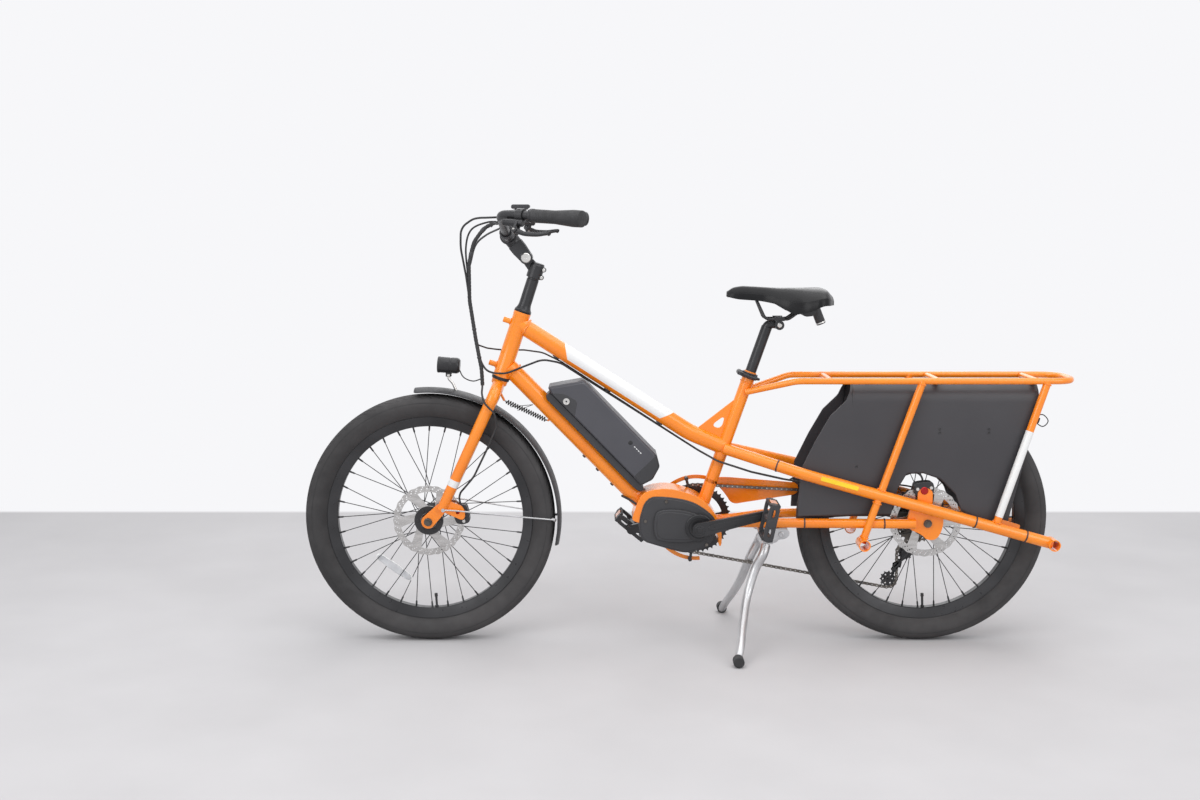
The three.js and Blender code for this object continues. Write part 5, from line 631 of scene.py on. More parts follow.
def motor_outline(shares):
    """Shares of the motor's length and height, placed and softened."""
    return softened(np.array(shares) * (201, 146) + (-111, 235), 2, 16)


def moved_in(outline, margin):
    """An outline whose points move towards its middle by a margin."""
    outline = np.asarray(outline, float)
    middle = outline.mean(0)
    offset = outline - middle
    size = np.linalg.norm(offset, axis=1)[:, None]
    return middle + offset * np.maximum(size - margin, 1) / size


down_shapes = [rod(DOWN_TOP + DOWN_RUN * 4, down_end, 22, 48), plate(motor_outline(BRACKET), -50, 34),
    rod(spring_tab, spring_tab + DOWN_OUT * 22, 3, 16)]
piece("down_tube_pipe", down_shapes, "orange_paint", "frame", "down_tube", bevel=1.4)
seat_shapes = [lathe(oblong(13.9, 0, 16, -300), SEAT_TOP, SEAT_UP, 48),
    rod(SEAT_LOW, SEAT_LOW + SEAT_UP * 70, 16, 48),
    plate([(39, 546), (132.7, 619.5), (98.9, 521.6)], -3, 3,
        [softened([(74, 553), (110, 580), (100, 544)], 2)])]
piece("seat_tube_pipe", seat_shapes, "orange_paint", "frame", "seat_tube", bevel=0.6)

# %% Stays and struts
def stay_height(x):
    """Height of a stay's axis: it falls by 0.28191 mm for each mm of x behind 300."""
    return 443 - 0.28191 * (x - 300)


def main_stay(side):
    """Path of the long stay: from the seat tube outwards, then straight down to the rear."""
    return rounded([(108, side * 17.2, 496), (300, side * 85, 443), (919, side * 85, 268.5)], 120, 20)


def strut(side, foot_x, top_x):
    """The lower and the upper end of a strut between stay and rack rail."""
    return np.array([(foot_x, side * 85, stay_height(foot_x)), (top_x, side * 72, 674)])


STRUTS = ((488, 589), (776.5, 897))
STAY_RUN = unit([619, 0, -174.5])
for side_name, side in SIDES:
    shapes = [tube(main_stay(side), 14.3, 32), ring(14.5, 12, 68, 112, (919, 0, 268.5), (0, side, 0), 40)]
    for foot_x, top_x in STRUTS:
        foot, top = strut(side, foot_x, top_x)
        rise = unit(top - foot)
        shapes += [rod(foot, top, 9.5, 28), bead(foot + rise * 14.6, rise, 10, size=1.7),
            bead(top - rise * 8, rise, 9.9, size=1.6)]
    piece(f"{side_name}_main_stay_pipe", shapes, "orange_paint", "frame", f"{side_name}_main_stay")
print("tubes so far:", [name for name in pieces])

# %% [markdown]
# The chain stays end in flat plates that hold the rear axle. Their outline is a list of corners, softened
# by cutting every corner twice and given its thickness, which is how a cut and tumbled plate looks. A box
# with a bevel would keep its straight corners.

# %% Chain stays, dropouts and lower struts
DROPOUT = [(560, 329), (560, 305), (599, 288), (609, 275), (635, 275), (650, 305), (650, 344.3),
    (572, 369.7)]


def chain_stay(side):
    """Path of the low stay: from the motor bracket, then outwards to the plate at the axle."""
    return rounded([(86, side * 29, 304), (142, side * 29, 309), (215, side * 54, 314),
        (580, side * 80, 317)], 80, 14)


for side_name, side in SIDES:
    foot, top = np.array([(447, side * 85, 270.6), (488, side * 85, stay_height(488))])
    rise = unit(top - foot)
    shapes = [tube(chain_stay(side), 12, 32),
        plate(softened(DROPOUT, 2), *span(side, 67.8, 75.8), [circle((611, 317), 6.3, 28)]),
        rod(foot, top, 9.5, 28), ring(14.5, 12, 74, 122, (447, 0, 270.6), (0, side, 0), 40)]
    if side < 0:
        tab = oblong(586, 322, 623.5, 404.5)
        shapes.append(plate(softened(tab, 2), -67.8, -65.3))
    shapes += [bead(foot + rise * along, rise, 10, size=1.7) for along in (14.5, 106)]
    piece(f"{side_name}_chain_stay_pipe", shapes, "orange_paint", "frame", f"{side_name}_chain_stay",
        bevel=0.5)

# %% Rack rail and its cross tubes
rail = rounded([(160, -17, 640), (279, -72, 674), (968, -72, 674), (968, 72, 674), (279, 72, 674),
    (160, 17, 640)], 60, 14)
rack_shapes = [tube(rail, 8, 28)]
for x in (364, 630, 872):
    rack_shapes.append(pin((x, 0, 674), 72, 7))
    for side in (-1, 1):
        rack_shapes.append(bead((x, side * 64.6, 674), (0, 1, 0), 7.2, size=1.3))
piece("cargo_rack_rail", rack_shapes, "orange_paint", "frame", "cargo_rack")

# %% [markdown]
# Weld beads sit where the main tubes meet and are painted with the frame. A ring with a fine ripple is
# enough at this size; a sculpted bead would cost far more faces for two millimetres.

# %% Weld beads and cable guides
beads = [bead(HEAD_TOP + (-9.7, 0, -28.5) + unit(TOP_TUBE[1] - TOP_TUBE[0]) * 21,
        unit([429, 0, -275]), 21.5),
    bead(DOWN_TOP + DOWN_RUN * 20, DOWN_RUN, 22.4),
    bead(SEAT_LOW + SEAT_UP * 164, SEAT_UP, 16.4, lean=6),
    bead(SEAT_TOP - SEAT_UP * 28, SEAT_UP, 16.2, size=1.6)]
piece("weld_beads", beads, "orange_paint", "frame")
down_of_top = np.array([-0.5397, 0, -0.8418])
guides = []
for x, z in ((-305, 744.3), (-176, 661.6), (-45, 577.7)):
    centre = np.array([x, 0.0, z]) + down_of_top * 20
    guides.append(plate(softened(oblong(-9, -8, 9, 8), 2), -5, 3, origin=centre,
        u=(0.8418, 0, -0.5397), v=(0, 1, 0)))
    guides.append(rod(centre + down_of_top * 3, centre + down_of_top * 7.4, 4.2, 20))
piece("cable_guides", guides, "black_plastic", "frame", bevel=0.8)
bosses = []
for share in (0.62, 0.72, 0.83):
    base = DOWN_TOP + DOWN_RUN * (share * 480) - DOWN_OUT * 20.5
    bosses.append(lathe([(0, 0), (5, 0), (5, 3.6), (4, 5), (2, 5), (2, 3), (0, 3)], base, -DOWN_OUT, 24))
piece("down_tube_bosses", bosses, "black_alloy", "frame")

# %% [markdown]
# ## Side panels
# Each panel is one thin moulded sheet that curves in under the rack. It could be cut from a box, but here
# its outline is filled with a grid of small cells that is bent over one shoulder: a point keeps its place
# along the bike, and its height becomes a distance along the wall, round the bend and inwards.

# %% Panels
PANEL = np.array([(0, 0), (.009, .345), (.07, .573), (.13, .762), (.194, .874), (.24, 1.07), (1, 1.07),
    (.998, .818), (.877, -.132), (.691, .037), (.665, .165), (.599, .281), (.525, .327), (.456, .322),
    (.418, .206), (.393, 0)])
PANEL_LOW, PANEL_HEIGHT = 334, 333.64
PANEL_TOP = PANEL_LOW + PANEL_HEIGHT
WALL_Y = 62.1


def panel_edge(x, front):
    """Height of one edge of the panel at each place along the bike, read between its corners.

    The slanting front edge bounds the panel from above, and the other corners from below.
    """
    outline = PANEL * (593, PANEL_HEIGHT) + (288, PANEL_LOW)
    if front:
        return np.interp(x, outline[:6, 0], outline[:6, 1])
    under = np.concatenate([[outline[0]], outline[:7:-1]])
    return np.interp(x, under[:, 0], under[:, 1])


def panel_sheet(side):
    """Rows along the bike, columns from the lower edge up the wall, round the shoulder and inwards.

    The wall stands at 62.1 mm, the bend has a radius of 46 mm and the top reaches in to 3 mm.
    """
    x = np.concatenate([np.linspace(288.2, 810, 150), np.linspace(812, 880.5, 40)])
    low = np.where(x <= 808, panel_edge(x, False), PANEL_LOW - 0.132 * PANEL_HEIGHT
        + (x - 808) * 316.9 / 71.8)
    shoulder = 46.0
    wall_top = PANEL_TOP - shoulder
    bend = shoulder * math.pi / 2
    inward = WALL_Y - shoulder - 3
    full = (wall_top - low) + bend + inward
    limit = np.where(x < 430.3, panel_edge(x, True), 1e4)
    flat_limit = np.where(limit < wall_top, limit - low, 0)
    drop = np.clip((limit - wall_top) / shoulder, 0, 1)
    over = np.where(limit >= wall_top, wall_top - low + np.arcsin(drop) * shoulder, flat_limit)
    reach = np.where(limit >= PANEL_TOP, full, over)
    s = np.linspace(0, 1, 90)[None] ** 0.85 * reach[:, None]
    wall = (wall_top - low)[:, None]
    turn = np.clip((s - wall) / shoulder, 0, math.pi / 2)
    y = WALL_Y - shoulder + shoulder * np.cos(turn) - np.maximum(s - wall - bend, 0)
    z = np.minimum(low[:, None] + s, wall_top) + shoulder * np.sin(turn)
    points = np.stack([np.broadcast_to(x[:, None], y.shape), side * (y - 1.3), z - 1.3], -1)
    return points.reshape(-1, 3), grid_faces(*y.shape, wrap_columns=False)


for side_name, side in SIDES:
    points, faces = panel_sheet(side)
    points[:, 2] -= 0.2
    piece(f"{side_name}_panel_sheet", [(points, faces)], "panel_plastic", "frame",
        f"{side_name}_side_panel", sharp=50, thick=2.6)
    print(side_name, "panel cells:", len(faces))

# %% Panel bolts
bolts = []
for x, z in ((433, 459), (637, 553), (637, 544), (759, 553), (759, 544)):
    for side in (-1, 1):
        profile = [(0, 1.4), (1.2, 1.4), (1.4, 1), (2.4, 1.5), (3.2, 0.8), (3.4, 0), (0, 0)]
        bolts.append(lathe(profile, (x, side * 62.0, z), (0, side, 0), 20))
piece("panel_bolts", bolts, "black_alloy", "frame")

# %% [markdown]
# ## Wheels
# A wheel is turned about its axle, so tyre, rim and hub are profiles carried round a circle. The tyre's
# grooves come in the same step: the tread's radius drops a little wherever a repeating pattern says so.
# An image of a tread would look flat from the side, where grooves notch the outline.

# %% Tyre with its grooves
AXLES = {"front": np.array([-637.0, 0, 317]), "rear": np.array([611.0, 0, 317])}
TYRE_STEPS = 1080


def tyre(axle):
    """A tyre section carried round the axle; tread radius = r - 1.7 mm where the groove pattern is on."""
    section = np.array([(252.6, 12.6), (254, 14.6), (258, 15.9), (262, 17.6), (268, 22.5), (276, 27.4),
        (286, 30.6), (294, 31.4), (302, 30.2), (307, 28.0), (310.4, 25.2), (312.6, 21.8), (314.4, 17.6),
        (315.6, 13.0), (316.4, 8.6), (316.8, 4.2), (317.0, 0)])
    half = smooth_path(np.c_[section, np.zeros(len(section))], 46)[:, :2]
    other = half[-2::-1] * (1, -1)
    inside = np.array([(309, -20), (309, 20)])
    section = np.concatenate([half, other, inside])
    angle = np.linspace(0, 2 * math.pi, TYRE_STEPS, endpoint=False)
    radius = np.broadcast_to(section[None, :, 0], (TYRE_STEPS, len(section))).copy()
    y = section[None, :, 1]
    slant = np.abs(y) * 0.006
    wave = np.sin((angle[:, None] + slant) * 90)
    shoulder = (np.abs(y) > 8) & (np.abs(y) < 27) & (section[None, :, 0] > 308.5)
    radius -= np.where(shoulder & (wave > 0.55), 1.7, 0)
    ribs = (np.abs(np.abs(y) - 6.4) < 1.2) & (section[None, :, 0] > 312)
    radius -= np.where(ribs, 1.5, 0)
    points = np.stack([radius * np.cos(angle)[:, None], np.broadcast_to(y, radius.shape),
        radius * np.sin(angle)[:, None]], -1) + axle
    return points.reshape(-1, 3), grid_faces(TYRE_STEPS, len(section), wrap_rows=True)


for end, axle in AXLES.items():
    piece(f"{end}_tyre_casing", [tyre(axle)], "tyre_rubber", f"{end}_wheel", f"{end}_tyre", sharp=40)
    lines = [ring(297.5, 296.5, *span(side, 30.9, 31.55), axle, sides=160) for side in (-1, 1)]
    piece(f"{end}_tyre_mould_lines", lines, "rubber", f"{end}_wheel")
print("tyre faces:", len(pieces["front_tyre_casing"].data.polygons))

# %% [markdown]
# Thirty-six thin spokes leave the flanges at a slant and cross each other, with a nipple at the rim. One
# rod is computed for each; copying one spoke round the axle would lose the alternation between the sides.

# %% Rims, spokes and hubs
def spokes(axle, left_flange, right_flange):
    """Straight rods from a flange, 60 degrees ahead or behind, to the rim, and their nipples."""
    rods, nipples = [], []
    for i in range(36):
        side = -1 if i % 2 == 0 else 1
        lead = 1 if (i // 2) % 2 == 0 else -1
        flange = left_flange - 2.7 if side < 0 else right_flange + 2.7
        start = axle + 26 * heading(i * 10 + lead * 60) + (0, flange + lead * 1.3, 0)
        tip = axle + 233 * heading(i * 10) + (0, side * 1.5, 0)
        run = unit(tip - start)
        rods.append(rod(start, tip, 1.05, 10))
        nipples.append(tube([tip - run * 12, tip - run * 9, tip + run * 3], [1.5, 2.3, 2.4], 8))
    return rods, nipples


RIM = [(235, 9), (236.5, 11.2), (248, 15.6), (257.5, 18.4), (259.3, 19), (260, 18.4), (260, 17.2),
    (258.6, 16.6), (254, 15.6), (252.3, 12.9)]
HUBS = {"front": (-49.7, 49.7, -24, 34, -40.8), "rear": (-67.2, 24, -36, 18, -53.8)}
for end, axle in AXLES.items():
    loop = both_ways(RIM)
    piece(f"{end}_rim_hoop", [lathe(loop + loop[:1], axle, sides=180)], "black_alloy", f"{end}_wheel",
        f"{end}_rim", sharp=30)
    left_end, right_end, left_flange, right_flange, rotor_y = HUBS[end]
    profile = [(6.3, left_end), (10.5, left_end), (11.2, left_end + 1), (11.2, rotor_y + 2.2),
        (23, rotor_y + 2.2), (23, left_flange - 5.4), (29, left_flange - 5.4), (30, left_flange - 4.4),
        (30, left_flange - 1), (29, left_flange), (19, left_flange + 4), (16, left_flange + 9),
        (15.4, 0), (16, right_flange - 9), (19, right_flange - 4), (29, right_flange),
        (30, right_flange + 1), (30, right_flange + 4.4), (29, right_flange + 5.4),
        (11.2, right_flange + 5.4), (11.2, right_end - 1), (10.5, right_end), (6.3, right_end)]
    profile.append(profile[0])
    piece(f"{end}_hub_shell", [lathe(profile, axle, sides=72)], "black_alloy", f"{end}_wheel",
        f"{end}_hub", sharp=30)
    rods, nipples = spokes(axle, left_flange, right_flange)
    piece(f"{end}_spokes", rods, "black_alloy", f"{end}_wheel", slot="black_paint")
    piece(f"{end}_spoke_nipples", nipples, "black_alloy", f"{end}_wheel")

# %% [markdown]
# A brake rotor is a thin plate full of openings, with a waved edge, a drilled band and six swept arms.
# The openings are passed to `plate` as further outlines, so no boolean is needed.

# %% Rotors, axles and valves
def rotor(axle, y):
    """A waved disc with drilled rows, six windows and the carrier's bolts."""
    angle = np.linspace(0, 2 * math.pi, 360, endpoint=False)
    edge = 89 + 1.0 * np.cos(angle * 24)
    outline = np.stack([edge * np.cos(angle), edge * np.sin(angle)], -1)
    holes = [circle((0, 0), 20, 40)]
    for i in range(6):
        start = i * 60 + 7.5
        outer = arc((0, 0), 73, start + 6, start + 46, 12)
        inner = arc((0, 0), 37, start + 26, start - 2, 8)
        holes.append(softened(np.concatenate([outer, inner]), 2))
    for i in range(36):
        for radius, shift, size in ((85.2, 0, 1.6), (81.2, 2.6, 1.9), (77, 5.4, 1.5)):
            place = arc((0, 0), radius, i * 10 + shift, i * 10 + shift, 1)[0]
            holes.append(circle(place, size, 10))
    bolts = [lathe([(0, -3.4), (3.6, -3.4), (4.2, -2.8), (4.2, 0), (0, 0)],
        axle + 28 * heading(a) + (0, y, 0), sides=18) for a in range(0, 360, 60)]
    return [plate(outline, y, y + 2, holes, origin=axle)], bolts


for end, axle in AXLES.items():
    disc, bolts = rotor(axle, HUBS[end][4])
    piece(f"{end}_rotor_disc", disc, "steel", f"{end}_wheel", f"{end}_rotor", bevel=0.15)
    carrier = ring(36.5, 20.5, HUBS[end][4] - 1.6, HUBS[end][4] + 2.6, axle, sides=60)
    piece(f"{end}_rotor_carrier", [carrier, *bolts], "black_alloy", f"{end}_wheel")
    nut_start = {"front": 58.4, "rear": 76.0}[end]
    half = [(6, nut_start), (9.5, nut_start), (10.4, nut_start + 0.8), (10.4, nut_start + 2),
        (9, nut_start + 2.4), (9, nut_start + 7), (8, nut_start + 8), (5.4, nut_start + 8),
        (5.4, nut_start + 10), (0, nut_start + 10.4)]
    piece(f"{end}_axle_bar", [lathe(both_ways(half), axle, sides=36)], "dark_steel",
        {"front": "steering", "rear": "frame"}[end], f"{end}_axle", "steel")
    valve = axle + (234 * math.sin(0.05), 0, -234 * math.cos(0.05))
    inward = unit(axle - valve)
    stem = tube([valve - inward * 3, valve + inward * 2, valve + inward * 3, valve + inward * 25,
        valve + inward * 26, valve + inward * 34], [4.6, 4.6, 3, 3, 4.2, 4.0], 16)
    piece(f"{end}_valve_stem", [stem], "rubber", f"{end}_wheel")

# %% Spoke reflector
REFLECTOR_ANGLE = 234
out = heading(REFLECTOR_ANGLE)
at = dict(origin=AXLES["front"] + out * 162, u=out)
outline = softened([(-7, -52), (7, -52), (10, 0), (7, 52), (-7, 52), (-10, 0)], 3)
piece("front_spoke_reflector", [plate(outline, -4, 4, **at)], "clear_lens", "front_wheel", bevel=0.8)
piece("front_reflector_edge", [plate(outline * 1.07, -2.4, 2.4, **at)], "white_paint", "front_wheel",
    bevel=0.5)

# %% [markdown]
# ## Drive
# The chain lies round the chainring, one cog and two pulleys. Its path is made of straight runs that
# touch each circle and of arcs between them, and its links are laid along it at equal distances. A curve
# modifier could carry real links too, but their spacing would not be exact.

# %% Path of the chain
PITCH = 12.7
CHAIN_Y = 47.0


def pitch_radius(teeth):
    """Radius of the circle through the pins: pitch over twice the sine of half a turn over the teeth."""
    return PITCH / (2 * math.sin(math.pi / teeth))


ROUND = ((42, 303, -pitch_radius(44)), (611, 317, -pitch_radius(22)), (586, 214, pitch_radius(11)),
    (542, 143, -pitch_radius(11)))


def chain_path():
    """Tangent runs between the circles, and arcs on them whose side is the sign of the radius."""
    runs = []
    for i, (x, z, radius) in enumerate(ROUND):
        next_x, next_z, next_radius = ROUND[(i + 1) % 4]
        distance = math.hypot(next_x - x, next_z - z)
        runs.append(math.atan2(next_z - z, next_x - x) - math.asin((next_radius - radius) / distance))
    places = []
    for i, (x, z, radius) in enumerate(ROUND):
        arrive, leave = runs[i - 1], runs[i]
        sign = 1 if radius > 0 else -1
        sweep = leave - arrive
        while sweep * sign < 0:
            sweep += sign * 2 * math.pi
        angle = arrive + sweep * np.linspace(0, 1, 90)
        places.append(np.stack([x + radius * np.sin(angle), z - radius * np.cos(angle)], -1))
    return np.concatenate(places)


def evenly(path, count):
    """Places at equal distances along a closed path, and the path's length."""
    closed = np.concatenate([path, path[:1]])
    distance = travelled(closed)
    wanted = np.linspace(0, distance[-1], count, endpoint=False)
    return np.stack([np.interp(wanted, distance, closed[:, k]) for k in (0, 1)], -1), distance[-1]


belt = chain_path()
belt_length = evenly(belt, 10)[1]
link_count = int(round(belt_length / PITCH / 2)) * 2
joints, _ = evenly(belt, link_count)
print("chain:", round(belt_length), "mm and", link_count, "links")

# %% Links, rollers and teeth
def link_outline(start, end, wide, waist):
    """Two round ends joined by a waist, drawn from one joint to the next."""
    run = math.degrees(math.atan2(end[1] - start[1], end[0] - start[0]))
    middle = (start + end) / 2
    across = np.array([-math.sin(math.radians(run)), math.cos(math.radians(run))])
    return np.concatenate([arc(end, wide, run - 70, run + 70, 5), [middle + across * waist],
        arc(start, wide, run + 110, run + 250, 5), [middle - across * waist]])


plates, rollers = [], []
for i in range(link_count):
    start, end = joints[i], joints[(i + 1) % link_count]
    gap = 3.3 if i % 2 else 2.1
    outline = link_outline(start, end, 4.1, 2.9)
    for side in (-1, 1):
        plates.append(plate(outline, *sorted((CHAIN_Y + side * gap, CHAIN_Y + side * (gap - 1.0)))))
    joint = (start[0], CHAIN_Y, start[1])
    rollers += [pin(joint, 3.9, 1.8, 8), pin(joint, 1.1, 3.7, 10)]
piece("chain_link_plates", plates, "dark_steel", "frame", "chain", sharp=30)
piece("chain_rollers", rollers, "steel", "frame")


def toothed(teeth, tip, root):
    """Radius over one tooth: root in the gap, rising to the tip over the middle of the tooth."""
    share = np.array([0, 0.2, 0.36, 0.46, 0.54, 0.64, 0.8])
    level = np.array([0, 0.05, 0.55, 1, 1, 0.55, 0.05])
    angle = ((np.arange(teeth)[:, None] + share[None]) * 2 * math.pi / teeth).ravel()
    radius = root + (tip - root) * np.tile(level, teeth)
    return np.stack([radius * np.cos(angle), radius * np.sin(angle)], -1)


chainring_holes = []
for i in range(5):
    outer = arc((0, 0), 68, i * 72 + 14, i * 72 + 58, 10)
    inner = arc((0, 0), 30, i * 72 + 52, i * 72 + 20, 6)
    chainring_holes.append(softened(np.concatenate([outer, inner]), 2))
chainring = plate(toothed(44, pitch_radius(44) + 1.4, pitch_radius(44) - 4.2), 46, 48, chainring_holes,
    origin=CRANK)
lip = ring(84.5, 81, 48, 49.4, CRANK, sides=120)
piece("chainring_disc", [chainring, lip], "black_alloy", "cranks")
pulleys = (("upper_pulley", (586, 0, 214)), ("lower_pulley", (542, 0, 143)))
for name, place in pulleys:
    holes = [circle(arc((0, 0), 12.5, a, a, 1)[0], 2.2, 14) for a in range(0, 360, 60)]
    wheel = plate(toothed(11, pitch_radius(11) - 1, pitch_radius(11) - 5), 46, 48,
        [circle((0, 0), 3.4, 20), *holes], origin=place)
    hub = ring(8, 3.5, 41.4, 52.6, place, sides=32)
    piece(f"{name}_wheel", [wheel, hub], "black_plastic", name, name)

# %% [markdown]
# The cassette is a stack of toothed rings on one hub, made by the same tooth rule as the chainring, with
# fewer teeth towards the outside. Real teeth cost faces, but a plain disc would show.

# %% Cassette and derailleur
cog_shapes = []
for teeth, y in ((36, 26.6), (32, 30.2), (28, 33.8), (25, 37.4), (22, 46), (18, 51.4), (15, 55), (12, 58.6)):
    radius = pitch_radius(teeth)
    top = min(radius + 1.6, 73) if teeth != 22 else radius - 3.6
    holes = [circle((0, 0), 12, 30)]
    if teeth > 20:
        holes += [softened(np.concatenate([arc((0, 0), radius - 9, a + 10, a + 50, 8),
            arc((0, 0), 24, a + 44, a + 16, 5)]), 1) for a in range(0, 360, 60)]
    cog_shapes.append(plate(toothed(teeth, top, top - 4.6), y, y + 1.7, holes, origin=AXLES["rear"]))
cog_shapes.append(ring(16, 7, 26, 61, AXLES["rear"], sides=40))
cog_shapes.append(lathe([(7, 60), (18, 60), (19, 61), (18, 62.8), (7, 62.8), (7, 60)], AXLES["rear"],
    sides=40))
piece("cassette_cogs", cog_shapes, "dark_steel", "cassette", "cassette")

upper, lower = np.array([586.0, 214]), np.array([542.0, 143])
run = math.degrees(math.atan2(*(lower - upper)[::-1]))
cage = np.concatenate([arc(lower, 13, run - 90, run + 90, 14), [(upper + lower) / 2 + (-9, 4.4)],
    arc(upper, 13, run + 90, run + 270, 14), [(upper + lower) / 2 + (9, -4.4)]])
cage_hole = link_outline(upper + (lower - upper) * 0.36, upper + (lower - upper) * 0.66, 6, 4.6)
cages = [plate(cage, 39, 41, [cage_hole]), plate(cage, 53, 55, [cage_hole])]
for x, z in (upper, lower):
    cages.append(rod((x, 38.5, z), (x, 56.4, z), 2.8, 16))
    cages.append(lathe([(0, 3), (3.6, 3), (4.4, 2.2), (4.4, 0), (0, 0)], (x, 54.8, z), sides=20))
piece("derailleur_cage", cages, "black_alloy", "frame", slot="black_paint", bevel=0.4)
knuckle = np.array([622.0, 76.1, 288])
body_path = smooth_path([knuckle + (0, 12, 0), knuckle + (4, 14, -16), (612, 88, 262), (598, 82, 240),
    (588, 68, 222)], 20)
knuckles = [lathe([(0, 0), (13, 0), (14, 1.4), (14, 17), (12.6, 19), (5, 19.4), (4.6, 17), (0, 17)],
    knuckle, sides=40), tube(body_path, np.linspace(11.5, 9.5, 20), 20, flat=0.7),
    lathe([(0, -14), (12.6, -14), (13.4, -13), (13.4, 8), (12, 10), (0, 10)], (586, 69, 214), sides=40),
    tube(smooth_path([(604, 84, 250), (618, 88, 262), (628, 86, 282)], 8), 4.4, 14)]
piece("derailleur_body", knuckles, "black_alloy", "frame", "derailleur", bevel=0.5)

# %% Crank arms, chainring boss and spindle
CRANK_RUN = heading(13)


def crank_arm(direction, low, high):
    """An arm whose half width eases from 18 mm at the eye to 12 mm at the pedal; its raised middle is made by
    arm_ridge.
    """
    share = np.linspace(0, 1, 30)
    half = 12 + 6 * (1 - share) ** 1.6
    upper_edge = np.stack([share * 170, half], -1)
    outline = np.concatenate([upper_edge, arc((170, 0), 13, 78, -78, 14), upper_edge[::-1] * (1, -1),
        arc((0, 0), 18, -100, -260, 16)])
    return plate(outline * (direction, 1), low, high, origin=CRANK, u=CRANK_RUN)


def arm_ridge(direction, y, step):
    """The raised middle of an arm: a softened outline along the crank, given a thickness of one step."""
    outline = np.array([(22, -7.4), (148, -5.6), (156, -3), (156, 3), (148, 5.6), (22, 7.4)])
    return plate(softened(outline, 1) * (direction, 1), *sorted((y, y + step)), origin=CRANK, u=CRANK_RUN)


arms = {
    "left": [crank_arm(1, -92, -81), arm_ridge(1, -92, -1.4),
        lathe([(0, -94.5), (7, -94.5), (7, -93), (12.4, -93), (13, -92.2), (13, -81), (0, -81)], CRANK,
            sides=48)],
    "right": [crank_arm(-1, 81, 92), arm_ridge(-1, 92, 1.4),
        lathe([(0, 94.5), (7, 94.5), (7, 93), (12.4, 93), (13, 92.2), (13, 81), (19.6, 81), (19.6, 49),
            (24, 48), (24, 45.6), (12, 45.6), (12, -84), (0, -84)], CRANK, sides=48)],
}
for (side_name, side), direction in zip(SIDES, (1, -1)):
    end = CRANK + CRANK_RUN * 170 * direction
    spindle = lathe([(0, 80.8), (8.4, 80.8), (8.4, 95), (7.2, 95), (5, 97), (5, 171), (0, 171)], end,
        (0, side, 0), 28)
    piece(f"{side_name}_crank_arm", [*arms[side_name], spindle], "black_alloy", "cranks",
        f"{side_name}_crank", bevel=1.1)
ring_bolts = [lathe([(0, 50.4), (3.4, 50.4), (4, 49.6), (4, 46), (0, 46)],
    CRANK + 72 * heading(a), sides=16) for a in range(0, 360, 72)]
piece("chainring_bolts", ring_bolts, "bright_steel", "cranks")

# %% [markdown]
# Each pedal has a barrel on the spindle, two end bars with a row of grip ribs, side walls and an amber
# reflector in front and behind. The ribs are small blocks repeated along the bars. The pedal is turned
# about its own spindle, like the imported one.

# %% Pedals
def pedal_shapes(centre, angle, inner, outer):
    """Frame, barrel, ribs and reflectors of a pedal turned by an angle about the spindle."""
    low, high = sorted((inner, outer))
    at = dict(origin=centre, u=heading(-angle))
    frame_outline = softened(oblong(-47, -12.6, 47, 12.6), 2)
    window = [softened(oblong(-34, -4, -14, 4) * (s, 1), 1) for s in (1, -1)]
    dark = [plate(frame_outline, low, low + 8, window, **at),
        plate(frame_outline, high - 8, high, window, **at),
        lathe([(5.3, 97.6), (11, 97.6), (10, 106), (10, 180), (11.5, 181), (11.5, 188.4), (10.8, 189),
            (0, 189), (0, 185), (5.3, 185), (5.3, 97.6)], centre, (0, np.sign(outer), 0), 36)]
    for side in (-1, 1):
        bar = softened(oblong(38, -13, 47, 13) * (side, 1), 2)
        dark.append(plate(bar, low + 5, low + 24, **at))
        dark.append(plate(bar, high - 24, high - 5, **at))
        thin = softened(oblong(38, -13, 43, 13) * (side, 1), 1)
        dark.append(plate(thin, low + 23, high - 23, **at))
        for top in (-1, 1):
            for k in range(12):
                y = low + 9 + k * (high - low - 18) / 11
                rib = np.array([(38.5, 11.5), (46.5, 11.5), (45.6, 13.6), (39.4, 13.6)]) * (side, top)
                dark.append(plate(rib, y - 1.4, y + 1.4, **at))
    lens = [plate(oblong(42.5, -8.6, 46.6, 8.6) * (side, 1), low + 25, high - 25, **at) for side in (-1, 1)]
    return dark, lens


for (side_name, side), direction, angle in zip(SIDES, (1, -1), (-78, 40)):
    centre = CRANK + CRANK_RUN * 170 * direction
    dark, lens = pedal_shapes(centre, angle, side * 98, side * 188)
    piece(f"{side_name}_pedal_frame", dark, "black_plastic", f"{side_name}_pedal", f"{side_name}_pedal",
        bevel=0.6)
    piece(f"{side_name}_pedal_reflectors", lens, "amber_lens", f"{side_name}_pedal", bevel=0.5)
print("drive pieces are made; objects:", len(pieces))

# %% [markdown]
# ## Motor, guard and kickstand
# The motor is a cast shell with a raised cover on its left side and a round disc behind the crank. Both
# outlines are softened corner lists; a bevel modifier rounds their edges, since a casting has no sharp
# ones.

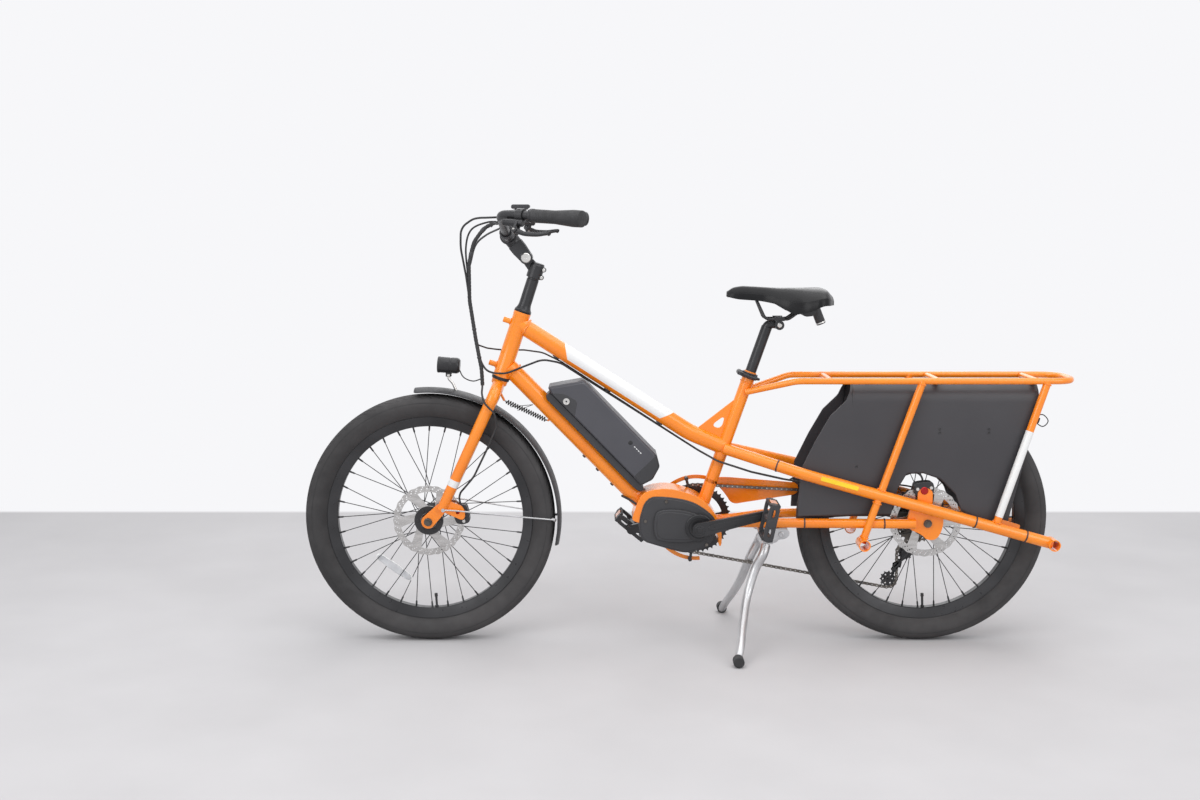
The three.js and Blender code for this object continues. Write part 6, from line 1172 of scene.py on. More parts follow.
# %% Motor
case, panel = motor_outline(MOTOR), motor_outline(MOTOR_PANEL)
motor_shapes = [plate(case, -53, 34), plate(moved_in(case, 4), -55, 36), plate(panel, -62, -50),
    plate(moved_in(panel, 7), -63.4, -60)]
for angle in (104, 262):
    mid = CRANK + 108 * heading(angle)
    near = CRANK + 60 * heading(angle)
    web_y = np.array([0, 38.4, 0])
    motor_shapes.append(rod(near + web_y, mid + web_y, 3.6, 16))
    motor_shapes.append(rod(mid + (0, 35, 0), mid + (0, 55.2, 0), 5, 24))
piece("motor_shell", motor_shapes, "black_plastic", "frame", "motor_unit", bevel=3.2)
disc_profile = [(13, -62), (24, -62), (27, -63), (33, -63), (34.4, -64.4), (34.4, -66.4), (33, -67.4),
    (26, -67.4), (25, -66.4), (13, -66.4), (13, -62)]
piece("motor_side_disc", [lathe(disc_profile, CRANK, sides=80)], "black_alloy", "frame")
motor_bolts = []
for x, z in ((-92, 318), (62, 258), (-40, 368)):
    motor_bolts.append(lathe([(0, -56.6), (1.8, -56.6), (1.8, -57.6), (3.6, -57.6), (4, -57), (4, -52),
        (0, -52)], (x, 0, z), sides=18))
piece("motor_bolts", motor_bolts, "dark_steel", "frame")

# %% Chain guard
hoop = np.concatenate([arc((42, 303), 113, 72, 276, 90), arc((42, 303), 103, 276, 72, 90)])
blade = np.array([(.08, 0), (.3, .1), (1, -1.4), (1, -4.4), (.56, -6.2), (.35, -7.1), (.29, -4.4),
    (.18, -1.2)]) * (264, 10) + (42, 409)
guard_shapes = [plate(hoop, 55.5, 58.5), plate(softened(blade, 3), 55.5, 58.5)]
piece("chain_guard_plate", guard_shapes, "orange_paint", "frame", "chain_guard", bevel=0.7)
guard_screws = []
for angle in (104, 262):
    guard_screws.append(lathe([(0, 60.4), (2, 60.4), (2, 61.4), (4.6, 61), (5.2, 60), (5.2, 58), (0, 58)],
        CRANK + 108 * heading(angle), sides=20))
piece("guard_screws", guard_screws, "bright_steel", "frame")

# %% [markdown]
# The kickstand is a pair of tapering cast legs on one yoke. Its corner places are joined by a smooth
# curve instead of rounded bends, because the real legs sweep outwards without a straight run. The feet
# are grooved rubber drums.

# %% Kickstand
LEG_SHARES = np.array([(0, -.05, 0), (.1, .03, .09), (.33, .02, .25), (.57, .13, .5), (.75, .46, .71),
    (.9, .86, .9), (1, 1, 1)])
LEG_TOP, LEG_FOOT = np.array([211, 58, 255]), np.array([128, 219, 13.46])
PIVOT = np.array([233.0, 0, 272])
stand_shapes = [lathe([(6.4, -29.6), (13, -29.6), (13, 29.6), (6.4, 29.6), (6.4, -29.6)], PIVOT, sides=40),
    pin((211, 0, 255), 56, 11, 32), rod(PIVOT, (211, 0, 255), 9, 24), block((211, -24, 252), (233, 24, 272))]
foot_shapes = []
for side in (-1, 1):
    corners = (LEG_TOP + (LEG_FOOT - LEG_TOP) * LEG_SHARES) * (1, side, 1)
    leg_path = smooth_path(np.concatenate([corners, [(128, side * 232, 13.46)]]), 70)
    stand_shapes.append(tube(leg_path, np.linspace(12.4, 9.2, 70), 28))
    profile = [(0, 0), (13.4, 0), (14.6, 1), (14.6, 4), (13.6, 5), (13.6, 6), (14.7, 7), (14.7, 11),
        (13.6, 12), (13.6, 13), (14.7, 14), (14.7, 18), (13.6, 19), (13.6, 20), (14.6, 21), (14.6, 24.4),
        (12.6, 26), (0, 26)]
    radii = [(radius * 13.42 / 14.7, y) for radius, y in profile]
    foot_shapes.append(lathe(radii, LEG_FOOT * (1, side, 1), (0, side, 0), 40))
piece("kickstand_legs", stand_shapes, "silver_metal", "kickstand", "kickstand")
piece("kickstand_feet", foot_shapes, "rubber", "kickstand")
cheek = np.concatenate([[(219, 302)], arc((233, 272), 14, 180, 360, 16), [(247, 302)]])
bracket_shapes = [plate(softened(oblong(190, 286, 266, 302), 2), -60.6, 60.6)]
for side in (-1, 1):
    bracket_shapes.append(plate(cheek, *span(side, 30, 36)))
    flange = softened([(192, 268), (266, 276), (270, 300), (186, 300)], 2)
    slot = softened([(206, 280), (222, 282), (222, 288), (206, 286)], 2)
    bracket_shapes.append(plate(flange, *span(side, 61, 66), [slot]))
    bracket_shapes.append(lathe([(0, 70.4), (3, 70.4), (3, 71.6), (6.4, 71.6), (7, 70.8), (7, 65), (0, 65)],
        (248, 0, 287), (0, side, 0), 24))
bracket_shapes.append(pin(PIVOT, 38.5, 6, 28))
piece("kickstand_bracket_plates", bracket_shapes, "silver_metal", "frame", "kickstand_bracket", bevel=0.8)

# %% [markdown]
# ## Battery
# The battery slides off a base on the down tube, so both are drawn in the tube's own frame: one direction
# runs down the tube, the other away from it. Its body is a plate with broad bevels, and a lock plate, a
# ring, small lamps and a button are laid on its left flank.

# %% Battery and its base
SHARES = np.array([(0, .06), (.04, 0), (.974, 0), (1, .375), (.968, .82), (.89, 1), (.16, 1), (.14, .97)])
BATTERY = SHARES * (350, 80) + (105, 33.6)
in_tube = dict(origin=DOWN_TOP, u=DOWN_RUN)


def on_tube(u, w):
    """A place u along the down tube and w out from it: top + u run + w out."""
    return DOWN_TOP + DOWN_RUN * u + DOWN_OUT * w


battery_outline = softened(BATTERY, 2, 3)
battery_shapes = [plate(battery_outline, -41, 41, **in_tube),
    plate(moved_in(battery_outline, 4.5), -43.6, 43.6, **in_tube)]
piece("battery_case", battery_shapes, "grey_plastic", "battery", "battery", bevel=3.4)
end_cap = softened([(415, 33), (446.6, 33), (455.6, 63.6), (444.4, 99.4), (418, 114.2), (415, 114.2)], 2, 3)
lock_plate = plate(softened([(122, 35), (146, 57), (182, 67), (205, 35)], 2, 4), -44.2, 44.2, **in_tube)
piece("battery_lock_plate", [lock_plate], "black_plastic", "battery", bevel=0.8)
cap_shapes = [plate(end_cap, -41.5, 41.5, **in_tube), plate(moved_in(end_cap, 4), -44.1, 44.1, **in_tube)]
piece("battery_end_cap", cap_shapes, "black_plastic", "battery", bevel=2.6)
lock = [lathe([(0, 44), (2.4, 44), (2.4, 44.6), (5.6, 44.6), (6.2, 46.4), (8.2, 46.4), (8.2, 43), (0, 43)],
    on_tube(163, 47), (0, -1, 0), 36)]
piece("battery_lock_ring", lock, "bright_steel", "battery")
lamps = [plate(softened(oblong(u, 88, u + 4.6, 90.4), 1, 1), -44, -43, **in_tube)
    for u in (362, 369, 376, 383)]
piece("battery_lamps", lamps, "white_paint", "battery")
button = lathe([(0, 44.4), (4.6, 44.4), (5.6, 43.8), (5.6, 42), (0, 42)], on_tube(349, 89), (0, -1, 0), 24)
piece("battery_button", [button], "black_alloy", "battery")
base_section = [(118, 14), (446, 14), (460, 20), (460, 33.2), (118, 33.2)]
base_shapes = [plate(softened(base_section, 1), -34, 34, **in_tube)]
piece("battery_base", base_shapes, "black_plastic", "frame", "battery_mount", bevel=2.2)

# %% [markdown]
# ## Fork, fender and headlight
# Each fork blade bends out of the crown and thins towards the axle. One path with a falling radius gives
# both; a cone would need a joint at the bend.

# %% Fork
crown_top = np.array([-461.5, 0, 657])
fork_shapes = [lathe([(0, -14.6), (17, -14.6), (19.6, -12), (20.4, -0.8), (14.3, -0.8), (14.3, 0),
    (14.3, head_length - 0.6), (11.4, head_length - 0.6), (11.4, head_length - 70),
    (0, head_length - 70)], HEAD_LOW, STEER_UP, 48)]
for side in (-1, 1):
    half_path = rounded([(-461.5, side * 2, 658), (-461.5, side * 16, 657), (-467, side * 58, 641),
        (-603, side * 58, 348)], 34, 16)
    distance = travelled(half_path)
    fork_shapes.append(tube(half_path, np.interp(distance, [0, 60, distance[-1]], [15, 15, 12.6]), 32))
    tip = arc((-637, 317), 17, 135, 315, 20)
    root = [(-590, 346), (-612, 362)]
    fork_shapes.append(plate(np.concatenate([tip, root]), *span(side, 50.2, 58.2),
        [circle((-637, 317), 6.4, 28)]))
tab = softened([(-603, 379), (-603, 345), (-544, 319), (-544, 355)], 2)
fork_shapes.append(plate(tab, -62, -54, [circle((-562, 342), 5, 20)]))
spring_lug = spring_front - spring_run * 10
fork_shapes.append(rod((-461.5, 0, 646), spring_lug, 3, 16))
piece("fork_blades", fork_shapes, "orange_paint", "steering", "fork", bevel=0.8, sharp=40)

# %% [markdown]
# The fender is one thin strip round the tyre: an arched section, 68 mm wide, is repeated along a circle
# and given its thickness by Solidify. A cut tube would not have its rolled edges, for which the section
# turns down at both ends.

# %% Fender and its stays
def fender_strip():
    """Height over the section is 9 (cos(pi y / 70)^0.6 - 1) mm, added to a radius of 332.5 mm."""
    y = np.linspace(-34, 34, 33)
    lift = 9.0 * (np.cos(math.pi * y / 70) ** 0.6 - 1) - np.where(np.abs(y) > 32, 0.8, 0)
    angle = np.radians(np.linspace(96, -12, 160))[:, None]
    ends = np.clip((np.abs(np.linspace(-1, 1, 160)) - 0.975) / 0.025, 0, 1)[:, None]
    radius = 332.4 + lift[None]
    width = y[None] * (1 - 0.25 * ends ** 2)
    radius = np.broadcast_to(radius, width.shape)
    points = np.stack([-637 + radius * np.cos(angle), width, 317 + radius * np.sin(angle)], -1)
    return points.reshape(-1, 3), grid_faces(160, 33, wrap_columns=False)


piece("front_fender_strip", [fender_strip()], "black_plastic", "steering", "front_fender", thick=2.2)
stay_shapes = []
for side in (-1, 1):
    stay_shapes.append(tube(smooth_path([(-597, side * 73, 350), (-560, side * 72, 348),
        (-440, side * 54, 332), (-322, side * 34, 317)], 40), 2, 14))
    stay_shapes.append(rod((-597, side * 66, 350), (-597, side * 76, 350), 4.6, 16))
    stay_shapes.append(rod((-326, side * 30, 318), (-318, side * 35, 316), 4, 14))
axle_to_crown = unit(crown_top - AXLES["front"])
stay_shapes.append(rod(AXLES["front"] + axle_to_crown * 331, crown_top - axle_to_crown * 9, 6.6, 24))
piece("fender_stays", stay_shapes, "silver_metal", "steering", slot="black_paint")
light_foot = AXLES["front"] + 331.6 * heading(78)
light_pivot = np.array([-586.0, 0, 681])
arm = tube(smooth_path([light_foot, (-576, 0, 660), (-586, 0, 672), light_pivot], 16), 3.4, 16)
piece("headlight_arm", [arm, pin(light_pivot, 4, 7)], "bright_steel", "steering")

# %% Headlight
light_run = heading(-4)
light_centre = np.array([-585.0, 0, 706])
can = lathe([(0, 27.5), (15, 27.5), (18, 25), (20, 20), (20, 6), (19.2, 5), (19.2, 2), (20, 1), (20, -22),
    (20.6, -23), (20.6, -27), (19, -28.5), (17.6, -26), (17.2, -20), (0, -20)], light_centre, light_run, 56)
ears = [block((-593, y, 678), (-579, y + 3, 694)) for y in (-7.6, 4.6)]
piece("headlight_can", [can, *ears], "black_alloy", "headlight", "headlight", bevel=0.3)
glass = lathe([(0, -24), (9, -25.4), (15, -24.6), (17.4, -22), (17.4, -20), (0, -20)], light_centre,
    light_run, 48)
piece("headlight_glass", [glass], "clear_lens", "headlight")
pivot_bolt = lathe(both_ways([(4, 9.6), (3, 10.4), (0, 10.4)]), light_pivot, sides=20)
piece("headlight_bolt", [pivot_bolt], "bright_steel", "headlight")

# %% [markdown]
# ## Cockpit
# The stem is a stack of turned and plated pieces: a riser with a flare, a clamp with two bolts, a disc at
# the tilt pivot and the clamp round the bar. The lower ones are placed by distances along the riser, the
# upper ones from the pivot.

# %% Riser and stem
RISER_TOP = np.array([-362.0, 0, 954])
RISER_BASE = HEAD_TOP + STEER_UP * 0.3
RISER_RUN = unit(RISER_TOP - RISER_BASE)
RISER_BACK = -quarter_turn(RISER_RUN)
riser_length = np.linalg.norm(RISER_TOP - RISER_BASE)
riser = lathe([(0, 0), (20.5, 0), (21.4, 1.4), (21.4, 4.4), (20, 6), (17.8, 10), (16.2, 15), (15.4, 20),
    (15.2, riser_length - 36), (14.3, riser_length - 35), (14.3, riser_length), (0, riser_length)],
    RISER_BASE, RISER_RUN, 56)
spigot = rod(RISER_BASE - STEER_UP * 58, RISER_BASE + STEER_UP * 2, 10.8, 32)
piece("riser_tube", [riser, spigot], "black_alloy", "steering", "steerer_riser")
CLAMP_TOP = RISER_TOP + RISER_RUN * 2.5
stem_clamp = lathe([(14.4, -34), (18, -34), (19, -33), (19, -1), (18, 0), (17, 2), (17, 4.2), (15.6, 5.2),
    (0, 5.2), (0, 0.4), (14.4, 0.4), (14.4, -34)], CLAMP_TOP, RISER_RUN, 48)
stem_shapes = [stem_clamp]
stem_bolts = []
for distance in (7, 27):
    ear = CLAMP_TOP - RISER_RUN * distance + RISER_BACK * 19
    stem_shapes.append(pin(ear, 12, 5.8))
    stem_bolts.append(lathe([(0, -15), (3.2, -15), (4.2, -14.2), (4.2, 14), (3, 15), (0, 15)], ear, sides=20))
STEM_PIVOT = np.array([-389.0, 0, 974.5])
BAR_CLAMP = np.array([-432.0, 0, 1028])
stem_shapes.append(pin(STEM_PIVOT, 9, 16, 40))
bridge_start = CLAMP_TOP - RISER_RUN * 15
bridge_run = unit(STEM_PIVOT - bridge_start)
bridge_length = math.dist(tuple(STEM_PIVOT), tuple(bridge_start))
bridge_outline = [(8, -14), (bridge_length, -10), (bridge_length, 13), (8, 14)]
stem_shapes.append(plate(bridge_outline, -9, 9, origin=bridge_start, u=bridge_run))
piece("stem_base_clamp", stem_shapes, "black_alloy", "steering", "stem_base", bevel=0.6)
stem_bolts.append(lathe(both_ways([(4, 20.8), (12, 20.8), (12, 23.2), (10.6, 24.4), (3.4, 24.4),
    (3, 23.4), (0, 23.4)]), STEM_PIVOT, sides=40))
piece("stem_bolts", stem_bolts, "bright_steel", "steering")
arm_run = unit(BAR_CLAMP - STEM_PIVOT)
arm_shapes = []
cheek_outline = np.concatenate([arc((0, 0), 15.6, 90, 270, 16), oblong(26, -18.6, 44, 18.6)])
for side in (-1, 1):
    arm_shapes.append(lathe([(5, 9.4), (15, 9.4), (16, 10.2), (16, 20.2), (15, 21), (5, 21), (5, 9.4)],
        STEM_PIVOT, (0, side, 0), 48))
    arm_shapes.append(plate(cheek_outline, *span(side, 9.6, 20.4), origin=STEM_PIVOT, u=arm_run))
arm_shapes.append(tube([STEM_PIVOT + arm_run * 17, STEM_PIVOT + arm_run * 27, STEM_PIVOT + arm_run * 40,
    BAR_CLAMP - arm_run * 12], [13.4, 16.4, 18.4, 19], 40))
arm_shapes.append(lathe([(16.2, -24), (20, -24), (21, -23), (21, 23), (20, 24), (16.2, 24), (16.2, -24)],
    BAR_CLAMP, sides=48))
piece("stem_arm_body", arm_shapes, "black_alloy", "handlebar", "stem_arm", bevel=0.5)
face_bolts = []
for y in (-15, 15):
    for turn in (-32, 32):
        out = heading(math.degrees(math.atan2(arm_run[2], arm_run[0])) + turn)
        face_bolts.append(lathe([(0, 23.4), (2, 23.4), (3.4, 22.8), (3.4, 18), (0, 18)],
            BAR_CLAMP + (0, y, 0), out, 18))
piece("stem_face_bolts", face_bolts, "bright_steel", "handlebar")

# %% Handlebar and grips
GRIP_START = {side: np.array([-361.0, side * 262, 1077]) for side in (-1, 1)}
GRIP_END = {side: np.array([-250.0, side * 322, 1070]) for side in (-1, 1)}
left_run = unit(GRIP_END[-1] - GRIP_START[-1])
left_half = [GRIP_END[-1] - left_run * 1, GRIP_START[-1] - left_run * 48, (-437, -212, 1079),
    (-432, -63, 1028), (-432, -40, 1028)]
right_half = [np.array(point) * (1, -1, 1) for point in left_half[::-1]]
bar = tube(rounded(left_half + right_half, 52, 12), 11.1, 28)
centre_bar = tube([(-432, y, 1028) for y in (-52, -45, 45, 52)], [11.2, 15.9, 15.9, 11.2], 32)
piece("handlebar_tube", [bar, centre_bar], "black_alloy", "handlebar", "handlebar")
GRIP_LENGTH = np.linalg.norm(GRIP_END[-1] - GRIP_START[-1])


def grip_shape(side):
    """A turned grip whose radius gains a palm rest: r (1 + bulge) towards the rear, and shallow ribs."""
    run = unit(GRIP_END[side] - GRIP_START[side])
    u = unit(np.cross(run, (0, 0, 1)))
    u = u if u[0] > 0 else -u
    v = np.cross(u, run)
    v = v if v[2] > 0 else -v
    s = np.concatenate([np.linspace(4, GRIP_LENGTH + 3.6, 120), [GRIP_LENGTH + 4.6]])
    angle = np.linspace(0, 2 * math.pi, 48, endpoint=False)
    waist = np.interp(s, [4, 8, 60, GRIP_LENGTH * 0.86, GRIP_LENGTH + 3.6, GRIP_LENGTH + 4.6],
        [16.4, 15.6, 15.4, 19.4, 19.0, 17.0])
    palm = np.interp(s, [4, 40, GRIP_LENGTH * 0.85, GRIP_LENGTH + 4], [0, 2.5, 6.5, 5.5])
    bulge = np.maximum(np.cos(angle), 0) ** 2
    radius = waist[:, None] + palm[:, None] * bulge[None]
    radius -= (0.5 * ((np.sin(s * 1.1) > 0.3) & (s > 14) & (s < 70)))[:, None] * (np.sin(angle) < 0.5)
    points = (GRIP_START[side] + s[:, None, None] * run + radius[..., None]
        * (np.cos(angle)[None, :, None] * u + np.sin(angle)[None, :, None] * v)).reshape(-1, 3)
    last = 120 * 48
    faces = grid_faces(121, 48) + [list(range(48))[::-1], list(range(last, last + 48))]
    return points, faces


for side_name, side in SIDES:
    piece(f"{side_name}_grip_cover", [grip_shape(side)], "rubber", "handlebar", f"{side_name}_grip")
    run = unit(GRIP_END[side] - GRIP_START[side])
    collar = lathe([(11.3, 0.4), (15.6, 0.4), (16.4, 1.2), (16.4, 7), (15.6, 8), (11.3, 8), (11.3, 0.4)],
        GRIP_START[side] - run * 4.6, run, 40)
    piece(f"{side_name}_grip_collar", [collar], "black_alloy", "handlebar")

# %% [markdown]
# The brake levers turn under the grips. The blade is a round bar on a curved path with a hooked tip, and
# its clamp holds a fluid body along the bar. They are placed from the bar's own direction, so both sides
# come from one function.

# %% Brake levers
def lever_frame(side):
    """Clamp centre, bar direction, the way down to the pivot, the hinge axis and the pivot."""
    run = unit(GRIP_END[side] - GRIP_START[side])
    centre = GRIP_START[side] - run * 30
    lean = np.array([0.0, side * 24, -34])
    down = unit(lean - run * (lean @ run))
    return centre, run, down, unit(np.cross(run, down)), centre + down * math.hypot(24, 34)


for side_name, side in SIDES:
    centre, run, down, hinge, pivot = lever_frame(side)
    clamp = ring(15.4, 11.3, -9, 9, centre, run, 40)
    body_centre = centre + down * 21
    body = tube([body_centre - run * 40, body_centre - run * 38, body_centre - run * 10,
        body_centre + run * 12, body_centre + run * 14], [6, 8.4, 9.2, 8.6, 7], 28)
    web = [rod(body_centre + hinge * k, pivot - down * 2 + hinge * k, 4.2, 16) for k in (-7.6, 7.6)]
    ears = [rod(pivot + hinge * 5.6 * k, pivot + hinge * 9 * k, 8, 28) for k in (-1, 1)]
    bolt = rod(centre - down * 4 - hinge * 15, centre - down * 4 + hinge * 15, 4, 16)
    piece(f"{side_name}_lever_clamp", [clamp, body, *web, *ears, bolt], "black_alloy", "handlebar",
        f"{side_name}_lever_mount", bevel=0.4)
    hinge_pin = lathe(oblong(0, -9.8, 3, 9.8), pivot, hinge, 20)
    piece(f"{side_name}_lever_pin", [hinge_pin], "bright_steel", "handlebar")
    corners = [pivot + run * along + down * drop for along, drop in ((0, 0), (14, 3.2), (30, 6.6), (60, 6),
        (79, 2.2), (88, 0.8), (92, 2))]
    blade_path = smooth_path(corners, 40)
    lever = tube(blade_path, np.interp(np.linspace(0, 1, 40), [0, .1, .3, .8, .97, 1],
        [6.8, 6.4, 5.4, 4.8, 6, 4.2]), 24)
    eye = rod(pivot - hinge * 5, pivot + hinge * 5, 7.6, 28)
    piece(f"{side_name}_lever_blade", [lever, eye], "black_alloy", f"{side_name}_lever",
        f"{side_name}_brake_lever")

# %% Display and bell
slope_start = np.array([-432.0, -63, 1028])
slope = np.array([-437.0, -212, 1079]) - slope_start
display_foot = slope_start + slope * (25 / 149)
display_top = display_foot + (36, 0, 62)
case = plate(softened([(-23, -4), (14, -7), (23, 0), (21, 6), (-22, 6)], 1, 2.5), -17, 17,
    origin=display_top)
neck = tube([display_foot, display_foot + (14, 0, 30), display_top - (6, 0, 4)], [6.6, 5.4, 7], 20)
clasp = ring(16, 11.3, -6, 6, display_foot, unit(slope), 32)
piece("display_case", [case, neck, clasp], "black_plastic", "handlebar", "display", bevel=1.6)
screen = plate(softened(oblong(-18, -13, 18, 13), 2), 5.6, 6.5, origin=display_top, u=(1, 0, 0), v=(0, 1, 0))
piece("display_screen", [(screen[0], screen[1])], "screen_glass", "handlebar", bevel=0.3)

# %% [markdown]
# ## Seat
# The saddle is one closed surface. Its width, top line and skirt line are read from short tables, and
# each cross-section is an arch above a drawn-in underside, with a lip where they meet. A stretched ball
# could be pushed into this shape, but would keep its poles at the wrong ends.

# %% Saddle
WIDTHS = [(0, .12), (.03, .18), (.12, .23), (.35, .27), (.55, .52), (.72, .88), (.86, 1), (.95, .86),
    (1, .42)]
TOPS = [(0, -.3), (.04, 0), (.14, .12), (.5, 0), (.75, 0), (.9, .02), (.96, -.12), (1, -.6)]
SKIRTS = [(0, -.55), (.1, -.7), (.3, -.78), (.45, -.95), (.62, -1.6), (.75, -1.4), (.88, -1), (1, -1.02)]


def read(table, share):
    """Reads a table as a smooth curve: a weighted mean of the straight line at nearby places."""
    xs, ys = np.array(table).T
    offsets = np.linspace(-0.035, 0.035, 15)
    return np.mean([np.interp(np.clip(share + offset, 0, 1), xs, ys) for offset in offsets], axis=0)


def saddle_skin(rows, columns):
    """Across = half width * sin(a)^0.75; the top falls with across^3, the underside rises to the middle."""
    share = (1 - np.cos(np.linspace(0, math.pi, rows))) / 2
    half = 94 * read(WIDTHS, share)[:, None]
    top = 900 + 40 * read(TOPS, share)[:, None]
    skirt = 900 + 40 * read(SKIRTS, share)[:, None]
    angle = np.linspace(0, 2 * math.pi, columns, endpoint=False)[None]
    across = np.sign(np.sin(angle)) * np.abs(np.sin(angle)) ** 0.75
    lift = np.cos(angle)
    upper = top - (top - skirt) * 0.55 * np.abs(across) ** 3
    under = top - (top - skirt) * 0.62
    lower = np.minimum(under + (skirt - under) * across ** 2, upper - 2)
    z = np.where(lift >= 0, upper, lower)
    pull = 1 - 0.1 * np.maximum(-lift, 0)
    lip = 1.2 * np.exp(-((lift + 0.12) / 0.14) ** 2) * np.sign(across)
    ends = np.sin(np.linspace(0, math.pi, rows))[:, None] ** 0.5
    groove = 3.2 * np.exp(-(across / 0.16) ** 2) * np.exp(-((share[:, None] - 0.66) / 0.2) ** 2) * (lift > 0)
    points = np.stack([np.broadcast_to(110 + 260 * share[:, None], z.shape),
        half * across * pull + lip * ends, z - groove], -1).reshape(-1, 3)
    last = (rows - 1) * columns
    faces = grid_faces(rows, columns) + [list(range(columns))[::-1], list(range(last, last + columns))]
    return points, faces


saddle = piece("saddle_cushion", [saddle_skin(110, 72)], "saddle_cover", "seat", "saddle", sharp=70)
rail_z = 808 + 12 * math.cos(math.pi / 8) + 3.8
rails = [tube(rounded([(182, side * 4, 874), (205, side * 22, rail_z), (262, side * 22, rail_z),
    (312, side * 22, 858)], 16, 8), 3.5, 18) for side in (-1, 1)]
piece("saddle_rails", rails, "black_alloy", "seat")
under_shapes = [plate(softened([(294, 828), (332, 832), (336, 872), (296, 872)], 2), -27, 27),
    lathe([(0, 0), (10.6, 0), (12, 1.4), (12, 44), (10.8, 46), (0, 46)], (330, 0, 852), unit([18, 0, -44]),
    36)]
piece("saddle_block", under_shapes, "black_plastic", "seat", bevel=1.4)
piece("saddle_block_rim", [ring(12.5, 11.9, 40, 43, (330, 0, 852), unit([18, 0, -44]), 36)], "bright_steel",
    "seat")

# %% Seat post, collar and its lever
post_low = SEAT_TOP - SEAT_UP * 82
post_cap = post_low + SEAT_UP * (82 + math.dist((210, 0, 803), tuple(SEAT_TOP)))
post_shapes = [rod(post_low, post_cap, 13.6, 40),
    tube(smooth_path([post_cap - SEAT_UP * 10, post_cap + SEAT_UP * 3, (226, 0, 810), (240, 0, 808)], 12),
        11.4, 24), pin((240, 0, 808), 26, 11.8, 36)]
post_shapes += [block((228, y, 818.4), (252, y + 8, 829)) for y in (-26, 18)]
piece("seat_post_tube", post_shapes, "black_alloy", "seat", "seat_post", bevel=0.7)
post_bolts = [lathe(both_ways([(6, 29), (5, 30), (0, 30)]), (240, 0, 808), sides=24)]
piece("seat_post_bolts", post_bolts, "bright_steel", "seat")
CLAMP_MIDDLE = SEAT_TOP - SEAT_UP * 10.5
CLAMP_PIN = CLAMP_MIDDLE + SEAT_FORWARD * 26
collar_shapes = [lathe([(16.2, -7.5), (19.6, -7.5), (20.5, -6.6), (20.5, 6.6), (19.6, 7.5), (16.2, 7.5),
    (16.2, -7.5)], CLAMP_MIDDLE, SEAT_UP, 48)]
for low, high in ((-11, -2), (2, 11)):
    ear = plate(softened(oblong(17, -6, 32, 6), 2), low, high, origin=CLAMP_MIDDLE,
        u=SEAT_FORWARD, v=SEAT_UP)
    collar_shapes.append(ear)
collar_shapes.append(lathe([(0, -20), (3, -20), (3, 11), (6, 11), (6.6, 12), (6.6, 15.4), (5, 16), (0, 16)],
    CLAMP_PIN, sides=24))
piece("seat_collar", collar_shapes, "black_alloy", "frame", "seat_clamp", bevel=0.5)
lever_pivot = CLAMP_PIN - (0, 28, 0)
lever_path = smooth_path([lever_pivot, lever_pivot - SEAT_FORWARD * 17 - (0, 2.5, 0),
    lever_pivot - SEAT_FORWARD * 36 - (0, 0.6, 0), lever_pivot - SEAT_FORWARD * 50 + (0, 5, 0)], 24)
clamp_lever = [rod(lever_pivot - SEAT_UP * 4.5, lever_pivot + SEAT_UP * 4.5, 7.6, 28),
    tube(lever_path, np.interp(np.linspace(0, 1, 24), [0, .2, .8, 1], [5.2, 4, 4.4, 3]), 20)]
piece("clamp_lever_blade", clamp_lever, "black_alloy", "clamp_lever", "clamp_lever")

# %% [markdown]
# ## Brakes, tail light and spring
# The calipers straddle their rotors. Each is a softened plate on both sides of a gap, joined over the
# rotor's edge, with a cylinder cap and two bolts. A notch cut by a boolean would give the same gap with
# more work.

# %% Calipers
def caliper(axle, angle, inner, outer, rotor_y):
    """Outline corners stand at a radius and a reach along the tangent at the caliper's angle."""
    radial, tangent = heading(angle), heading(angle + 90)
    at = dict(origin=axle, u=radial)
    corners = [(66, -17.5), (66, 17.5), (78.5, 25), (97.7, 25), (104, 17.5), (104, -17.5), (97.7, -25),
        (78.5, -25)]
    outline = softened(corners, 2)
    shapes = [plate(outline, -outer, rotor_y - 2, **at), plate(outline, rotor_y + 4, -inner, **at)]
    bridge = softened([(92.4, -17), (92.4, 17), (103, 15), (103, -15)], 1)
    shapes.append(plate(bridge, 2 - outer, -2 - inner, **at))
    bolts = []
    for reach in (-17, 17):
        place = axle + radial * 88 + tangent * reach - (0, outer, 0)
        bolts.append(lathe([(0, 3), (1.8, 3), (1.8, 4), (3.8, 4), (4.4, 3.2), (4.4, -2), (0, -2)], place,
            (0, -1, 0), 20))
    cap = lathe([(0, 2.4), (8, 2.4), (9.6, 1), (9.6, -3), (0, -3)], axle + radial * 82 - (0, outer, 0),
        (0, -1, 0), 32)
    return shapes, bolts, cap


CALIPERS = (("front", 12, 28, 53.6, "steering"), ("rear", 96, 41, 67.4, "frame"))
for end, angle, inner, outer, body in CALIPERS:
    shapes, bolts, cap = caliper(AXLES[end], angle, inner, outer, HUBS[end][4])
    piece(f"{end}_caliper_body", shapes, "black_alloy", body, f"{end}_caliper", bevel=1.2)
    piece(f"{end}_caliper_bolts", bolts, "bright_steel", body)
    piece(f"{end}_caliper_cap", [cap], "copper_red", body)

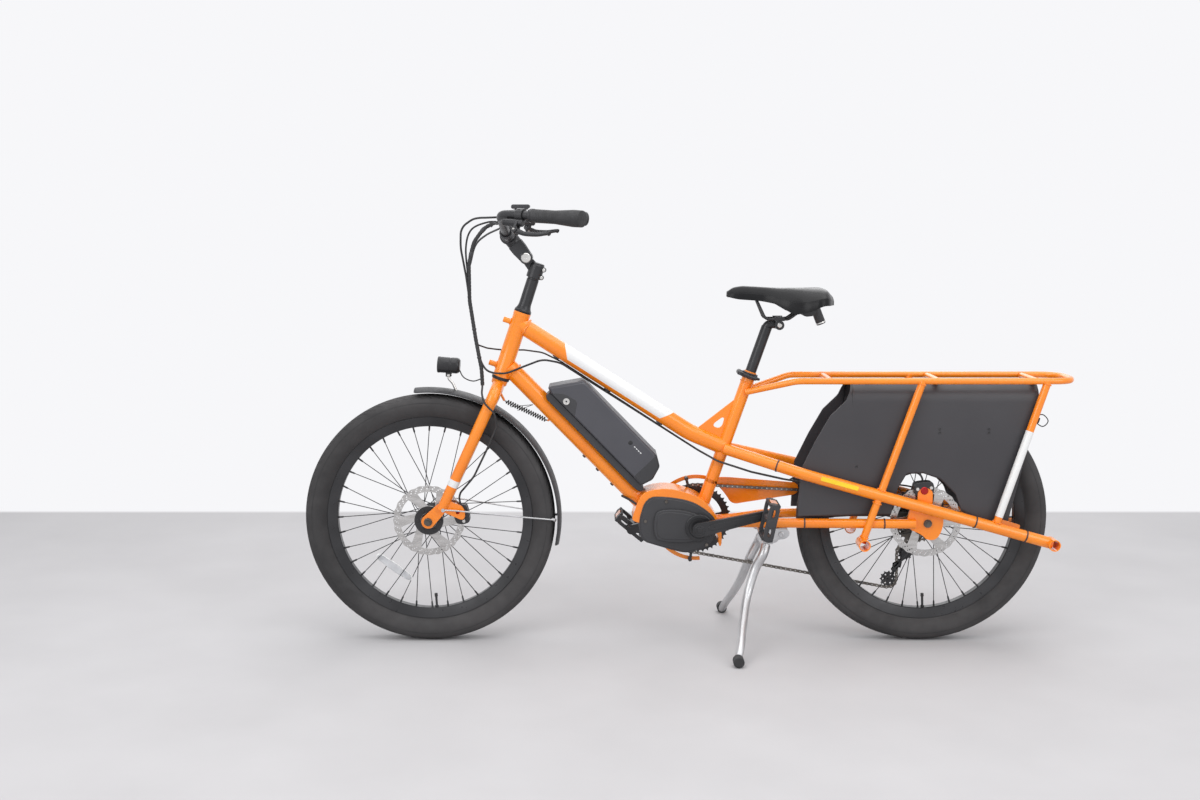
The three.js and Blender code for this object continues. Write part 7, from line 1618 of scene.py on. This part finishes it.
# %% Tail light
strut_foot, strut_top = strut(0, *STRUTS[1])
strut_up = unit(strut_top - strut_foot)
strut_back = -quarter_turn(strut_up)
bar_centre = strut_foot + strut_up * ((580 - strut_foot[2]) / strut_up[2]) + strut_back * 9.8
at = dict(origin=bar_centre, u=strut_up, v=strut_back)
bar_shapes = [plate(softened(oblong(-7, 0, 7, 3), 1), -78.5, 78.5, **at)]
piece("tail_light_bar", bar_shapes, "black_alloy", "frame", slot="black_paint", bevel=0.4)
housing = plate(softened(oblong(-14, 1.6, 14, 8), 2), -23.4, 23.4, **at)
piece("tail_light_housing", [housing], "black_plastic", "frame", bevel=1)
lens = plate(softened([(-12.8, 6), (-12.4, 12.6), (0, 16), (12.4, 12.6), (12.8, 6)], 1), -22, 22, **at)
piece("tail_light_lens", [lens], "red_lens", "frame", "tail_light", bevel=1.4)
loop_wire = smooth_path([bar_centre + strut_back * 5 + (0, -20, -6), bar_centre + (26, -30, -22),
    bar_centre + (30, -60, -4), bar_centre + (12, -74, 14), bar_centre + (-6, -70, 10)], 40)

# %% [markdown]
# The steering spring is a helix between fork and down tube: a circle carried along an axis, which fades
# to straight ends. It is baked in place and rides on no body.

# %% Spring
def helix(start, end, radius, curls, per_curl):
    """start + (end - start) t + radius (cos(2 pi n t) u + sin(2 pi n t) v)."""
    u, v = square_to(end - start)
    t = np.linspace(0, 1, curls * per_curl + 1)[:, None]
    angle = 2 * math.pi * curls * t
    grow = np.minimum(1, np.minimum(t, 1 - t) * curls * 1.6)
    return start + (end - start) * t + radius * grow * (np.cos(angle) * u + np.sin(angle) * v)


coil = helix(spring_front - spring_run * 6, spring_rear + spring_run * 6, 5.2, 18, 24)
wire = np.concatenate([[spring_front - spring_run * 9.4], coil, [spring_rear + spring_run * 9.4]])
hook = (-375, 0, 606)
hook_wires = [rod(hook, (-432, 0, 600), 0.8, 8), rod(hook, (-414, 0, 591), 0.8, 8)]
piece("steering_spring_wire", [tube(wire, 1.35, 8), *hook_wires], "rubber", "steering", "steering_spring",
    "black_paint", bend=("frame", spring_rear, spring_front))

# %% [markdown]
# ## Cables
# Cables are tubes on smooth paths.

# %% Cable bundle and brake hoses
HOSE_STEP = 14.0
BUNDLE = [(-458, -62, 1062), (-486, -62, 1050), (-514, -58, 1014), (-527, -52, 960), (-527, -47, 872),
    (-513, -42, 773), (-500, -40, 700), (-498, -40, 660)]
LOOP = [(-452, -68, 1074), (-510, -68, 1072), (-545, -62, 1050), (-546, -58, 1000), (-534, -52, 930),
    (-527, -47, 872)]
FRONT_HOSE = [(-498, -40, 664), (-498, -66, 640), (-490, -80, 618), (-466, -80, 596), (-462, -62, 560),
    (-488, -60, 500), (-522, -50, 430), (-561, -44, 383), (-556.2, -44, 360.05)]
REAR_HOSE = [(-490, -41, 704), (-470, -38, 690), (-440, -31, 688), (-400, -28, 704), (-350, -14, 722),
    (-305, 0, 712), (-14, 0, 526), (40, -6, 492), (90, -25, 466), (174, -34, 440), (252, -44, 424),
    (330, -50, 412), (470, -50, 404), (560, -52, 432), (598.4, -54, 437), (600.1, -54, 420.75)]


def wrap(path, radius, pitch):
    """A strip wound round a cable: the radius swells and falls once per turn of the winding."""
    return radius + 0.45 * (np.abs((travelled(path) / pitch) % 1 - 0.5) < 0.36)


def even(path, step):
    """Points at equal steps of the travelled length: close twins would kink a smooth curve."""
    distance = travelled(path)
    places = np.linspace(0, distance[-1], max(int(distance[-1] / step), 4))
    return np.stack([np.interp(places, distance, path[:, axis]) for axis in range(3)], -1)


def hose(name, path, radius, body="steering", node=None, bend=None, sides=14):
    """A free cable: a tube round path."""
    cable = piece(name, [tube(path, radius, sides)], "rubber", body, node, "rubber", sharp=60, bend=bend)


TILT_BEND = ("handlebar", (-470, -62, 1056), (-527, -52, 940))
dense = smooth_path(even(rounded(BUNDLE, 60, 24), HOSE_STEP), 420)
hose("cable_bundle_wrap", dense, wrap(dense, 4.4, 9.0), node="cable_bundle", bend=TILT_BEND, sides=20)
LEADS = {"display_lead": (smooth_path(even(rounded(LOOP, 40, 14), HOSE_STEP), 120), 2.6),
    "left_brake_lead": (smooth_path([(-449, -52, 1062), (-480, -50, 1062), (-520, -50, 1044),
        (-534, -50, 1000), (-530, -49, 930)], 70), 2.3),
    "left_switch_lead": (smooth_path([(-440, -150, 1062), (-452, -120, 1058), (-462, -90, 1060),
        (-470, -66, 1052)], 50), 2.5),
    "right_brake_lead": (smooth_path([(-440, 150, 1062), (-462, 100, 1046), (-490, 20, 1030),
        (-512, -30, 1006), (-524, -48, 960)], 90), 2.5)}
for name, (path, radius) in LEADS.items():
    hose(name, path, radius, bend=TILT_BEND)
hose("front_brake_hose", smooth_path(even(rounded(FRONT_HOSE, 26, 8), HOSE_STEP), 160), 2.5)
turn = np.insert(arc((578.1, 420.75), 22, 110, 0, 15), 1, -54, axis=1)
brake_path = rounded([(-508, -42, 748), (-500, -41, 716), (-488, -41, 697), *REAR_HOSE[1:13], turn[0]], 60,
    12)
hose("rear_brake_hose", np.concatenate([brake_path, turn[1:]]), 2.5, node="rear_hose",
    bend=("frame", (-360, -16, 718), (-480, -40, 697)))
second = np.array(REAR_HOSE[5:11]) + (0, 0, 5.6)
second[1:] += (0, 5, -5.6)
lead = [(-511, -42, 762), (-488, -10, 750), (-462, 24, 743), (-432, 31, 741), (-398, 25, 742),
    (-350, 9, 737), (-303, 5, 714)]
crossing = [(268, -30, 418), (282, 5, 416), (302, 36, 418), (330, 52, 424)]
gear_path = rounded(np.concatenate([lead, second[1:], crossing]), 50, 8)
hose("gear_cable", gear_path, 2.0, bend=("frame", (-380, 20, 741), (-480, 0, 748)))
hose("motor_lead", smooth_path([(-150, 0, 372), (-128, -30, 366), (-108, -34, 352), (-96, -30, 340)], 30),
    3, body="frame")
hose("headlight_lead", smooth_path([(-560, 0, 696), (-548, -6, 676), (-524, -18, 668), (-500, -34, 676)],
    40), 1.5)
hose("tail_light_lead", loop_wire, 1.3, body="frame")
shift_lead = [(622, 92, 300), (640, 96, 330), (620, 90, 372), (540, 70, 390), (430, 62, 404), (330, 52, 424)]
hose("derailleur_cable", smooth_path(shift_lead, 70), 2.2, body="frame")

# %% Connectors and ties
def collar_on(path, place, radius, reach):
    """A short sleeve round a cable at the path point nearest to a place."""
    path = np.asarray(path, float)
    i = int(np.argmin(np.linalg.norm(path - place, axis=1)))
    i = min(max(i, 1), len(path) - 2)
    run = unit(path[i + 1] - path[i - 1])
    return tube([path[i] - run * reach, path[i] - run * (reach - 1), path[i] + run * (reach - 1),
        path[i] + run * reach], [radius - 0.6, radius, radius, radius - 0.6], 20)


fork_ties = [collar_on(dense, place, 5.6, 2.2) for place in ((-518, -44, 800), (-506, -41, 730))]
piece("bundle_ties", fork_ties, "black_plastic", "steering")
piece("bundle_connectors", [collar_on(dense, (-492, -61, 1044), 5.4, 6),
    collar_on(dense, (-522, -54, 985), 5.4, 5)], "black_plastic", "steering", bend=TILT_BEND)
ties = []
TIES = [(main_stay(-1), x, 14.7) for x in (236, 726, 853)] + [(chain_stay(-1), x, 12.4) for x in (306, 503)]
for path, x, radius in TIES:
    share = np.interp(x, path[:, 0], np.arange(len(path)))
    low = int(share)
    centre = path[low] + (path[low + 1] - path[low]) * (share - low)
    run = unit(path[low + 1] - path[low])
    ties.append(ring(radius + 0.9, radius - 0.6, -1.6, 1.6, centre, run, 40))
piece("frame_ties", ties, "black_plastic", "frame")

# %% [markdown]
# ## Bands and reflectors
# The bike carries plain reflective bands: one on each fork blade, one on each stay and a white sleeve on
# each rear strut. They are thin sleeves a few tenths of a millimetre over the paint, since a band's edge
# does catch the light.

# %% Bands
yellow = []
for side in (-1, 1):
    normal, across = quarter_turn(STAY_RUN), np.array([0, side, 0])
    lean = math.radians(14)
    base = (338, side * 85, stay_height(338)) + 15.4 * (across * math.cos(lean) + normal * math.sin(lean))
    strip = plate(softened(oblong(0, -5.4, 97, 5.4), 1, 2), *span(side, -2.2, -0.8), origin=base,
        u=STAY_RUN, v=normal * math.cos(lean) - across * math.sin(lean))
    yellow.append(strip)
piece("stay_bands", yellow, "yellow_tape", "frame", bevel=0.3)
white_shapes, amber_shapes = [], []
for side in (-1, 1):
    foot, top = strut(side, *STRUTS[1])
    white_shapes.append(rod(foot + (top - foot) * 0.075, foot + (top - foot) * 0.66, 9.9, 32))
    pad = plate(softened([(786, 319), (836, 305), (838.4, 316), (788.4, 331)], 1, 2), *span(side, 83, 88))
    amber_shapes.append(pad)
piece("strut_sleeves", white_shapes, "white_paint", "frame")
piece("stay_reflectors", amber_shapes, "amber_lens", "frame", bevel=0.4)
fork_bands = []
for side in (-1, 1):
    top, low = np.array([(-467, side * 58, 641), (-603, side * 58, 348)])
    shares = np.array([0.74, 0.795])
    radius = np.interp(shares, [0, 1], [15, 12.6]) + 0.35
    fork_bands.append(tube(top + (low - top) * shares[:, None], radius, 32))
piece("fork_bands", fork_bands, "white_paint", "steering")
print("all pieces:", len(pieces))

# %% [markdown]
# ## Finish
# The dressed bike should keep to the box of the imported one; the script prints only how many pieces it
# made.

# %% Count the pieces
print("pieces made:", len(pieces))
